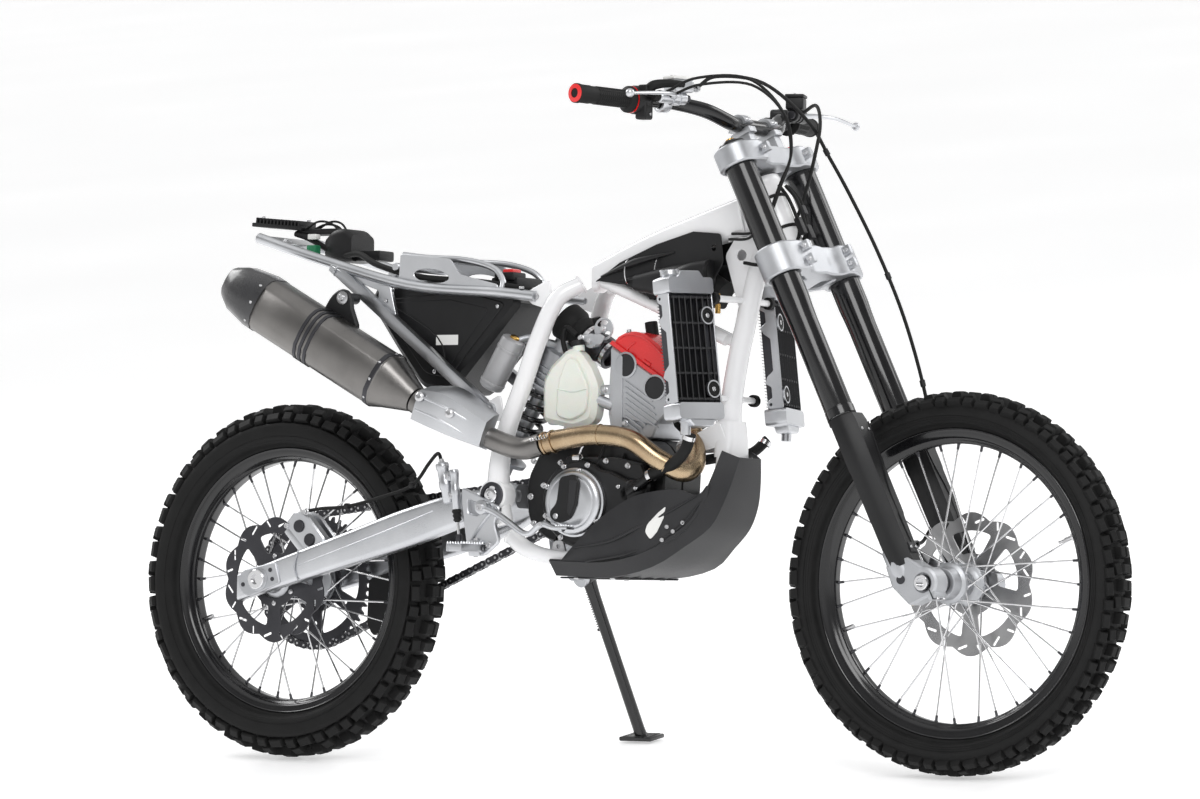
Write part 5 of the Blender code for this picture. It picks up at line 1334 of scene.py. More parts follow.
def swingarm():
    """Tapered arms on their bridge, with pivot bosses, axle blocks and adjusters."""
    slope = (REAR_AXLE.z - PIVOT.z) / (REAR_AXLE.y - PIVOT.y)
    piece = Piece("swingarm_cast", "chassis", "aluminium", BRUSHED)
    stations = ((0.196, 0.052, 0.0885, 0.022, 0.008), (0.228, 0.056, 0.0890, 0.026, 0.010),
                (0.290, 0.079, 0.118, 0.033, 0.012), (0.400, 0.0865, 0.1215, 0.038, 0.013),
                (0.520, 0.087, 0.1205, 0.034, 0.012), (0.640, 0.088, 0.1185, 0.030, 0.010),
                (0.715, 0.088, 0.117, 0.027, 0.007), (0.785, 0.088, 0.116, 0.025, 0.006))
    for _, side in SIDES:
        rings = []
        for y, inner, outer, half, radius in stations:
            middle = PIVOT.z + slope * (y - PIVOT.y)
            low, high = sorted((side * inner, side * outer))
            rings.append(oblong(low, high, middle - half, middle + half, y, radius))
        piece.use(BRUSHED).add(skin(between(rings, 5)))
        ridge = sided(side, [(0.1205, 0.330, PIVOT.z + slope * (0.330 - PIVOT.y) + 0.012),
                             (0.1218, 0.430, PIVOT.z + slope * (0.430 - PIVOT.y) + 0.006),
                             (0.1195, 0.640, PIVOT.z + slope * (0.640 - PIVOT.y))])
        piece.pipe(ridge, [0.003, 0.004, 0.0015], sides=10, flat=0.4)
        tilt = Matrix.Translation((side * 0.1165, REAR_AXLE.y,
                                   REAR_AXLE.z)) @ turn(math.degrees(math.atan(slope)), "X")
        piece.use(CAST)
        outline = [(-0.048, -0.021), (-0.048, 0.021)] + arc((0.020, 0.0), 0.0265, 80, -80, 12)
        axis = tilt @ SIDEWAYS
        piece.add(slab(eased(outline[::-1], 0.004), 0.0100, [], 0.0018), axis)
        piece.add(eased_washer(0.0130, 0.0225, 0, 0.0030, 36, 0.001),
                  facing((side, 0, 0), (side * 0.1205, REAR_AXLE.y, REAR_AXLE.z)))
        piece.use(DARK)
        for y, z in ((-0.033, 0.009), (-0.033, -0.009), (0.036, 0.0)):
            piece.add(lathe([(0.0042, 0), (0.0042, 0.0008), (0, 0.0008)], 18),
                      tilt @ at(side * 0.0050, y, z) @ turn(side * 90, "Y"))
        piece.use(BOLT)
        end = tilt @ Vector((-side * 0.0145, 0.047, 0.0))
        piece.bolt(end, tilt.col[1].xyz, 0.0060)
        piece.use(CAST)
        piece.weld(sided(side, [(0.1185, 0.640, PIVOT.z + slope * 0.451 + 0.0295),
                                (0.1210, 0.648, PIVOT.z + slope * 0.459),
                                (0.1185, 0.640, PIVOT.z + slope * 0.451 - 0.0295)]), 0.0018)
        piece.add(drum(0.0255, 0, 0.020, 36, 0.003),
                  facing((side, 0, 0), (side * 0.0705, PIVOT.y, PIVOT.z)))
    bridge = [oblong(-0.0885, 0.0885, 0.478, 0.523, 0.166, 0.014),
              oblong(-0.0885, 0.0885, 0.472, 0.517, 0.215, 0.014),
              oblong(-0.0885, 0.0885, 0.458, 0.506, 0.262, 0.016),
              oblong(-0.0900, 0.0900, 0.444, 0.492, 0.310, 0.016)]
    piece.add(skin(between(bridge, 4)))
    for index in range(5):
        x = (index - 2) * 0.030
        piece.add(brick((0.0035, 0.070, 0.010), 0.0012), at(x, 0.272, 0.503) @ turn(-14, "X"))
    piece.done("swingarm")

    piece = Piece("rear_axle_ground", "chassis", "steel", CHROME)
    profile = [(0.0, 0.1290), (0.0085, 0.1290), (0.0085, 0.1305), (0.0130, 0.1305), (0.0125, 0.1200),
               (0.0125, -0.1195), (0.0180, -0.1200), (0.0185, -0.1290), (0.0170, -0.1305), (0.0100, -0.1305),
               (0.0095, -0.1240), (0.0, -0.1240)]
    piece.add(lathe(profile, 40), REAR_FRAME)
    piece.add(hexagon(0.0185, 0.0095), REAR_FRAME @ at(0, 0, 0.1205))
    piece.use(DARK)
    for side in (-1, 1):
        piece.add(washer(0.0130, 0.0200, side * 0.0825, side * 0.0872, 36), REAR_FRAME)
    piece.done("rear_axle")


def shock():
    """Spring and damper with the finned reservoir on the right."""
    top, bottom = Vector((0, 0.112, 0.800)), Vector((0, 0.262, 0.535))
    length = (top - bottom).length
    place = facing(top - bottom, bottom)
    piece = Piece("shock_damper", "chassis", "aluminium", CAST)
    piece.add(lathe([(0, 0), (0.013, 0), (0.015, 0.006), (0.015, 0.030), (0.033, 0.036), (0.035, 0.044),
                     (0.026, 0.048), (0.0145, 0.050), (0.0145, 0.190), (0.024, 0.192), (0.034, 0.262),
                     (0.034, 0.272), (0.022, 0.276), (0.020, length - 0.010), (0.014, length), (0, length)],
                    40), place)
    piece.rod((-0.016, *bottom.yz), (0.016, *bottom.yz), 0.0135)
    piece.rod((-0.018, *top.yz), (0.018, *top.yz), 0.0145)
    for level in (0.200, 0.212, 0.224, 0.236):
        piece.add(lathe([(0.022, level), (0.0345, level + 0.001), (0.0345, level + 0.0035),
                         (0.022, level + 0.005)], 40, ring=True), place)
    piece.use(GLOSS_BLACK)
    turns = 6
    coil = []
    for index in range(turns * 20 + 1):
        angle = math.tau * index / 20
        coil.append(place @ Vector((0.0292 * math.cos(angle), 0.0292 * math.sin(angle),
                                    0.052 + 0.142 * index / (turns * 20))))
    piece.pipe(coil, 0.0052, sides=12, steps=1)
    piece.use(SHELL)
    low, high = Vector((-0.074, 0.238, 0.703)), Vector((-0.074, 0.184, 0.795))
    tank = facing(high - low, low)
    span = (high - low).length
    piece.add(lathe([(0, 0.001), (0.018, 0), (0.0225, 0.003), (0.0235, 0.006), (0.0235, span - 0.008),
                     (0.0225, span - 0.003), (0.0175, span), (0, span)], 48), tank)
    piece.use(GOLD)
    piece.add(lathe([(0, 0), (0.0095, 0), (0.0095, 0.004), (0.0065, 0.006), (0, 0.006)], 28),
              tank @ at(0, 0, span - 0.0005))
    piece.use(SHELL)
    for height in (0.010, span - 0.026):
        piece.add(lathe([(0.0232, 0), (0.0246, 0.001), (0.0246, 0.005), (0.0232, 0.006)], 48, ring=True),
                  tank @ at(0, 0, height))
    piece.use(CAST)
    piece.pipe([(-0.074, 0.188, 0.788), (-0.050, 0.166, 0.796), (-0.020, 0.135, 0.786),
                (0.0, 0.118, 0.780)], 0.0085, sides=16)
    piece.done("shock_absorber")


# ---- engine -----------------------------------------------------------------------------------
CLUTCH = Vector((0.013, 0.488))                # centres in the side view, as (y, z)
IGNITION = Vector((-0.035, 0.490))


def around(centre, radius, angles):
    """Places round a centre in the side view."""
    return [(centre[0] + radius * math.cos(math.radians(a)), centre[1] + radius * math.sin(math.radians(a)))
            for a in angles]


def crankcase():
    """Split cases with covers, ribs, bolts and bosses."""
    outline = [(-0.150, 0.460), (-0.120, 0.418), (0.020, 0.404), (0.105, 0.420), (0.146, 0.455),
               (0.150, 0.530), (0.120, 0.585), (0.060, 0.606), (-0.118, 0.606), (-0.155, 0.560)]
    piece = Piece("crankcase_cast", "chassis", "black_gloss_paint", CASE_BLACK)
    piece.side_slab(eased(outline, 0.016), -0.0765, -0.014, edge=0.003)
    piece.side_slab(eased(outline, 0.016), -0.0135, 0.0515, edge=0.003)
    shell = arc(CLUTCH, 0.0838, -150, 60, 22) + [(0.050, 0.574), (-0.060, 0.572), (-0.118, 0.560),
                                                 (-0.136, 0.520), (-0.120, 0.470), (-0.090, 0.440)]
    piece.side_slab(eased(shell, 0.004), -0.0985, -0.0760, edge=0.004)
    inner = arc(CLUTCH, 0.0780, -140, 128, 26) + [(-0.060, 0.545), (-0.098, 0.528), (-0.102, 0.480),
                                                  (-0.075, 0.448)]
    piece.side_slab(eased(inner, 0.003), -0.1140, -0.0980, edge=0.004)
    pump = facing((-1, 0, 0), (-0.095, -0.096, 0.505))
    piece.add(lathe([(0, 0.019), (0.014, 0.019), (0.021, 0.016), (0.027, 0.008), (0.030, 0.0), (0, 0)], 32),
              pump)
    piece.pipe([(-0.106, -0.096, 0.505), (-0.108, -0.118, 0.520), (-0.106, -0.142, 0.538)], 0.0095, sides=18)
    for angle in (150, 115, 80):
        y, z = around(CLUTCH, 0.078, (angle,))[0]
        spoke = [(-0.099, y, z), (-0.092, y - 0.010, z + 0.030), (-0.080, y - 0.012, z + 0.052)]
        piece.pipe(spoke, 0.0030, sides=8)
    for x in (-0.0775, 0.0525):
        for y in (-0.105, -0.065, -0.020, 0.030, 0.080):
            piece.add(brick((0.006, 0.004, 0.046), 0.001), at(x, y, 0.432 + abs(y) * 0.05) @ turn(8, "X"))
    cover = arc(IGNITION, 0.0735, 0, 352, 40)
    piece.side_slab(cover, 0.0500, 0.0855, edge=0.003)
    piece.add(lathe([(0.0, 0.031), (0.018, 0.031), (0.0205, 0.026), (0.021, 0.0)], 32),
              facing((1, 0, 0), (0.0505, *SPROCKET_SHAFT.yz)))
    guard = eased([(0.064, 0.545), (0.080, 0.575), (0.120, 0.585), (0.146, 0.562), (0.150, 0.520),
                   (0.140, 0.512), (0.136, 0.548), (0.112, 0.566), (0.086, 0.556), (0.078, 0.536)], 0.005)
    piece.use(PLASTIC).side_slab(guard, 0.0520, 0.0840)
    piece.use(DARK)
    tooth_ring = []
    for index in range(DRIVE_TEETH * 4):
        radius = 0.0345 if index % 4 in (1, 2) else 0.0285
        angle = math.tau * index / (DRIVE_TEETH * 4)
        tooth_ring.append((radius * math.cos(angle), radius * math.sin(angle)))
    piece.add(slab(tooth_ring, 0.0055, [circle((0, 0), 0.0135)]), at(*SPROCKET_SHAFT) @ SIDEWAYS)
    piece.use(BOLT)
    piece.side_bolts(-0.1145, around(CLUTCH, 0.0725, (-118, -62, -20, 24, 66, 108)), 0.0042)
    piece.side_bolts(-0.0990, ((0.060, 0.562), (0.016, 0.572), (-0.040, 0.565), (-0.088, 0.556),
                               (-0.125, 0.530), (-0.112, 0.470), (0.090, 0.452), (0.097, 0.520)), 0.0044)
    piece.side_bolts(-0.0770, ((0.094, 0.588), (0.134, 0.566), (0.140, 0.500), (0.132, 0.450),
                               (0.070, 0.420), (-0.020, 0.414), (-0.100, 0.425)), 0.0048)
    piece.side_bolts(0.0520, ((0.135, 0.480), (0.120, 0.440), (0.060, 0.420), (0.010, 0.416),
                              (-0.110, 0.430), (-0.135, 0.560), (-0.060, 0.592), (0.040, 0.592)), 0.0048)
    piece.side_bolts(0.0840, ((0.118, 0.576), (0.145, 0.535), (0.073, 0.556)), 0.0040)
    piece.bolt((0.0820, *SPROCKET_SHAFT.yz), (1, 0, 0), 0.0085)
    piece.bolts([(x, 0.020, 0.4035) for x in (-0.050, 0.030)], (0, 0, -1), 0.0075)
    piece.bolts([(-0.1155, -0.096 + 0.022 * math.cos(a), 0.505 + 0.022 * math.sin(a))
                 for a in (0.6, 2.7, 4.8)], (-1, 0, 0), 0.0032)
    piece.use(CHROME)
    piece.pipe([(-0.113, 0.010, 0.5745), (-0.121, -0.004, 0.592), (-0.122, -0.026, 0.600),
                (-0.120, -0.048, 0.603)], 0.0026, sides=10)
    piece.add(brick((0.006, 0.016, 0.010), 0.002), at(-0.117, 0.014, 0.5710))
    piece.done("crankcase")

    piece = Piece("clutch_cover_turned", "chassis", "aluminium", ALUMINIUM)
    place = facing((-1, 0, 0), (-0.1148, *CLUTCH))
    dome = [(0.0, 0.0238), (0.030, 0.0238), (0.044, 0.0228), (0.0480, 0.0205), (0.0500, 0.0208),
            (0.0560, 0.0185), (0.0595, 0.0135), (0.0605, 0.0095), (0.0638, 0.0080), (0.0640, 0.0),
            (0.0, 0.0)]
    piece.add(lathe(dome, 72), place)
    piece.use(PLASTIC)
    insert = [(0.034, 0.534), (0.000, 0.540), (-0.010, 0.528), (-0.004, 0.482), (0.008, 0.458),
              (0.032, 0.448), (0.052, 0.456), (0.056, 0.470), (0.040, 0.486)]
    piece.side_slab(eased(insert, 0.007), -0.1435, -0.1375, edge=0.002)
    piece.use(GREY)
    piece.side_slab(eased([(-0.006, 0.528), (-0.0005, 0.484), (0.009, 0.462), (0.015, 0.470),
                           (0.010, 0.530)], 0.003), -0.1445, -0.1430)
    piece.use(BOLT)
    piece.bolt((-0.1435, 0.040, 0.462), (-1, 0, 0), 0.0050, UNIT_DOME)
    piece.side_bolts(-0.1250, around(CLUTCH, 0.0600, (100, 215, 330)), 0.0036)
    piece.done("clutch_cover")

    piece = Piece("ignition_cover_cast", "chassis", "black_gloss_paint", CASE_BLACK)
    place = facing((1, 0, 0), (0.0863, *IGNITION))
    dome = [(0.0, 0.0235), (0.026, 0.0235), (0.029, 0.0210), (0.046, 0.0220), (0.0510, 0.0195),
            (0.0610, 0.0165), (0.0660, 0.0080), (0.0670, 0.0), (0.0, 0.0)]
    piece.add(lathe(dome, 64), place)
    for index in range(6):
        spin = place @ Matrix.Rotation(math.tau * (index + 0.5) / 6, 4, "Z")
        piece.add(brick((0.020, 0.0035, 0.0030), 0.001), spin @ at(0.0380, 0, 0.0212))
        piece.use(BOLT)
        piece.bolt(spin @ Vector((0.0625, 0, 0.0120)), (1, 0, 0), 0.0042)
        piece.use(CASE_BLACK)
    piece.use(BOLT)
    piece.add(lathe([(0.0, 0.0255), (0.005, 0.0255), (0.006, 0.0235), (0.014, 0.0235), (0.015, 0.022),
                     (0.0, 0.022)], 32), place)
    piece.done("ignition_cover")


def top_end():
    """Ribbed barrel and head, and the red two-lobed cam cover."""
    piece = Piece("cylinder_head_cast", "chassis", "aluminium", CAST)
    barrel = [(-0.024, 0.6070), (-0.014, 0.655), (-0.020, 0.690), (-0.118, 0.666), (-0.126, 0.640),
              (-0.112, 0.6070)]
    piece.side_slab(eased(barrel, 0.004), -0.0560, 0.0560, edge=0.003)
    head = [(-0.021, 0.7810), (-0.016, 0.690), (-0.020, 0.650), (-0.118, 0.630), (-0.146, 0.655),
            (-0.160, 0.690), (-0.150, 0.7010)]
    piece.side_slab(eased(head, 0.004), -0.0590, 0.0590, edge=0.003)
    down = Vector((-0.129, -0.080)).normalized()
    tilt = Matrix.Rotation(math.atan2(down.y, down.x), 4, "X")
    for side in (-1, 1):
        for index in range(8):
            start = Vector((-0.054, 0.714 - index * 0.0105))
            end = start + down * (0.072 + 0.004 * index if index < 5 else 0.094 - 0.008 * index)
            middle = (start + end) / 2
            rib = at(side * 0.0600, *middle) @ tilt
            piece.add(brick((0.0050, (end - start).length, 0.0030), 0.001), rib)
        piece.side_slab(eased([(-0.022, 0.776), (-0.048, 0.760), (-0.049, 0.625), (-0.026, 0.625)], 0.003),
                        side * 0.0580, side * 0.0615)
        for y, z in ((-0.0543, 0.7435), (-0.1195, 0.7010)):
            place = facing((side, 0, 0), (side * 0.0580, y, z))
            piece.use(CAST).add(lathe([(0.0210, 0), (0.0245, 0), (0.0245, 0.0032), (0.0210, 0.0040)], 48,
                                      ring=True), place)
            piece.use(GREY).add(lathe([(0.0, 0.0030), (0.0195, 0.0030), (0.0210, 0.0015), (0.0210, 0.0)],
                                      40), place)
        piece.use(CAST)
    piece.rod((-0.052, -0.024, 0.668), (-0.062, 0.022, 0.6855), 0.0105)
    piece.add(lathe([(0.0105, 0), (0.0125, 0.001), (0.0125, 0.005), (0.0105, 0.006)], 28, ring=True),
              facing((-0.010, 0.046, 0.0175), (-0.0605, 0.0160, 0.6832)))
    piece.add(brick((0.016, 0.024, 0.018), 0.005), at(-0.052, -0.010, 0.6985))
    flange = facing((0, -0.55, -0.83), (0.0, -0.150, 0.660))
    piece.add(washer(0.020, 0.027, 0, 0.006, 32), flange)
    piece.use(BOLT)
    piece.bolts([(-0.0600, -0.010, 0.6985), (-0.0600, -0.056, 0.636)], (-1, 0, 0), 0.0050)
    piece.bolts([(x, -0.1420, 0.6560) for x in (-0.030, 0.030)], (0, -0.55, -0.83), 0.0045)
    piece.done("cylinder")

    piece = Piece("cam_cover_gloss", "chassis", "red_plastic", RED)
    outline = [(-0.0195, 0.7835), (-0.030, 0.797), (-0.050, 0.806), (-0.068, 0.806), (-0.088, 0.8015),
               (-0.116, 0.783), (-0.138, 0.766), (-0.152, 0.748), (-0.1565, 0.733), (-0.1500, 0.7025)]
    piece.side_slab(eased(outline, 0.002), -0.0540, 0.0540, edge=0.006)
    lip = [(-0.0175, 0.7835), (-0.0230, 0.7895), (-0.1520, 0.7095), (-0.1500, 0.7020)]
    piece.side_slab(lip, -0.0600, 0.0600, edge=0.001)
    for side in (-1, 1):
        ridge = sided(side, [(0.0535, -0.030, 0.790), (0.0550, -0.052, 0.8005), (0.0550, -0.086, 0.796),
                             (0.0550, -0.118, 0.774), (0.0535, -0.148, 0.744)])
        piece.pipe(ridge, 0.0022, sides=8)
        lobe = around((-0.062, 0.752), 0.036, range(20, 80, 10))
        piece.pipe([(side * 0.0545, y - 0.022, z) for y, z in lobe], 0.0018, sides=8)
        piece.add(brick((0.004, 0.018, 0.006), 0.0015), at(side * 0.0548, -0.098, 0.748) @ turn(32, "X"))
    piece.use(BOLT)
    for x in (-0.046, 0.046):
        piece.bolts([(x, -0.052, 0.8045)], (0, 0.1, 1), 0.0045)
        piece.bolts([(x, -0.128, 0.7730)], (0, -0.6, 0.8), 0.0045)
    piece.use(RUBBER)
    piece.rod((0.0, -0.075, 0.798), (0.0, -0.070, 0.826), 0.012)
    piece.done("cam_cover")


def intake():
    """Throttle body, rubber duct with clamps, airbox and catch tank."""
    piece = Piece("throttle_body_cast", "chassis", "dark_steel", DARK)
    way = Vector((0.0, 0.058, 0.038)).normalized()
    start = Vector((0.0, 0.014, 0.763))
    place = facing(way, start)
    piece.add(lathe([(0.022, 0), (0.028, 0.001), (0.028, 0.010), (0.025, 0.012), (0.025, 0.046),
                     (0.028, 0.048), (0.028, 0.064), (0.022, 0.066)], 40, ring=True), place)
    piece.add(brick((0.060, 0.044, 0.038), 0.006), place @ at(0, 0, 0.030))
    piece.use(CAST)
    piece.rod((-0.031, 0.030, 0.790), (-0.052, 0.030, 0.790), 0.0135)
    piece.add(slab(circle((0, 0), 0.021, 28), 0.003, [window(0.008, 0.017, 20, 130),
                                                      window(0.008, 0.017, 200, 310)]),
              facing((1, 0, 0), (-0.046, 0.004, 0.812)))
    piece.side_slab(eased([(0.052, 0.800), (0.045, 0.789), (0.008, 0.782), (-0.004, 0.796), (0.004, 0.802)],
                          0.003), -0.0560, -0.0510)
    piece.use(BOLT)
    piece.bolts([(-0.0530, 0.030, 0.790), (-0.0560, 0.047, 0.795), (-0.0480, 0.004, 0.812)], (-1, 0, 0),
                0.0050)
    for level in (0.006, 0.058):
        piece.use(CHROME).add(washer(0.0282, 0.0292, level - 0.004, level + 0.004, 40), place)
    piece.use(RUBBER)
    piece.add(lathe([(0.022, 0), (0.029, 0.002), (0.033, 0.018), (0.030, 0.026), (0.036, 0.036),
                     (0.037, 0.060), (0.022, 0.060)], 36, ring=True), place @ at(0, 0, 0.064))
    piece.add(lathe([(0.0, 0), (0.0055, 0), (0.0055, 0.018), (0.008, 0.020), (0.008, 0.030), (0, 0.030)], 20),
              facing((-0.3, 0.1, 1), (-0.020, 0.030, 0.806)))
    piece.done("throttle_body")

    piece = Piece("intake_duct_rubber", "chassis", "black_plastic", RUBBER)
    piece.pipe([(0.0, -0.230, 0.872), (0.0, -0.195, 0.888), (0.0, -0.165, 0.894), (0.0, -0.132, 0.895),
                (0.0, -0.100, 0.893), (0.0, -0.074, 0.884)], [0.0265, 0.0300, 0.0275, 0.0300, 0.0275, 0.0290],
               sides=32, steps=8)
    piece.use(PLASTIC)
    rings = [oblong(-0.054, 0.054, 0.850, 0.926, -0.204, 0.016),
             oblong(-0.058, 0.058, 0.858, 0.930, -0.165, 0.018),
             oblong(-0.057, 0.057, 0.872, 0.922, -0.110, 0.016),
             oblong(-0.054, 0.054, 0.882, 0.912, -0.062, 0.012)]
    piece.add(skin(between(rings, 5)))
    for _, side in SIDES:
        panel = eased([(0.036, 0.900), (-0.020, 0.936), (-0.100, 0.968), (-0.180, 0.990), (-0.240, 0.985),
                       (-0.246, 0.930), (-0.215, 0.884), (-0.150, 0.868), (-0.090, 0.874), (-0.030, 0.894),
                       (0.026, 0.902)], 0.006)
        piece.side_slab(panel, side * 0.0300, side * 0.0330, [circle((-0.225, 0.958), 0.005)], edge=0.001)
        for low, high, width in (((0.020, 0.910), (-0.140, 0.952), 0.007),
                                 ((-0.020, 0.902), (-0.130, 0.900), 0.006),
                                 ((-0.060, 0.896), (-0.150, 0.884), 0.008)):
            piece.pipe([(side * 0.033, *low), (side * 0.042, (low[0] + high[0]) / 2, (low[1] + high[1]) / 2
                                               + 0.004), (side * 0.033, *high)], [0.002, width, 0.002],
                       sides=10)
        bulge = [oblong(-0.020, 0.020, 0.872, 0.918, -0.150, 0.012),
                 oblong(-0.026, 0.026, 0.868, 0.930, -0.185, 0.016),
                 oblong(-0.020, 0.020, 0.884, 0.936, -0.226, 0.014)]
        piece.add(skin(between(bulge, 4)), at(side * 0.046, 0, 0))
        piece.use(RUBBER)
        pleat = [(side * 0.050, -0.226 + index * 0.012, 0.936 - index * 0.004) for index in range(7)]
        for x, y, z in pleat:
            piece.pipe([(x, y, z), (x + side * 0.014, y, z - 0.022), (x, y, z - 0.050)],
                       [0.002, 0.0055, 0.002], sides=8)
        piece.use(CHROME)
        for y, level, wide in ((-0.040, 0.918, 0.036), (-0.105, 0.906, 0.058)):
            ring = [(side * (0.034 + 0.012 * math.cos(a)), y, level + wide * 0.6 * math.sin(a))
                    for a in (math.pi * (i / 10 - 0.5) for i in range(11))]
            piece.pipe(ring, 0.0014, sides=8, steps=2)
        piece.use(PLASTIC)
    piece.use(GOLD)
    piece.add(hexagon(0.008, 0.012), facing((-1, -0.3, 0), (-0.026, -0.232, 0.868)))
    piece.rod((-0.026, -0.232, 0.856), (-0.026, -0.232, 0.838), 0.0052)
    piece.done("intake_duct")

    outline = [(0.172, 0.862), (0.330, 0.692), (0.395, 0.706), (0.455, 0.780), (0.520, 0.868), (0.500, 0.902),
               (0.300, 0.905), (0.200, 0.892)]
    piece = Piece("airbox_moulded", "chassis", "black_plastic", PLASTIC)
    piece.side_slab(eased(outline, 0.012), -0.0745, 0.0745, edge=0.010)
    for side in (-1, 1):
        panel = eased([(0.205, 0.862), (0.330, 0.722), (0.384, 0.732), (0.440, 0.800), (0.492, 0.872),
                       (0.300, 0.884)], 0.010)
        piece.side_slab(panel, side * 0.0735, side * 0.0770, edge=0.0015)
        inset = eased([(0.330, 0.742), (0.352, 0.800), (0.470, 0.866), (0.330, 0.870), (0.240, 0.852)], 0.008)
        piece.side_slab(inset, side * 0.0765, side * 0.0780, edge=0.0006)
        piece.pipe(sided(side, [(0.0775, 0.335, 0.735), (0.0780, 0.356, 0.800), (0.0770, 0.480, 0.872)]),
                   0.0018, sides=8, steps=4)
        piece.use(BOLT).bolts([(side * 0.0775, y, z) for y,
                               z in ((0.222, 0.856), (0.478, 0.866), (0.362, 0.735))], (side, 0, 0), 0.0036,
                              UNIT_DOME).use(PLASTIC)
    piece.use(LABEL)
    piece.add(brick((0.0006, 0.050, 0.019), 0.0002, 1), at(-0.0783, 0.334, 0.794))
    piece.use(PLASTIC)
    piece.add(brick((0.120, 0.150, 0.012), 0.004), at(0, 0.400, 0.9010))
    piece.add(brick((0.090, 0.060, 0.020), 0.006), at(0, 0.230, 0.9030))
    piece.done("airbox")

    piece = Piece("catch_tank_moulded", "chassis", "milky_plastic", MILKY)
    outline = [(0.122, 0.716), (0.104, 0.744), (0.066, 0.776), (0.044, 0.772), (0.016, 0.738), (0.000, 0.706),
               (0.003, 0.650), (0.012, 0.636), (0.050, 0.625), (0.120, 0.640)]
    piece.side_slab(eased(outline, 0.010), -0.0760, -0.0350, edge=0.009)
    face = [(0.080, 0.716), (0.062, 0.758), (0.044, 0.756), (0.014, 0.702), (0.018, 0.656), (0.052, 0.640),
            (0.086, 0.650)]
    piece.side_slab(eased(face, 0.010), -0.0815, -0.0755, edge=0.003)
    piece.weld([(-0.0815, 0.016, 0.700), (-0.0820, 0.048, 0.694), (-0.0815, 0.082, 0.700)], 0.0014, 0.002)
    piece.rod((-0.058, 0.050, 0.770), (-0.058, 0.052, 0.782), 0.011)
    piece.use(PLASTIC)
    piece.rod((-0.058, 0.052, 0.780), (-0.058, 0.054, 0.790), 0.0130, 20)
    piece.done("catch_tank")


def radiators():
    """Louvred radiators with tanks, side plates, rubber mounts and caps."""
    for name, side in SIDES:
        piece = Piece("radiator_louvred_" + name, "chassis", "aluminium", ALUMINIUM)
        place = at(side * 0.158, -0.254, 0.766) @ turn(-7, "X") @ turn(side * 14, "Z")
        for end in (-1, 1):
            rings = [oblong(-0.056, 0.056, -0.015, 0.015, -0.021, 0.007),
                     oblong(-0.058, 0.058, -0.017, 0.017, 0.0, 0.008),
                     oblong(-0.056, 0.056, -0.015, 0.015, 0.021, 0.007)]
            piece.add(skin(between(rings, 3)), place @ at(0, 0.001, end * 0.1150))
            wedge = eased([(-0.030, 0.0), (0.040, 0.0), (0.030, end * 0.014), (-0.018, end * 0.014)], 0.003)
            piece.add(slab(wedge, 0.030, (), 0.002), place @ at(0, 0.0, end * 0.1290) @ turn(90, "X"))
        for x in (-0.0545, 0.0545):
            scallop = [(-0.016, -0.100), (0.012, -0.100), (0.016, -0.092), (0.012, -0.084), (0.004, -0.080),
                       (0.004, -0.060), (0.016, -0.052), (0.010, -0.040), (-0.002, -0.030), (-0.002, 0.030),
                       (0.010, 0.040), (0.016, 0.052), (0.004, 0.060), (0.004, 0.080), (0.012, 0.084),
                       (0.016, 0.092), (0.012, 0.100), (-0.016, 0.100)]
            piece.add(slab(eased(scallop, 0.002), 0.0030,
                           [circle((0.008, z), 0.0028, 12) for z in (-0.092, 0.092)], 0.0005),
                      place @ at(x, 0, 0) @ SIDEWAYS)
        piece.use(DARK)
        piece.add(brick((0.106, 0.018, 0.200), 0.001, 1), place @ at(0, 0.006, 0))
        for index in range(34):
            level = -0.0955 + index * 0.0058
            piece.add(brick((0.106, 0.0055, 0.0010), 0.0003, 1), place @ at(0, 0.0165, level) @ turn(20, "X"))
        piece.use(GREY)
        for index in range(7):
            x = -0.0435 + index * 0.0145
            piece.add(brick((0.0022, 0.0110, 0.192), 0.0006), place @ at(x, -0.0135, 0)
                      @ turn(28 * side, "Z"))
        for level in (-0.093, -0.046, 0.0, 0.046, 0.093):
            piece.add(brick((0.100, 0.0040, 0.0040), 0.001), place @ at(0, -0.0150, level))
        for level in (-0.075, 0.060):
            cup = place @ at(-side * 0.036, -0.0195, level) @ turn(90, "X")
            piece.use(RUBBER).add(lathe([(0.0055, 0), (0.0135, 0), (0.0135, 0.004), (0.0115, 0.006),
                                         (0.0055, 0.006)], 28, ring=True), cup @ at(0, 0, -0.005))
            piece.use(BOLT).bolt(cup @ Vector((0, 0, -0.002)), cup.col[2].xyz, 0.0048, UNIT_DOME)
            piece.use(ALUMINIUM).add(washer(0.0140, 0.0165, 0, 0.006, 28),
                                     cup @ at(0, 0, -0.006))
        piece.rod(place @ Vector((side * 0.020, 0.004, -0.128)),
                  place @ Vector((side * 0.020, 0.008, -0.156)), 0.0095)
        if side < 0:
            piece.use(BRUSHED)
            piece.add(lathe([(0, 0.013), (0.016, 0.013), (0.0175, 0.011), (0.0175, 0.004), (0.014, 0.0),
                             (0, 0)], 32), place @ at(-0.030, 0.002, 0.1315))
            piece.add(brick((0.046, 0.008, 0.004), 0.002), place @ at(-0.030, 0.002, 0.1430))
        piece.done("radiator_" + name)


def drawn_in(x, y):
    """A width of the skid plate, which narrows towards its nose."""
    return x * (1 - NOSE_TAPER * max(0.0, NOSE_START - y))


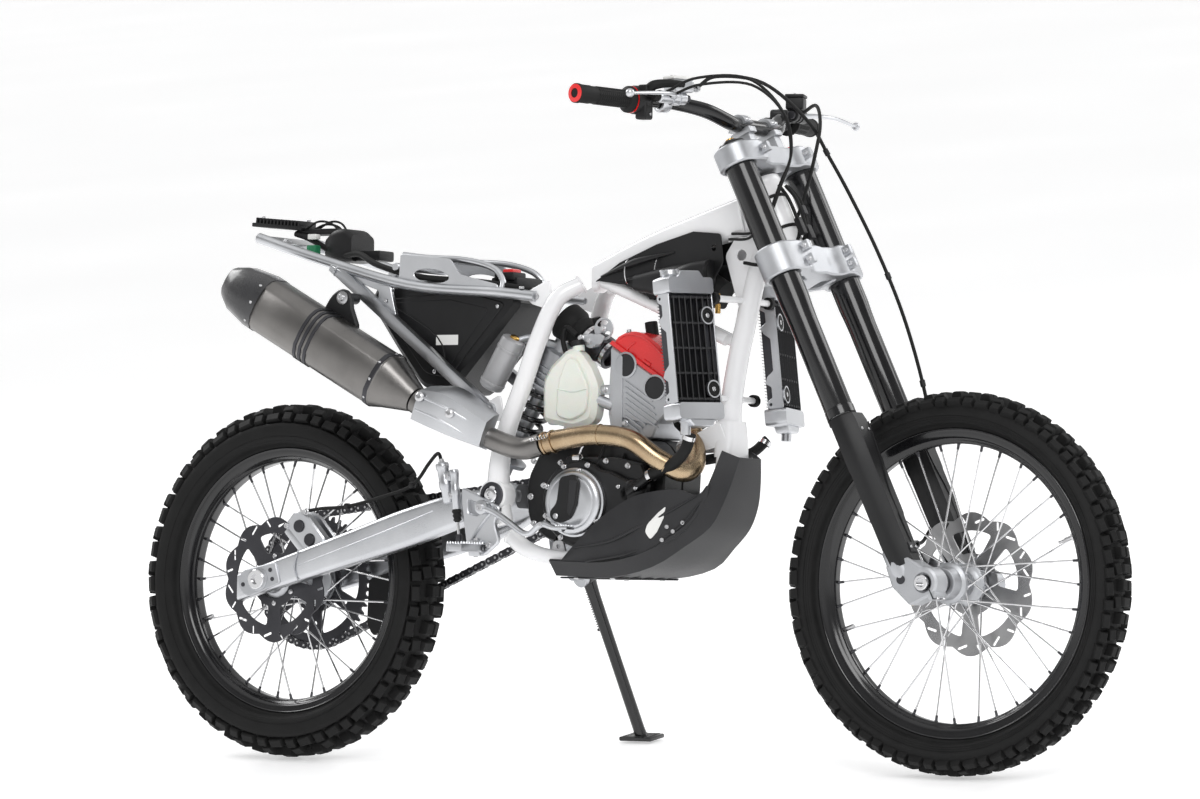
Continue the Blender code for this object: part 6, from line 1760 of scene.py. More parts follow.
def skid_plate():
    """A facetted moulded shell under the engine, with its side panels, vents and screws."""
    piece = Piece("skid_plate_moulded", "chassis", "grey_plastic", GREY)
    floor_line = [(0.060, 0.3530), (-0.060, 0.3510), (-0.150, 0.3705), (-0.206, 0.4080), (-0.250, 0.4440),
                  (-0.272, 0.4860), (-0.284, 0.5300), (-0.2915, 0.5720)]
    wall = 0.0035
    rings = []
    for y, z in floor_line:
        back = min(1.0, max(0.0, (-0.150 - y) / 0.100))
        rise = Vector((0, back * 0.026, 0.027 * (1 - 0.55 * back)))
        tip = 1 - 4.5 * max(0.0, z - 0.500)
        wide, narrow = drawn_in(0.1335, y + back * 0.026) * tip, drawn_in(0.108, y) * tip
        corners = [Vector((-wide, y, z)) + rise, Vector((-narrow, y, z)),
                   Vector((-0.3 * narrow, y - 0.001, z - 0.0008)),
                   Vector((0.3 * narrow, y - 0.001, z - 0.0008)), Vector((narrow, y, z)),
                   Vector((wide, y, z)) + rise]
        inward = Vector((0, back * wall, wall * (1 - 0.6 * back)))
        rings.append(corners + [Vector((c.x * 0.975, c.y, c.z)) + inward for c in reversed(corners)])
    piece.add(skin(between(rings, 3)))
    for side in (-1, 1):
        top = [(0.036, 0.3800), (0.011, 0.4060), (-0.045, 0.4560), (-0.105, 0.4920), (-0.150, 0.5060),
               (-0.200, 0.5130), (-0.226, 0.5040), (-0.240, 0.5060), (-0.250, 0.5200)]
        low = [(0.036, 0.3780), (0.000, 0.3765), (-0.060, 0.3775), (-0.105, 0.3860), (-0.150, 0.3960),
               (-0.192, 0.4180), (-0.226, 0.4500), (-0.248, 0.4900), (-0.2560, 0.5200)]
        shell = []
        for (y, z), (low_y, low_z) in zip(top, low):
            ring = []
            for share in (0.0, 0.18, 0.42, 0.62, 0.84, 1.0):
                py, pz = y + (low_y - y) * share, z + (low_z - z) * share
                swell = 0.0022 * max(0.0, 1 - abs(share - 0.42) / 0.42)
                ring.append((side * (drawn_in(0.1312, py) + swell), py, pz))
            ring += [(x - side * 0.0030, py, pz) for x, py, pz in reversed(ring)]
            shell.append(ring)
        piece.add(skin(between(shell, 3)))
        fold = [(side * drawn_in(0.1340, y), y, z) for y,
                z in ((0.006, 0.4040), (-0.070, 0.4160), (-0.130, 0.4400), (-0.190, 0.4720),
                      (-0.236, 0.5020))]
        piece.pipe(fold, [0.0012, 0.0028, 0.0030, 0.0028, 0.0012], sides=8)
        crease = [(side * drawn_in(0.1335, y), y, z) for y,
                  z in ((-0.020, 0.3790), (-0.120, 0.3960), (-0.200, 0.4380), (-0.240, 0.4880))]
        piece.pipe(crease, 0.0020, sides=8)
        piece.use(LABEL)
        tear = eased([(-0.158, 0.4200), (-0.148, 0.4340), (-0.152, 0.4480), (-0.172, 0.4700),
                      (-0.186, 0.4820), (-0.182, 0.4600), (-0.170, 0.4340)], 0.004)
        slant = at(side * drawn_in(0.1335, -0.165), -0.165, 0) @ turn(-side * 29, "Z")
        piece.add(slab([(y + 0.165, z) for y, z in tear], 0.0040, (), 0.0004), slant @ SIDEWAYS)
        piece.use(BOLT)
        piece.bolts([(side * drawn_in(0.1335, y), y, z) for y,
                     z in ((-0.178, 0.4200), (-0.196, 0.4360), (-0.212, 0.4520), (-0.186, 0.4440))],
                    (side, -0.5, 0), 0.0040, UNIT_CAP)
        piece.use(RUBBER)
        piece.add(brick((0.0010, 0.070, 0.0045), 0.0004, 1), at(side * 0.1330, -0.060, 0.3815)
                  @ turn(-4, "X"))
        piece.use(GREY)
    for index in range(5):
        x = (index - 2) * 0.042
        piece.add(brick((0.006, 0.150, 0.0035), 0.0012), at(x, -0.010, 0.3498))
    piece.use(BOLT)
    piece.bolts([(x, y, 0.3495) for x in (-0.085, 0.085) for y in (0.030, -0.050)], (0, 0, -1), 0.0050,
                UNIT_DOME)
    piece.done("skid_plate")


# ---- exhaust ----------------------------------------------------------------------------------
def exhaust():
    """Header with its joint and springs, shielded mid pipe and the facetted muffler."""
    path = [(0.0, -0.160, 0.640), (-0.026, -0.184, 0.606), (-0.062, -0.210, 0.562), (-0.090, -0.200, 0.546),
            (-0.116, -0.160, 0.570), (-0.130, -0.111, 0.603), (-0.134, -0.040, 0.612), (-0.136, 0.030, 0.604),
            (-0.138, 0.072, 0.596)]
    piece = Piece("exhaust_header_tinted", "chassis", "header_metal", HEADER)
    piece.pipe(path, [0.0185, 0.0190, 0.0195, 0.0195, 0.0192, 0.0192, 0.0192, 0.0196, 0.0200], sides=36,
               steps=8)
    run = flowing(path, 8)
    for share in (0.12, 0.46, 0.74):
        index = int(share * (len(run) - 1))
        collar(piece, run[index], run[index + 1] - run[index - 1], 0.0196, 0.0013)
    end = Vector(path[-1]) - Vector(path[-2])
    for shift in (-0.024, -0.006):
        spot = Vector(path[-1]) + end.normalized() * shift
        piece.add(eased_washer(0.0190, 0.0222, 0, 0.005, 36, 0.001), facing(end, spot))
    piece.use(CHROME)
    for angle in (20, 150):
        around_pipe = facing(end, Vector(path[-1])) @ turn(angle, "Z")
        spring = []
        for index in range(61):
            spin = math.tau * index / 10
            spring.append(around_pipe @ Vector((0.0265 + 0.0036 * math.cos(spin), 0.0036 * math.sin(spin),
                                                -0.024 + 0.036 * index / 60)))
        piece.pipe(spring, 0.0009, sides=6, steps=1)
    piece.use(BOLT)
    flange = facing(Vector(path[0]) - Vector(path[1]), path[0])
    piece.add(slab(eased([(-0.036, 0.0), (-0.014, 0.024), (0.014, 0.024), (0.036, 0.0), (0.014, -0.024),
                          (-0.014, -0.024)], 0.008), 0.006), flange @ at(0, 0, -0.004))
    piece.done("exhaust_header")

    front, back = Vector((-0.172, 0.3365, 0.6765)), Vector((-0.176, 0.764, 0.905))
    way = (back - front).normalized()
    piece = Piece("exhaust_mid_pipe_shielded", "chassis", "titanium", TITANIUM)
    path = [(-0.1384, 0.0755, 0.5953), (-0.1404, 0.120, 0.5868), (-0.151, 0.172, 0.602),
            (-0.162, 0.240, 0.634), front - way * 0.036, front - way * 0.002]
    piece.pipe(path, [0.0212, 0.0205, 0.0205, 0.0212, 0.0230, 0.0250], sides=32, steps=6)
    piece.use(ALUMINIUM)
    rings = [[(-0.184, 0.186, 0.590), (-0.187, 0.177, 0.612), (-0.184, 0.170, 0.634), (-0.168, 0.165, 0.646),
              (-0.150, 0.164, 0.650), (-0.150, 0.192, 0.584)],
             [(-0.214, 0.262, 0.618), (-0.2185, 0.252, 0.652), (-0.214, 0.243, 0.684), (-0.190, 0.238, 0.694),
              (-0.160, 0.238, 0.698), (-0.160, 0.271, 0.610)],
             [(-0.218, 0.318, 0.640), (-0.2220, 0.306, 0.668), (-0.216, 0.298, 0.694), (-0.190, 0.292, 0.702),
              (-0.162, 0.290, 0.704), (-0.162, 0.324, 0.630)]]
    piece.add(skin(between(rings, 4)))
    piece.use(BRUSHED)
    for lift in (-0.010, 0.014):
        groove = [(-0.1880, 0.192 - lift * 0.4, 0.612 + lift), (-0.2150, 0.250 - lift * 0.4, 0.648 + lift),
                  (-0.2205, 0.302 - lift * 0.4, 0.668 + lift)]
        piece.pipe(groove, [0.0015, 0.0035, 0.0020], sides=10)
    piece.use(BOLT)
    for place in ((-0.2150, 0.232, 0.6500), (-0.2235, 0.294, 0.6810)):
        piece.bolt(place, (-1, -0.2, 0.1), 0.0080, UNIT_DOME)
    piece.done("exhaust_mid_pipe")

    length = (back - front).length
    place = facing(back - front, front)
    corners = [(-0.036, -0.053), (0.036, -0.053), (0.050, -0.022), (0.050, 0.018), (0.032, 0.053),
               (-0.032, 0.053), (-0.050, 0.018), (-0.050, -0.022)]

    def level(height, share, grow=0.0, ease=0.016):
        """A facetted section of the can."""
        return [(x * share, y * share, height) for x, y in moved_out(wound(eased(corners, ease), True), grow)]

    piece = Piece("muffler_facetted", "chassis", "titanium", TITANIUM)
    piece.add(skin([level(0.074, 0.97, 0, 0.016), level(0.076, 1.0), level(length - 0.100, 1.0),
                    level(length - 0.098, 0.97)]), place)
    cone = []
    for step in range(7):
        share = step / 6
        round_section = [(math.cos(math.tau * i / 24) * 0.026, math.sin(math.tau * i / 24) * 0.026)
                         for i in range(24)]
        square = level(0, 1.0)
        ring = []
        for (cx, cy), (sx, sy, _) in zip(match(round_section, square), square):
            ring.append((cx + (sx * 0.97 - cx) * share, cy + (sy * 0.97 - cy) * share, 0.002 + 0.073 * share))
        cone.append(ring)
    piece.add(skin(cone), place)
    piece.use(CARBON)
    piece.add(skin([level(length - 0.100, 1.0, 0.0012), level(length - 0.080, 1.0, 0.0012),
                    level(length - 0.030, 0.86), level(length - 0.004, 0.62), level(length, 0.56)]), place)
    piece.use(DARK)
    piece.add(lathe([(0.017, 0), (0.022, 0.0), (0.022, 0.005), (0.017, 0.005), (0.017, -0.030), (0.0, -0.030),
                     (0.0, -0.031), (0.018, -0.031)], 36), place @ at(0, 0.004, length - 0.003))
    for height in (0.236, 0.249, 0.262):
        piece.add(skin([level(height, 1.0, 0.0002), level(height + 0.0008, 1.0, 0.0016),
                        level(height + 0.0070, 1.0, 0.0016), level(height + 0.0078, 1.0, 0.0002)]), place)
    piece.add(skin([level(0.0765, 1.0, 0.0002), level(0.0775, 1.0, 0.0014), level(0.0860, 1.0, 0.0014),
                    level(0.0868, 1.0, 0.0002)]), place)
    piece.use(PLASTIC)
    tab = eased([(0.484, 0.812), (0.520, 0.792), (0.575, 0.838), (0.548, 0.878), (0.524, 0.892),
                 (0.503, 0.880), (0.500, 0.852)], 0.010)
    piece.side_slab(tab, -0.1560, -0.1440, edge=0.003)
    piece.rod((-0.1445, 0.521, 0.872), (-0.1120, 0.521, 0.872), 0.0105, 20)
    piece.use(BOLT)
    piece.add(lathe([(0.0, 0.0), (0.0125, 0), (0.0125, 0.002), (0.009, 0.003), (0, 0.003)], 28),
              facing((-1, 0, 0), (-0.1560, 0.521, 0.872)))
    piece.bolt((-0.1588, 0.521, 0.872), (-1, 0, 0), 0.0068, UNIT_CAP)
    rivets = [(0.0515, 0.000), (-0.0515, 0.000), (0.0, 0.0545), (0.0, -0.0545), (0.043, 0.036),
              (-0.043, 0.036), (0.044, -0.038), (-0.044, -0.038)]
    for height in (0.0820, length - 0.0900):
        for x, y in rivets:
            piece.bolt(place @ Vector((x * 0.995, y * 0.995, height)), place.to_3x3() @ Vector((x, y, 0)),
                       0.0024, UNIT_DOME)
    piece.done("muffler")


def match(ring, wanted):
    """Points of a round ring at the directions of another ring's points."""
    radius = math.hypot(*ring[0])
    made = []
    for point in wanted:
        angle = math.atan2(point[1], point[0])
        made.append((radius * math.cos(angle), radius * math.sin(angle)))
    return made


# ---- running gear -----------------------------------------------------------------------------
def pegs():
    """Bracket plates with toothed, sprung foot pegs."""
    for name, side in SIDES:
        piece = Piece("footpeg_toothed_" + name, "chassis", "aluminium", ALUMINIUM)
        outline = [(0.162, 0.478), (0.250, 0.516), (0.249, 0.484), (0.236, 0.400), (0.200, 0.386),
                   (0.164, 0.414), (0.176, 0.450)]
        low, high = side * 0.1345, side * 0.1460
        holes = [eased([(0.206, 0.482), (0.236, 0.494), (0.234, 0.466), (0.208, 0.462)], 0.005)]
        piece.side_slab(eased(outline, 0.007), low, high, holes, edge=0.002)
        piece.pipe(sided(side, [(0.1465, 0.172, 0.476), (0.1475, 0.200, 0.450), (0.1470, 0.228, 0.412)]),
                   0.0030, sides=8)
        seat = Vector((side * 0.182, 0.212, 0.402))
        for reach in (-0.0155, 0.0155):
            piece.add(brick((0.074, 0.0035, 0.015), 0.001),
                      Matrix.Translation(seat + Vector((side * 0.004, reach, 0))))
        for share in (-0.030, -0.012, 0.006, 0.024, 0.038):
            piece.add(brick((0.0035, 0.031, 0.013), 0.001),
                      Matrix.Translation(seat + Vector((side * share, 0, -0.0005))))
        tooth = lathe([(0.0026, 0), (0.0008, 0.0042), (0, 0.0042)], 4)
        for index in range(9):
            for reach in (-0.0155, 0.0155):
                piece.add(tooth, Matrix.Translation(seat + Vector((side * (-0.030 + index * 0.0086), reach,
                                                                   0.0072))), keep=True)
        piece.add(brick((0.018, 0.026, 0.030), 0.003),
                  Matrix.Translation(seat + Vector((-side * 0.034, 0, 0.0))))
        piece.use(BOLT)
        piece.rod(seat + Vector((-side * 0.0320, 0, -0.017)), seat + Vector((-side * 0.0320, 0, 0.019)),
                  0.0042, 14)
        for y, z in ((0.178, 0.470), (0.224, 0.404), (0.186, 0.408)):
            piece.bolt((high, y, z), (side, 0, 0), 0.0056, UNIT_CAP)
        piece.use(DARK)
        coil = [seat + Vector((-side * 0.0300 + 0.0058 * math.cos(a), -0.020 + 0.0006 * a,
                               0.0058 * math.sin(a))) for a in (math.tau * i / 10 for i in range(35))]
        piece.pipe(coil, 0.0011, sides=6, steps=1)
        if side > 0:
            piece.use(CAST)
            piece.side_slab(eased([(0.168, 0.424), (0.212, 0.396), (0.186, 0.346), (0.150, 0.346)], 0.005),
                            0.1280, 0.1370)
            boss = STAND_PIVOT - STAND_AXIS * 0.018
            piece.rod(boss, STAND_PIVOT - STAND_AXIS * 0.0052, 0.0155)
            piece.pipe([(0.1325, 0.170, 0.372), boss.lerp(Vector((0.1325, 0.170, 0.372)), 0.4), boss],
                       0.0105, sides=16)
        piece.done("footpeg_" + name)


def pedals():
    """Rear brake pedal with its step tip, and the shift lever."""
    x = -0.1535
    piece = Piece("brake_pedal_forged", "chassis", "aluminium", ALUMINIUM)
    arm = [(x, 0.196, 0.478), (x, 0.168, 0.468), (x, 0.140, 0.452), (x, 0.108, 0.432), (x, 0.090, 0.430),
           (x, 0.076, 0.440), (x, 0.062, 0.447), (x, 0.040, 0.441), (x - 0.003, 0.014, 0.437)]
    piece.pipe(arm, [0.0090, 0.0085, 0.0080, 0.0075, 0.0072, 0.0072, 0.0078, 0.0065, 0.0055], sides=14,
               steps=5, flat=0.75)
    piece.add(drum(0.0135, 0, 0.013, 32, 0.0015),
              facing((-1, 0, 0), (x + 0.0060, 0.196, 0.478)))
    step = at(x - 0.012, 0.008, 0.4400)
    piece.add(brick((0.028, 0.032, 0.006), 0.002), step)
    tooth = lathe([(0.0026, 0), (0.0010, 0.0032), (0, 0.0032)], 4)
    for tooth_x in (-0.009, 0.0, 0.009):
        for tooth_y in (-0.011, 0.0, 0.011):
            piece.add(tooth, step @ at(tooth_x, tooth_y, 0.0028), keep=True)
    piece.use(BOLT).bolt((x - 0.0070, 0.196, 0.478), (-1, 0, 0), 0.0070, UNIT_CAP)
    piece.bolt((x - 0.0070, 0.062, 0.447), (-1, 0, 0), 0.0042, UNIT_CAP)
    piece.use(DARK)
    coil = [Vector((x + 0.0095 + 0.0012 * i / 10, 0.196 + 0.011 * math.cos(math.tau * i / 10),
                    0.478 + 0.011 * math.sin(math.tau * i / 10))) for i in range(30)]
    piece.pipe(coil, 0.0010, sides=6, steps=1)
    piece.done("brake_pedal")

    piece = Piece("shift_lever_forged", "chassis", "steel", ALUMINIUM)
    piece.pipe([(0.1475, 0.066, 0.452), (0.1475, 0.040, 0.452), (0.1475, 0.010, 0.444),
                (0.1475, -0.035, 0.438), (0.1475, -0.082, 0.440)], [0.0082, 0.0068, 0.0060, 0.0055, 0.0062],
               sides=14, steps=5, flat=0.8)
    piece.use(CHROME).rod((0.058, 0.066, 0.452), (0.140, 0.066, 0.452), 0.0070)
    piece.use(ALUMINIUM)
    piece.add(drum(0.0115, 0, 0.014, 28, 0.001),
              facing((1, 0, 0), (0.1395, 0.066, 0.452)))
    toe = [(0.0, 0.0), (0.0080, 0.0005)]
    for index in range(7):
        toe += [(0.0080, 0.006 + index * 0.0040), (0.0070, 0.0072 + index * 0.0040),
                (0.0070, 0.0082 + index * 0.0040), (0.0080, 0.0094 + index * 0.0040)]
    toe += [(0.0080, 0.036), (0.0, 0.0365)]
    piece.use(RUBBER).add(lathe(toe, 24), facing((1, 0, 0), (0.1475, -0.080, 0.440)))
    piece.use(BOLT).bolt((0.1475, 0.0755, 0.4455), (0, 0.3, -1), 0.0040, UNIT_CAP)
    piece.done("shift_lever")


def rear_brake():
    """Rear master cylinder, caliper and the line between them."""
    piece = Piece("rear_master_machined", "chassis", "aluminium", ALUMINIUM)
    for top, bottom, radius in (((-0.138, 0.300, 0.560), (-0.138, 0.282, 0.486), 0.0125),
                                ((-0.142, 0.270, 0.548), (-0.142, 0.262, 0.472), 0.0088)):
        top, bottom = Vector(top), Vector(bottom)
        length = (bottom - top).length
        place = facing(bottom - top, top)
        profile = [(0, 0), (radius * 0.9, 0), (radius, 0.002), (radius, 0.010), (radius * 0.88, 0.012),
                   (radius * 0.88, length * 0.42), (radius, length * 0.46), (radius, length * 0.62),
                   (radius * 0.86, length * 0.66), (radius * 0.86, length - 0.003), (radius * 0.7, length),
                   (0, length)]
        piece.add(lathe(profile, 32), place)
    piece.add(brick((0.013, 0.036, 0.018), 0.003), at(-0.140, 0.281, 0.536))
    piece.add(brick((0.013, 0.028, 0.014), 0.003), at(-0.140, 0.272, 0.500))
    piece.use(RUBBER)
    boot = [(0.0082, 0), (0.0096, 0.004), (0.0072, 0.008), (0.0088, 0.012), (0.0066, 0.016), (0.0080, 0.020),
            (0.0040, 0.024), (0, 0.024)]
    piece.add(lathe(boot, 24), facing((0, -0.08, -0.76), (-0.142, 0.262, 0.474)))
    piece.use(CHROME).rod((-0.142, 0.2595, 0.452), (-0.142, 0.2560, 0.424), 0.0028, 12)
    piece.use(DARK).add(brick((0.010, 0.010, 0.020), 0.002), at(-0.142, 0.2555, 0.418))
    piece.use(BOLT)
    piece.bolts([(-0.1465, 0.281, 0.536), (-0.1465, 0.272, 0.500)], (-1, 0, 0), 0.0042, UNIT_CAP)
    piece.use(RUBBER)
    line = [(-0.138, 0.302, 0.5615), (-0.136, 0.306, 0.574), (-0.126, 0.320, 0.578), (-0.116, 0.345, 0.560),
            (-0.104, 0.390, 0.520), (-0.103, 0.460, 0.498), (-0.102, 0.540, 0.480), (-0.098, 0.600, 0.476),
            (-0.088, 0.640, 0.472)]
    piece.pipe(line, 0.0034, sides=12, steps=6)
    piece.use(PLASTIC)
    for spot in (line[4], line[6]):
        piece.add(brick((0.012, 0.010, 0.012), 0.003), at(*spot))
    piece.use(BOLT)
    piece.bolt((-0.138, 0.301, 0.5615), (0, 0.2, 1), 0.0052)
    piece.done("rear_master_cylinder")

    piece = Piece("rear_caliper_cast", "chassis", "aluminium", ALUMINIUM)
    tilt = Matrix.Translation((0, 0.644, 0.428)) @ turn(-44, "X")
    outline = eased([(-0.028, -0.044), (0.026, -0.046), (0.030, -0.010), (0.024, 0.044), (-0.016, 0.047),
                     (-0.030, 0.020)], 0.008)
    for low, high in ((-0.0970, -0.0745), (-0.0560, -0.0470)):
        piece.add(slab(outline, high - low, (), 0.003), tilt @ at((low + high) / 2, 0, 0) @ SIDEWAYS)
    piece.add(brick((0.050, 0.016, 0.070), 0.004), tilt @ at(-0.0725, 0.024, 0.0))
    piece.use(DARK)
    for z in (-0.018, 0.018):
        piece.add(lathe([(0, 0.0035), (0.0105, 0.0035), (0.0120, 0.002), (0.0125, 0)], 28),
                  tilt @ at(-0.0970, -0.002, z) @ turn(-90, "Y"))
    piece.use(BOLT)
    for y, z in ((0.022, -0.036), (0.018, 0.038)):
        piece.bolt(tilt @ Vector((-0.0970, y, z)), (-1, 0, 0), 0.0050, UNIT_CAP)
    piece.bolt((-0.0970, 0.640, 0.470), (-1, 0, 0), 0.0055)
    piece.done("rear_caliper")


def chain_line(extra):
    """The chain's path round both sprockets as (y, z), moved outwards by extra."""
    small, large = 0.0329 + extra, 0.1263 + extra
    gap = Vector((REAR_AXLE.y - SPROCKET_SHAFT.y, REAR_AXLE.z - SPROCKET_SHAFT.z))
    tilt = math.degrees(math.atan2(gap.y, gap.x))
    wrap = math.degrees(math.asin((large - small) / gap.length))
    return (arc(SPROCKET_SHAFT.yz, small, tilt + 90 + wrap, tilt + 270 - wrap, 24)
            + arc(REAR_AXLE.yz, large, tilt - 90 - wrap, tilt + 90 + wrap, 48))


def drive():
    """The chain link by link, and its guide block."""
    ring = [Vector((0, y, z)) for y, z in chain_line(0)]
    ring.append(ring[0])
    length = sum((b - a).length for a, b in zip(ring, ring[1:]))
    count = 2 * round(length / CHAIN_PITCH / 2)
    joints = spread(ring, count + 1)[:-1]
    half = length / count / 2
    waist = arc((half, 0), 0.0072, -118, 118, 9) + arc((-half, 0), 0.0072, 62, 298, 9)
    plate = slab(waist, 0.0017, (), 0.0003)
    roller = lathe([(0.0, -0.0032), (0.0050, -0.0032), (0.0050, 0.0032), (0.0, 0.0032)], 12)
    pin = lathe([(0.0, -0.0078), (0.0022, -0.0078), (0.0026, -0.0072), (0.0026, 0.0072), (0.0022, 0.0078),
                 (0.0, 0.0078)], 8)
    piece = Piece("drive_chain_links", "chassis", "dark_steel", DARK)
    for index, start in enumerate(joints):
        end = joints[(index + 1) % count]
        way = end - start
        middle = (start + end) / 2
        spin = Matrix.Rotation(math.atan2(way.z, way.y), 4, "X")
        offset = 0.0063 if index % 2 else 0.0044
        for side in (-1, 1):
            place = at(SPROCKET_SHAFT.x + side * offset, middle.y, middle.z) @ spin @ SIDEWAYS
            piece.use(DARK if index % 2 else BOLT).add(plate, place, keep=True)
        hub_place = at(SPROCKET_SHAFT.x, start.y, start.z) @ turn(90, "Y")
        piece.use(DARK).add(roller, hub_place, keep=True)
        piece.use(BOLT).add(pin, hub_place, keep=True)
    piece.done("drive_chain")

    piece = Piece("chain_guide_moulded", "chassis", "black_plastic", PLASTIC)
    outline = eased([(0.505, 0.372), (0.600, 0.345), (0.603, 0.258), (0.588, 0.236), (0.520, 0.268),
                     (0.505, 0.300)], 0.007)
    for low, high in ((0.0575, 0.0608), (0.0772, 0.0870)):
        piece.side_slab(outline, low, high, edge=0.001)
    piece.side_slab(eased([(0.506, 0.340), (0.602, 0.312), (0.603, 0.280), (0.540, 0.296), (0.506, 0.322)],
                          0.004), 0.0600, 0.0780)
    piece.side_slab(eased([(0.520, 0.268), (0.588, 0.2365), (0.598, 0.246), (0.525, 0.280)], 0.003), 0.0600,
                    0.0780)
    piece.use(ALUMINIUM)
    piece.side_slab(eased([(0.512, 0.372), (0.596, 0.346), (0.594, 0.326), (0.512, 0.352)], 0.003), 0.0860,
                    0.0890)
    piece.use(BOLT)
    piece.bolts([(0.0890, 0.530, 0.357), (0.0890, 0.580, 0.342), (0.0870, 0.548, 0.276),
                 (0.0870, 0.586, 0.262)], (1, 0, 0), 0.0040, UNIT_CAP)
    piece.done("chain_guide")


def electronics():
    """Finned regulator, relay with its red cap, and connectors on the tail."""
    piece = Piece("tail_electronics_finned", "chassis", "black_plastic", CASE_BLACK)
    deck = at(0.0, 0.770, 1.0205) @ turn(5, "X")
    piece.add(brick((0.060, 0.118, 0.008), 0.002), deck)
    for index in range(13):
        piece.add(brick((0.056, 0.0040, 0.014), 0.0012), deck @ at(0, -0.050 + index * 0.0083, 0.0075))
    piece.use(PLASTIC)
    piece.add(brick((0.038, 0.098, 0.012), 0.004), at(0.0, 0.682, 1.009))
    rings = [oblong(-0.038, 0.038, 0.950, 1.000, 0.587, 0.010),
             oblong(-0.040, 0.040, 0.948, 1.012, 0.605, 0.012),
             oblong(-0.038, 0.038, 0.950, 1.010, 0.632, 0.012),
             oblong(-0.030, 0.030, 0.956, 0.996, 0.654, 0.010)]
    piece.add(skin(between(rings, 4)))
    piece.add(brick((0.050, 0.060, 0.020), 0.004), at(0.0, 0.560, 0.960))
    piece.use(RUBBER)
    loom = [(-0.060, 0.150, 0.885), (-0.078, 0.260, 0.902), (-0.078, 0.400, 0.914), (-0.070, 0.500, 0.938),
            (-0.050, 0.560, 0.962), (-0.030, 0.620, 0.962), (-0.026, 0.690, 0.994), (-0.020, 0.730, 1.006)]
    piece.pipe(loom, 0.0058, sides=14, steps=6)
    for x, lift in ((-0.016, 0.004), (0.004, 0.0), (0.018, 0.006)):
        piece.pipe([(x, 0.712, 1.012), (x * 1.2, 0.680, 1.024 + lift), (x, 0.650, 1.020 + lift),
                    (x * 0.6, 0.628, 1.004)], 0.0022, sides=8, steps=6)
    piece.use(surface("green_connector", (0.015, 0.16, 0.07), (0.03, 0.24, 0.11), (0.35, 0.5)))
    piece.add(brick((0.018, 0.022, 0.018), 0.003), at(-0.048, 0.668, 0.972))
    piece.use(LABEL)
    piece.add(brick((0.016, 0.020, 0.010), 0.002), at(-0.036, 0.676, 0.998))
    piece.use(RED)
    piece.add(brick((0.030, 0.024, 0.014), 0.004), at(-0.030, 0.222, 0.921))
    piece.use(PLASTIC)
    piece.add(brick((0.044, 0.044, 0.016), 0.004), at(-0.030, 0.226, 0.9135))
    piece.use(BOLT)
    piece.bolts([deck @ Vector((0, y, 0.0145)) for y in (-0.054, 0.054)], (0, 0, 1), 0.0040, UNIT_CAP)
    piece.done("tail_electronics")


def side_stand():
    """The stand's leg, forged eye, foot and springs."""
    axis = STAND_AXIS
    foot_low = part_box("side_stand")[0]
    low_points = [UPRIGHT @ v.co for v in frame["nodes"]["side_stand"].data.vertices if v.co.z < foot_low.z
                  + 0.0105]
    foot = sum(low_points, Vector()) / len(low_points)
    ground = LEANED.inverted()
    piece = Piece("side_stand_forged", "stand", "black_gloss_paint", GLOSS_BLACK)
    top = STAND_PIVOT + axis * 0.0075
    way = (foot - top).normalized()
    piece.pipe([top + way * 0.002, top + way * 0.045, top.lerp(foot, 0.5), foot - way * 0.020,
                foot - way * 0.004], [0.0145, 0.0118, 0.0112, 0.0112, 0.0135], sides=24, steps=5)
    piece.add(drum(0.0178, 0, 0.0230, 36, 0.002),
              facing(axis, STAND_PIVOT - axis * 0.0042))
    pad = Matrix.Translation(foot) @ ground
    piece.add(brick((0.050, 0.072, 0.0085), 0.003), pad)
    for index in range(5):
        piece.add(brick((0.0035, 0.060, 0.0016), 0.0005, 1), pad @ at(-0.018 + index * 0.009, 0, 0.0045))
    piece.use(BOLT).bolt(STAND_PIVOT + axis * 0.0188, axis, 0.0078)
    piece.use(DARK)
    hook = STAND_PIVOT + axis * 0.010 + way * 0.030
    coil = []
    for index in range(121):
        spin = math.tau * index / 8
        coil.append(hook + way * (0.004 + 0.075 * index / 120)
                    + Vector((0.0040 * math.cos(spin), 0.014 + 0.0040 * math.sin(spin), 0)))
    piece.pipe(coil, 0.0009, sides=6, steps=1)
    piece.rod(hook + Vector((0, -0.004, 0)) + way * 0.082, hook + Vector((0, 0.020, 0)) + way * 0.082,
              0.003, 12)
    piece.done("side_stand")


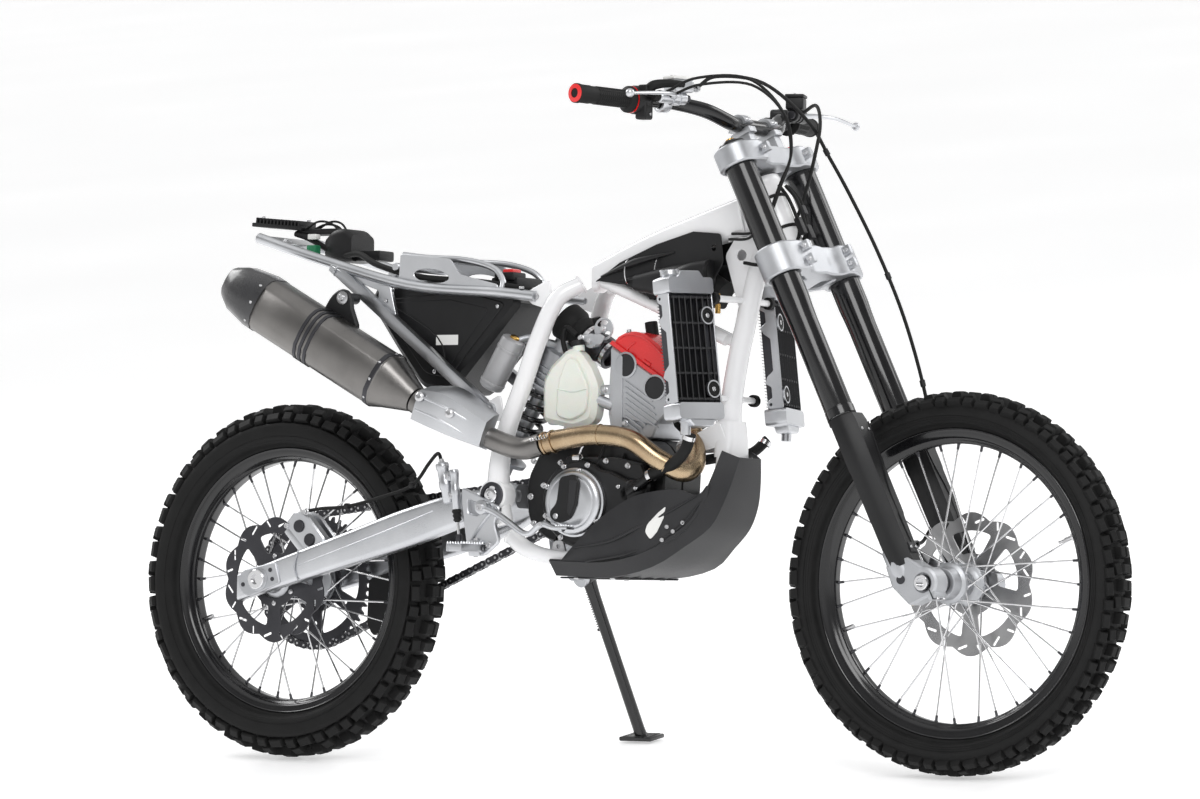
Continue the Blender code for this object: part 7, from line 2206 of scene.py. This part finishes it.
def hoses():
    """Coolant hoses with their clips, and the catch tank's breather, all fixed on the chassis."""
    piece = Piece("coolant_hoses", "chassis", "rubber", RUBBER)
    piece.pipe([(-0.135, -0.245, 0.612), (-0.130, -0.232, 0.585), (-0.118, -0.200, 0.560),
                (-0.110, -0.160, 0.545), (-0.106, -0.138, 0.536)], 0.0110, sides=20, steps=6)
    piece.pipe([(0.135, -0.245, 0.612), (0.110, -0.222, 0.585), (0.030, -0.205, 0.575),
                (-0.060, -0.185, 0.560), (-0.104, -0.150, 0.542)], 0.0095, sides=18, steps=6)
    piece.pipe([(-0.112, -0.262, 0.868), (-0.078, -0.236, 0.858), (-0.055, -0.215, 0.836),
                (-0.048, -0.190, 0.790), (-0.050, -0.166, 0.740)], 0.0095, sides=18, steps=6)
    piece.pipe([(-0.058, 0.056, 0.800), (-0.058, 0.080, 0.815), (-0.060, 0.085, 0.790),
                (-0.060, 0.072, 0.756), (-0.060, 0.052, 0.733), (-0.058, 0.024, 0.716),
                (-0.055, 0.008, 0.700)], 0.0048, sides=14, steps=6)
    piece.use(CHROME)
    for place, way in (((-0.134, -0.242, 0.606), (0.1, 0.4, -1)), ((-0.107, -0.143, 0.538), (0.1, 1, -0.4)),
                       ((0.131, -0.242, 0.606), (-0.4, 0.4, -1))):
        piece.add(washer(0.0112, 0.0124, -0.004, 0.004, 28),
                  facing(way, place))
    piece.done()


def bar_cables():
    """Two throttle cables and the clutch hose, from the bars past the head tube to the backbone."""
    routes = (("throttle_cable_a", 0.0026, [(-0.262, -0.262, 1.226), (-0.235, -0.312, 1.252),
                                            (-0.150, -0.366, 1.256), (-0.070, -0.390, 1.205),
                                            (-0.036, -0.390, 1.130), (-0.042, -0.374, 1.070),
                                            (-0.046, -0.350, 1.010), (-0.043, -0.316, 0.985),
                                            (-0.029, -0.262, 0.984)]),
              ("throttle_cable_b", 0.0026, [(-0.256, -0.266, 1.218), (-0.232, -0.318, 1.240),
                                            (-0.150, -0.374, 1.244), (-0.074, -0.398, 1.196),
                                            (-0.044, -0.396, 1.130), (-0.050, -0.376, 1.070),
                                            (-0.052, -0.350, 1.010), (-0.047, -0.312, 0.975),
                                            (-0.029, -0.256, 0.974)]),
              ("clutch_hose", 0.0034, [(0.196, -0.272, 1.222), (0.150, -0.330, 1.232),
                                       (0.086, -0.378, 1.190), (0.046, -0.392, 1.130),
                                       (0.048, -0.374, 1.070), (0.048, -0.350, 1.010),
                                       (0.044, -0.316, 0.985), (0.029, -0.262, 0.984)]))
    for name, radius, route in routes:
        piece = Piece(name, "steering", "rubber", RUBBER)
        piece.pipe(route, radius, sides=12, steps=8)
        made = piece.done(across=((0, -0.330, 0.975), (0, -0.385, 1.125)))


def front_loom():
    """Wires and connectors strapped to the head tube."""
    piece = Piece("front_loom", "chassis", "rubber", RUBBER)
    for x, lead in ((-0.014, 0.0), (0.000, 0.006), (0.014, 0.002)):
        piece.pipe([(x, -0.352 - lead, 1.072), (x * 1.3, -0.376 - lead, 1.046), (x, -0.393 - lead, 1.006),
                    (x * 0.8, -0.394 - lead, 0.976), (x * 1.6, -0.376, 0.944), (x * 2.4, -0.330, 0.926),
                    (x * 2.2, -0.290, 0.930)], 0.0034, sides=10, steps=6)
    piece.use(PLASTIC)
    for place, size in (((-0.014, -0.400, 0.996), (0.014, 0.012, 0.034)),
                        ((0.010, -0.404, 0.986), (0.016, 0.012, 0.028))):
        piece.add(brick(size, 0.003), at(*place) @ turn(-26, "X"))
    piece.use(GREY)
    piece.add(brick((0.013, 0.010, 0.018), 0.002), at(0.004, -0.394, 1.026) @ turn(-26, "X"))
    piece.use(RUBBER)
    for level in (-0.078, -0.140):
        piece.add(washer(0.0276, 0.0290, -0.003, 0.003, 40),
                  STEER_FRAME @ at(0, 0, level))
    piece.done()


# ---- studio -----------------------------------------------------------------------------------
def camera():
    """The camera, low at the bike's right front and about eleven and a half metres away."""
    place = Vector((-9.709, -6.2753, 0.245))
    yaw, pitch, roll = 0.9941, 0.0378, 0.0161
    ahead = Vector((math.sin(yaw) * math.cos(pitch), math.cos(yaw) * math.cos(pitch), math.sin(pitch)))
    right = ahead.cross(Vector((0, 0, 1))).normalized()
    up = right.cross(ahead)
    right, up = (math.cos(roll) * right + math.sin(roll) * up, -math.sin(roll) * right + math.cos(roll) * up)
    matrix = Matrix((right, up, -ahead)).transposed().to_4x4()
    matrix.translation = place
    data = bpy.data.cameras.new("camera")
    data.lens = 186.594
    data.sensor_width = 36
    data.clip_end = 700
    made = bpy.data.objects.new("camera", data)
    bpy.context.scene.collection.objects.link(made)
    made.matrix_world = BIKE @ matrix
    bpy.context.scene.camera = made


def softbox(name, place, aim, size, power):
    """A rectangular area light."""
    data = bpy.data.lights.new(name, "AREA")
    data.shape = "RECTANGLE"
    data.size, data.size_y = size
    data.energy = power
    made = bpy.data.objects.new(name, data)
    bpy.context.scene.collection.objects.link(made)
    made.matrix_world = facing(Vector(place) - Vector(aim), place)


def studio():
    """A pale floor that gives off a little light, a graded surround and three softboxes."""
    body = bmesh.new()
    bmesh.ops.create_circle(body, cap_ends=True, segments=96, radius=300.0)
    mesh = bpy.data.meshes.new("floor")
    body.to_mesh(mesh)
    body.free()
    floor = bpy.data.objects.new("floor", mesh)
    bpy.context.scene.collection.objects.link(floor)
    mesh.materials.append(surface("floor_paint", (0.86, 0.86, 0.865), (0.90, 0.90, 0.905), (0.30, 0.42),
                                  grain=40, bump=0.02, patches=0.6))
    shine = mesh.materials[0].node_tree.nodes["Principled BSDF"]
    shine.inputs["Emission Color"].default_value = (1.0, 1.0, 1.0, 1)
    shine.inputs["Emission Strength"].default_value = 0.40
    world = bpy.data.worlds.new("surround")
    bpy.context.scene.world = world
    world.use_nodes = True
    tree = world.node_tree
    back = tree.nodes["Background"]
    back.inputs["Strength"].default_value = 1.0
    height = tree.nodes.new("ShaderNodeSeparateXYZ")
    ramp = tree.nodes.new("ShaderNodeValToRGB")
    stops = ((0.0, 1.0), (0.16, 1.0), (0.30, 0.42), (0.60, 0.28), (0.80, 0.75), (1.0, 0.85))
    for index, (place, level) in enumerate(stops):
        stop = ramp.color_ramp.elements[index] if index < 2 else ramp.color_ramp.elements.new(place)
        stop.position = place
        stop.color = (level, level, level, 1)
    tree.links.new(tree.nodes.new("ShaderNodeTexCoord").outputs["Generated"], height.inputs["Vector"])
    tree.links.new(height.outputs["Z"], ramp.inputs["Fac"])
    tree.links.new(ramp.outputs["Color"], back.inputs["Color"])
    bpy.context.scene.view_settings.view_transform = "Standard"
    softbox("key", (-3.5, -3.0, 4.5), (0, 0, 0.6), (3.0, 3.0), 150)
    softbox("fill", (3.5, -2.5, 3.2), (0, 0, 0.6), (3.0, 2.5), 70)
    softbox("back", (0.5, 4.5, 4.0), (0, 0, 0.7), (3.5, 2.0), 110)


camera()
studio()
wheels()
fork_clamps()
fork()
handlebar()
controls()
front_brake()
front_hose()
frame_tubes()
subframe()
swingarm()
shock()
crankcase()
top_end()
intake()
radiators()
skid_plate()
exhaust()
pegs()
pedals()
rear_brake()
drive()
electronics()
side_stand()
hoses()
bar_cables()
front_loom()
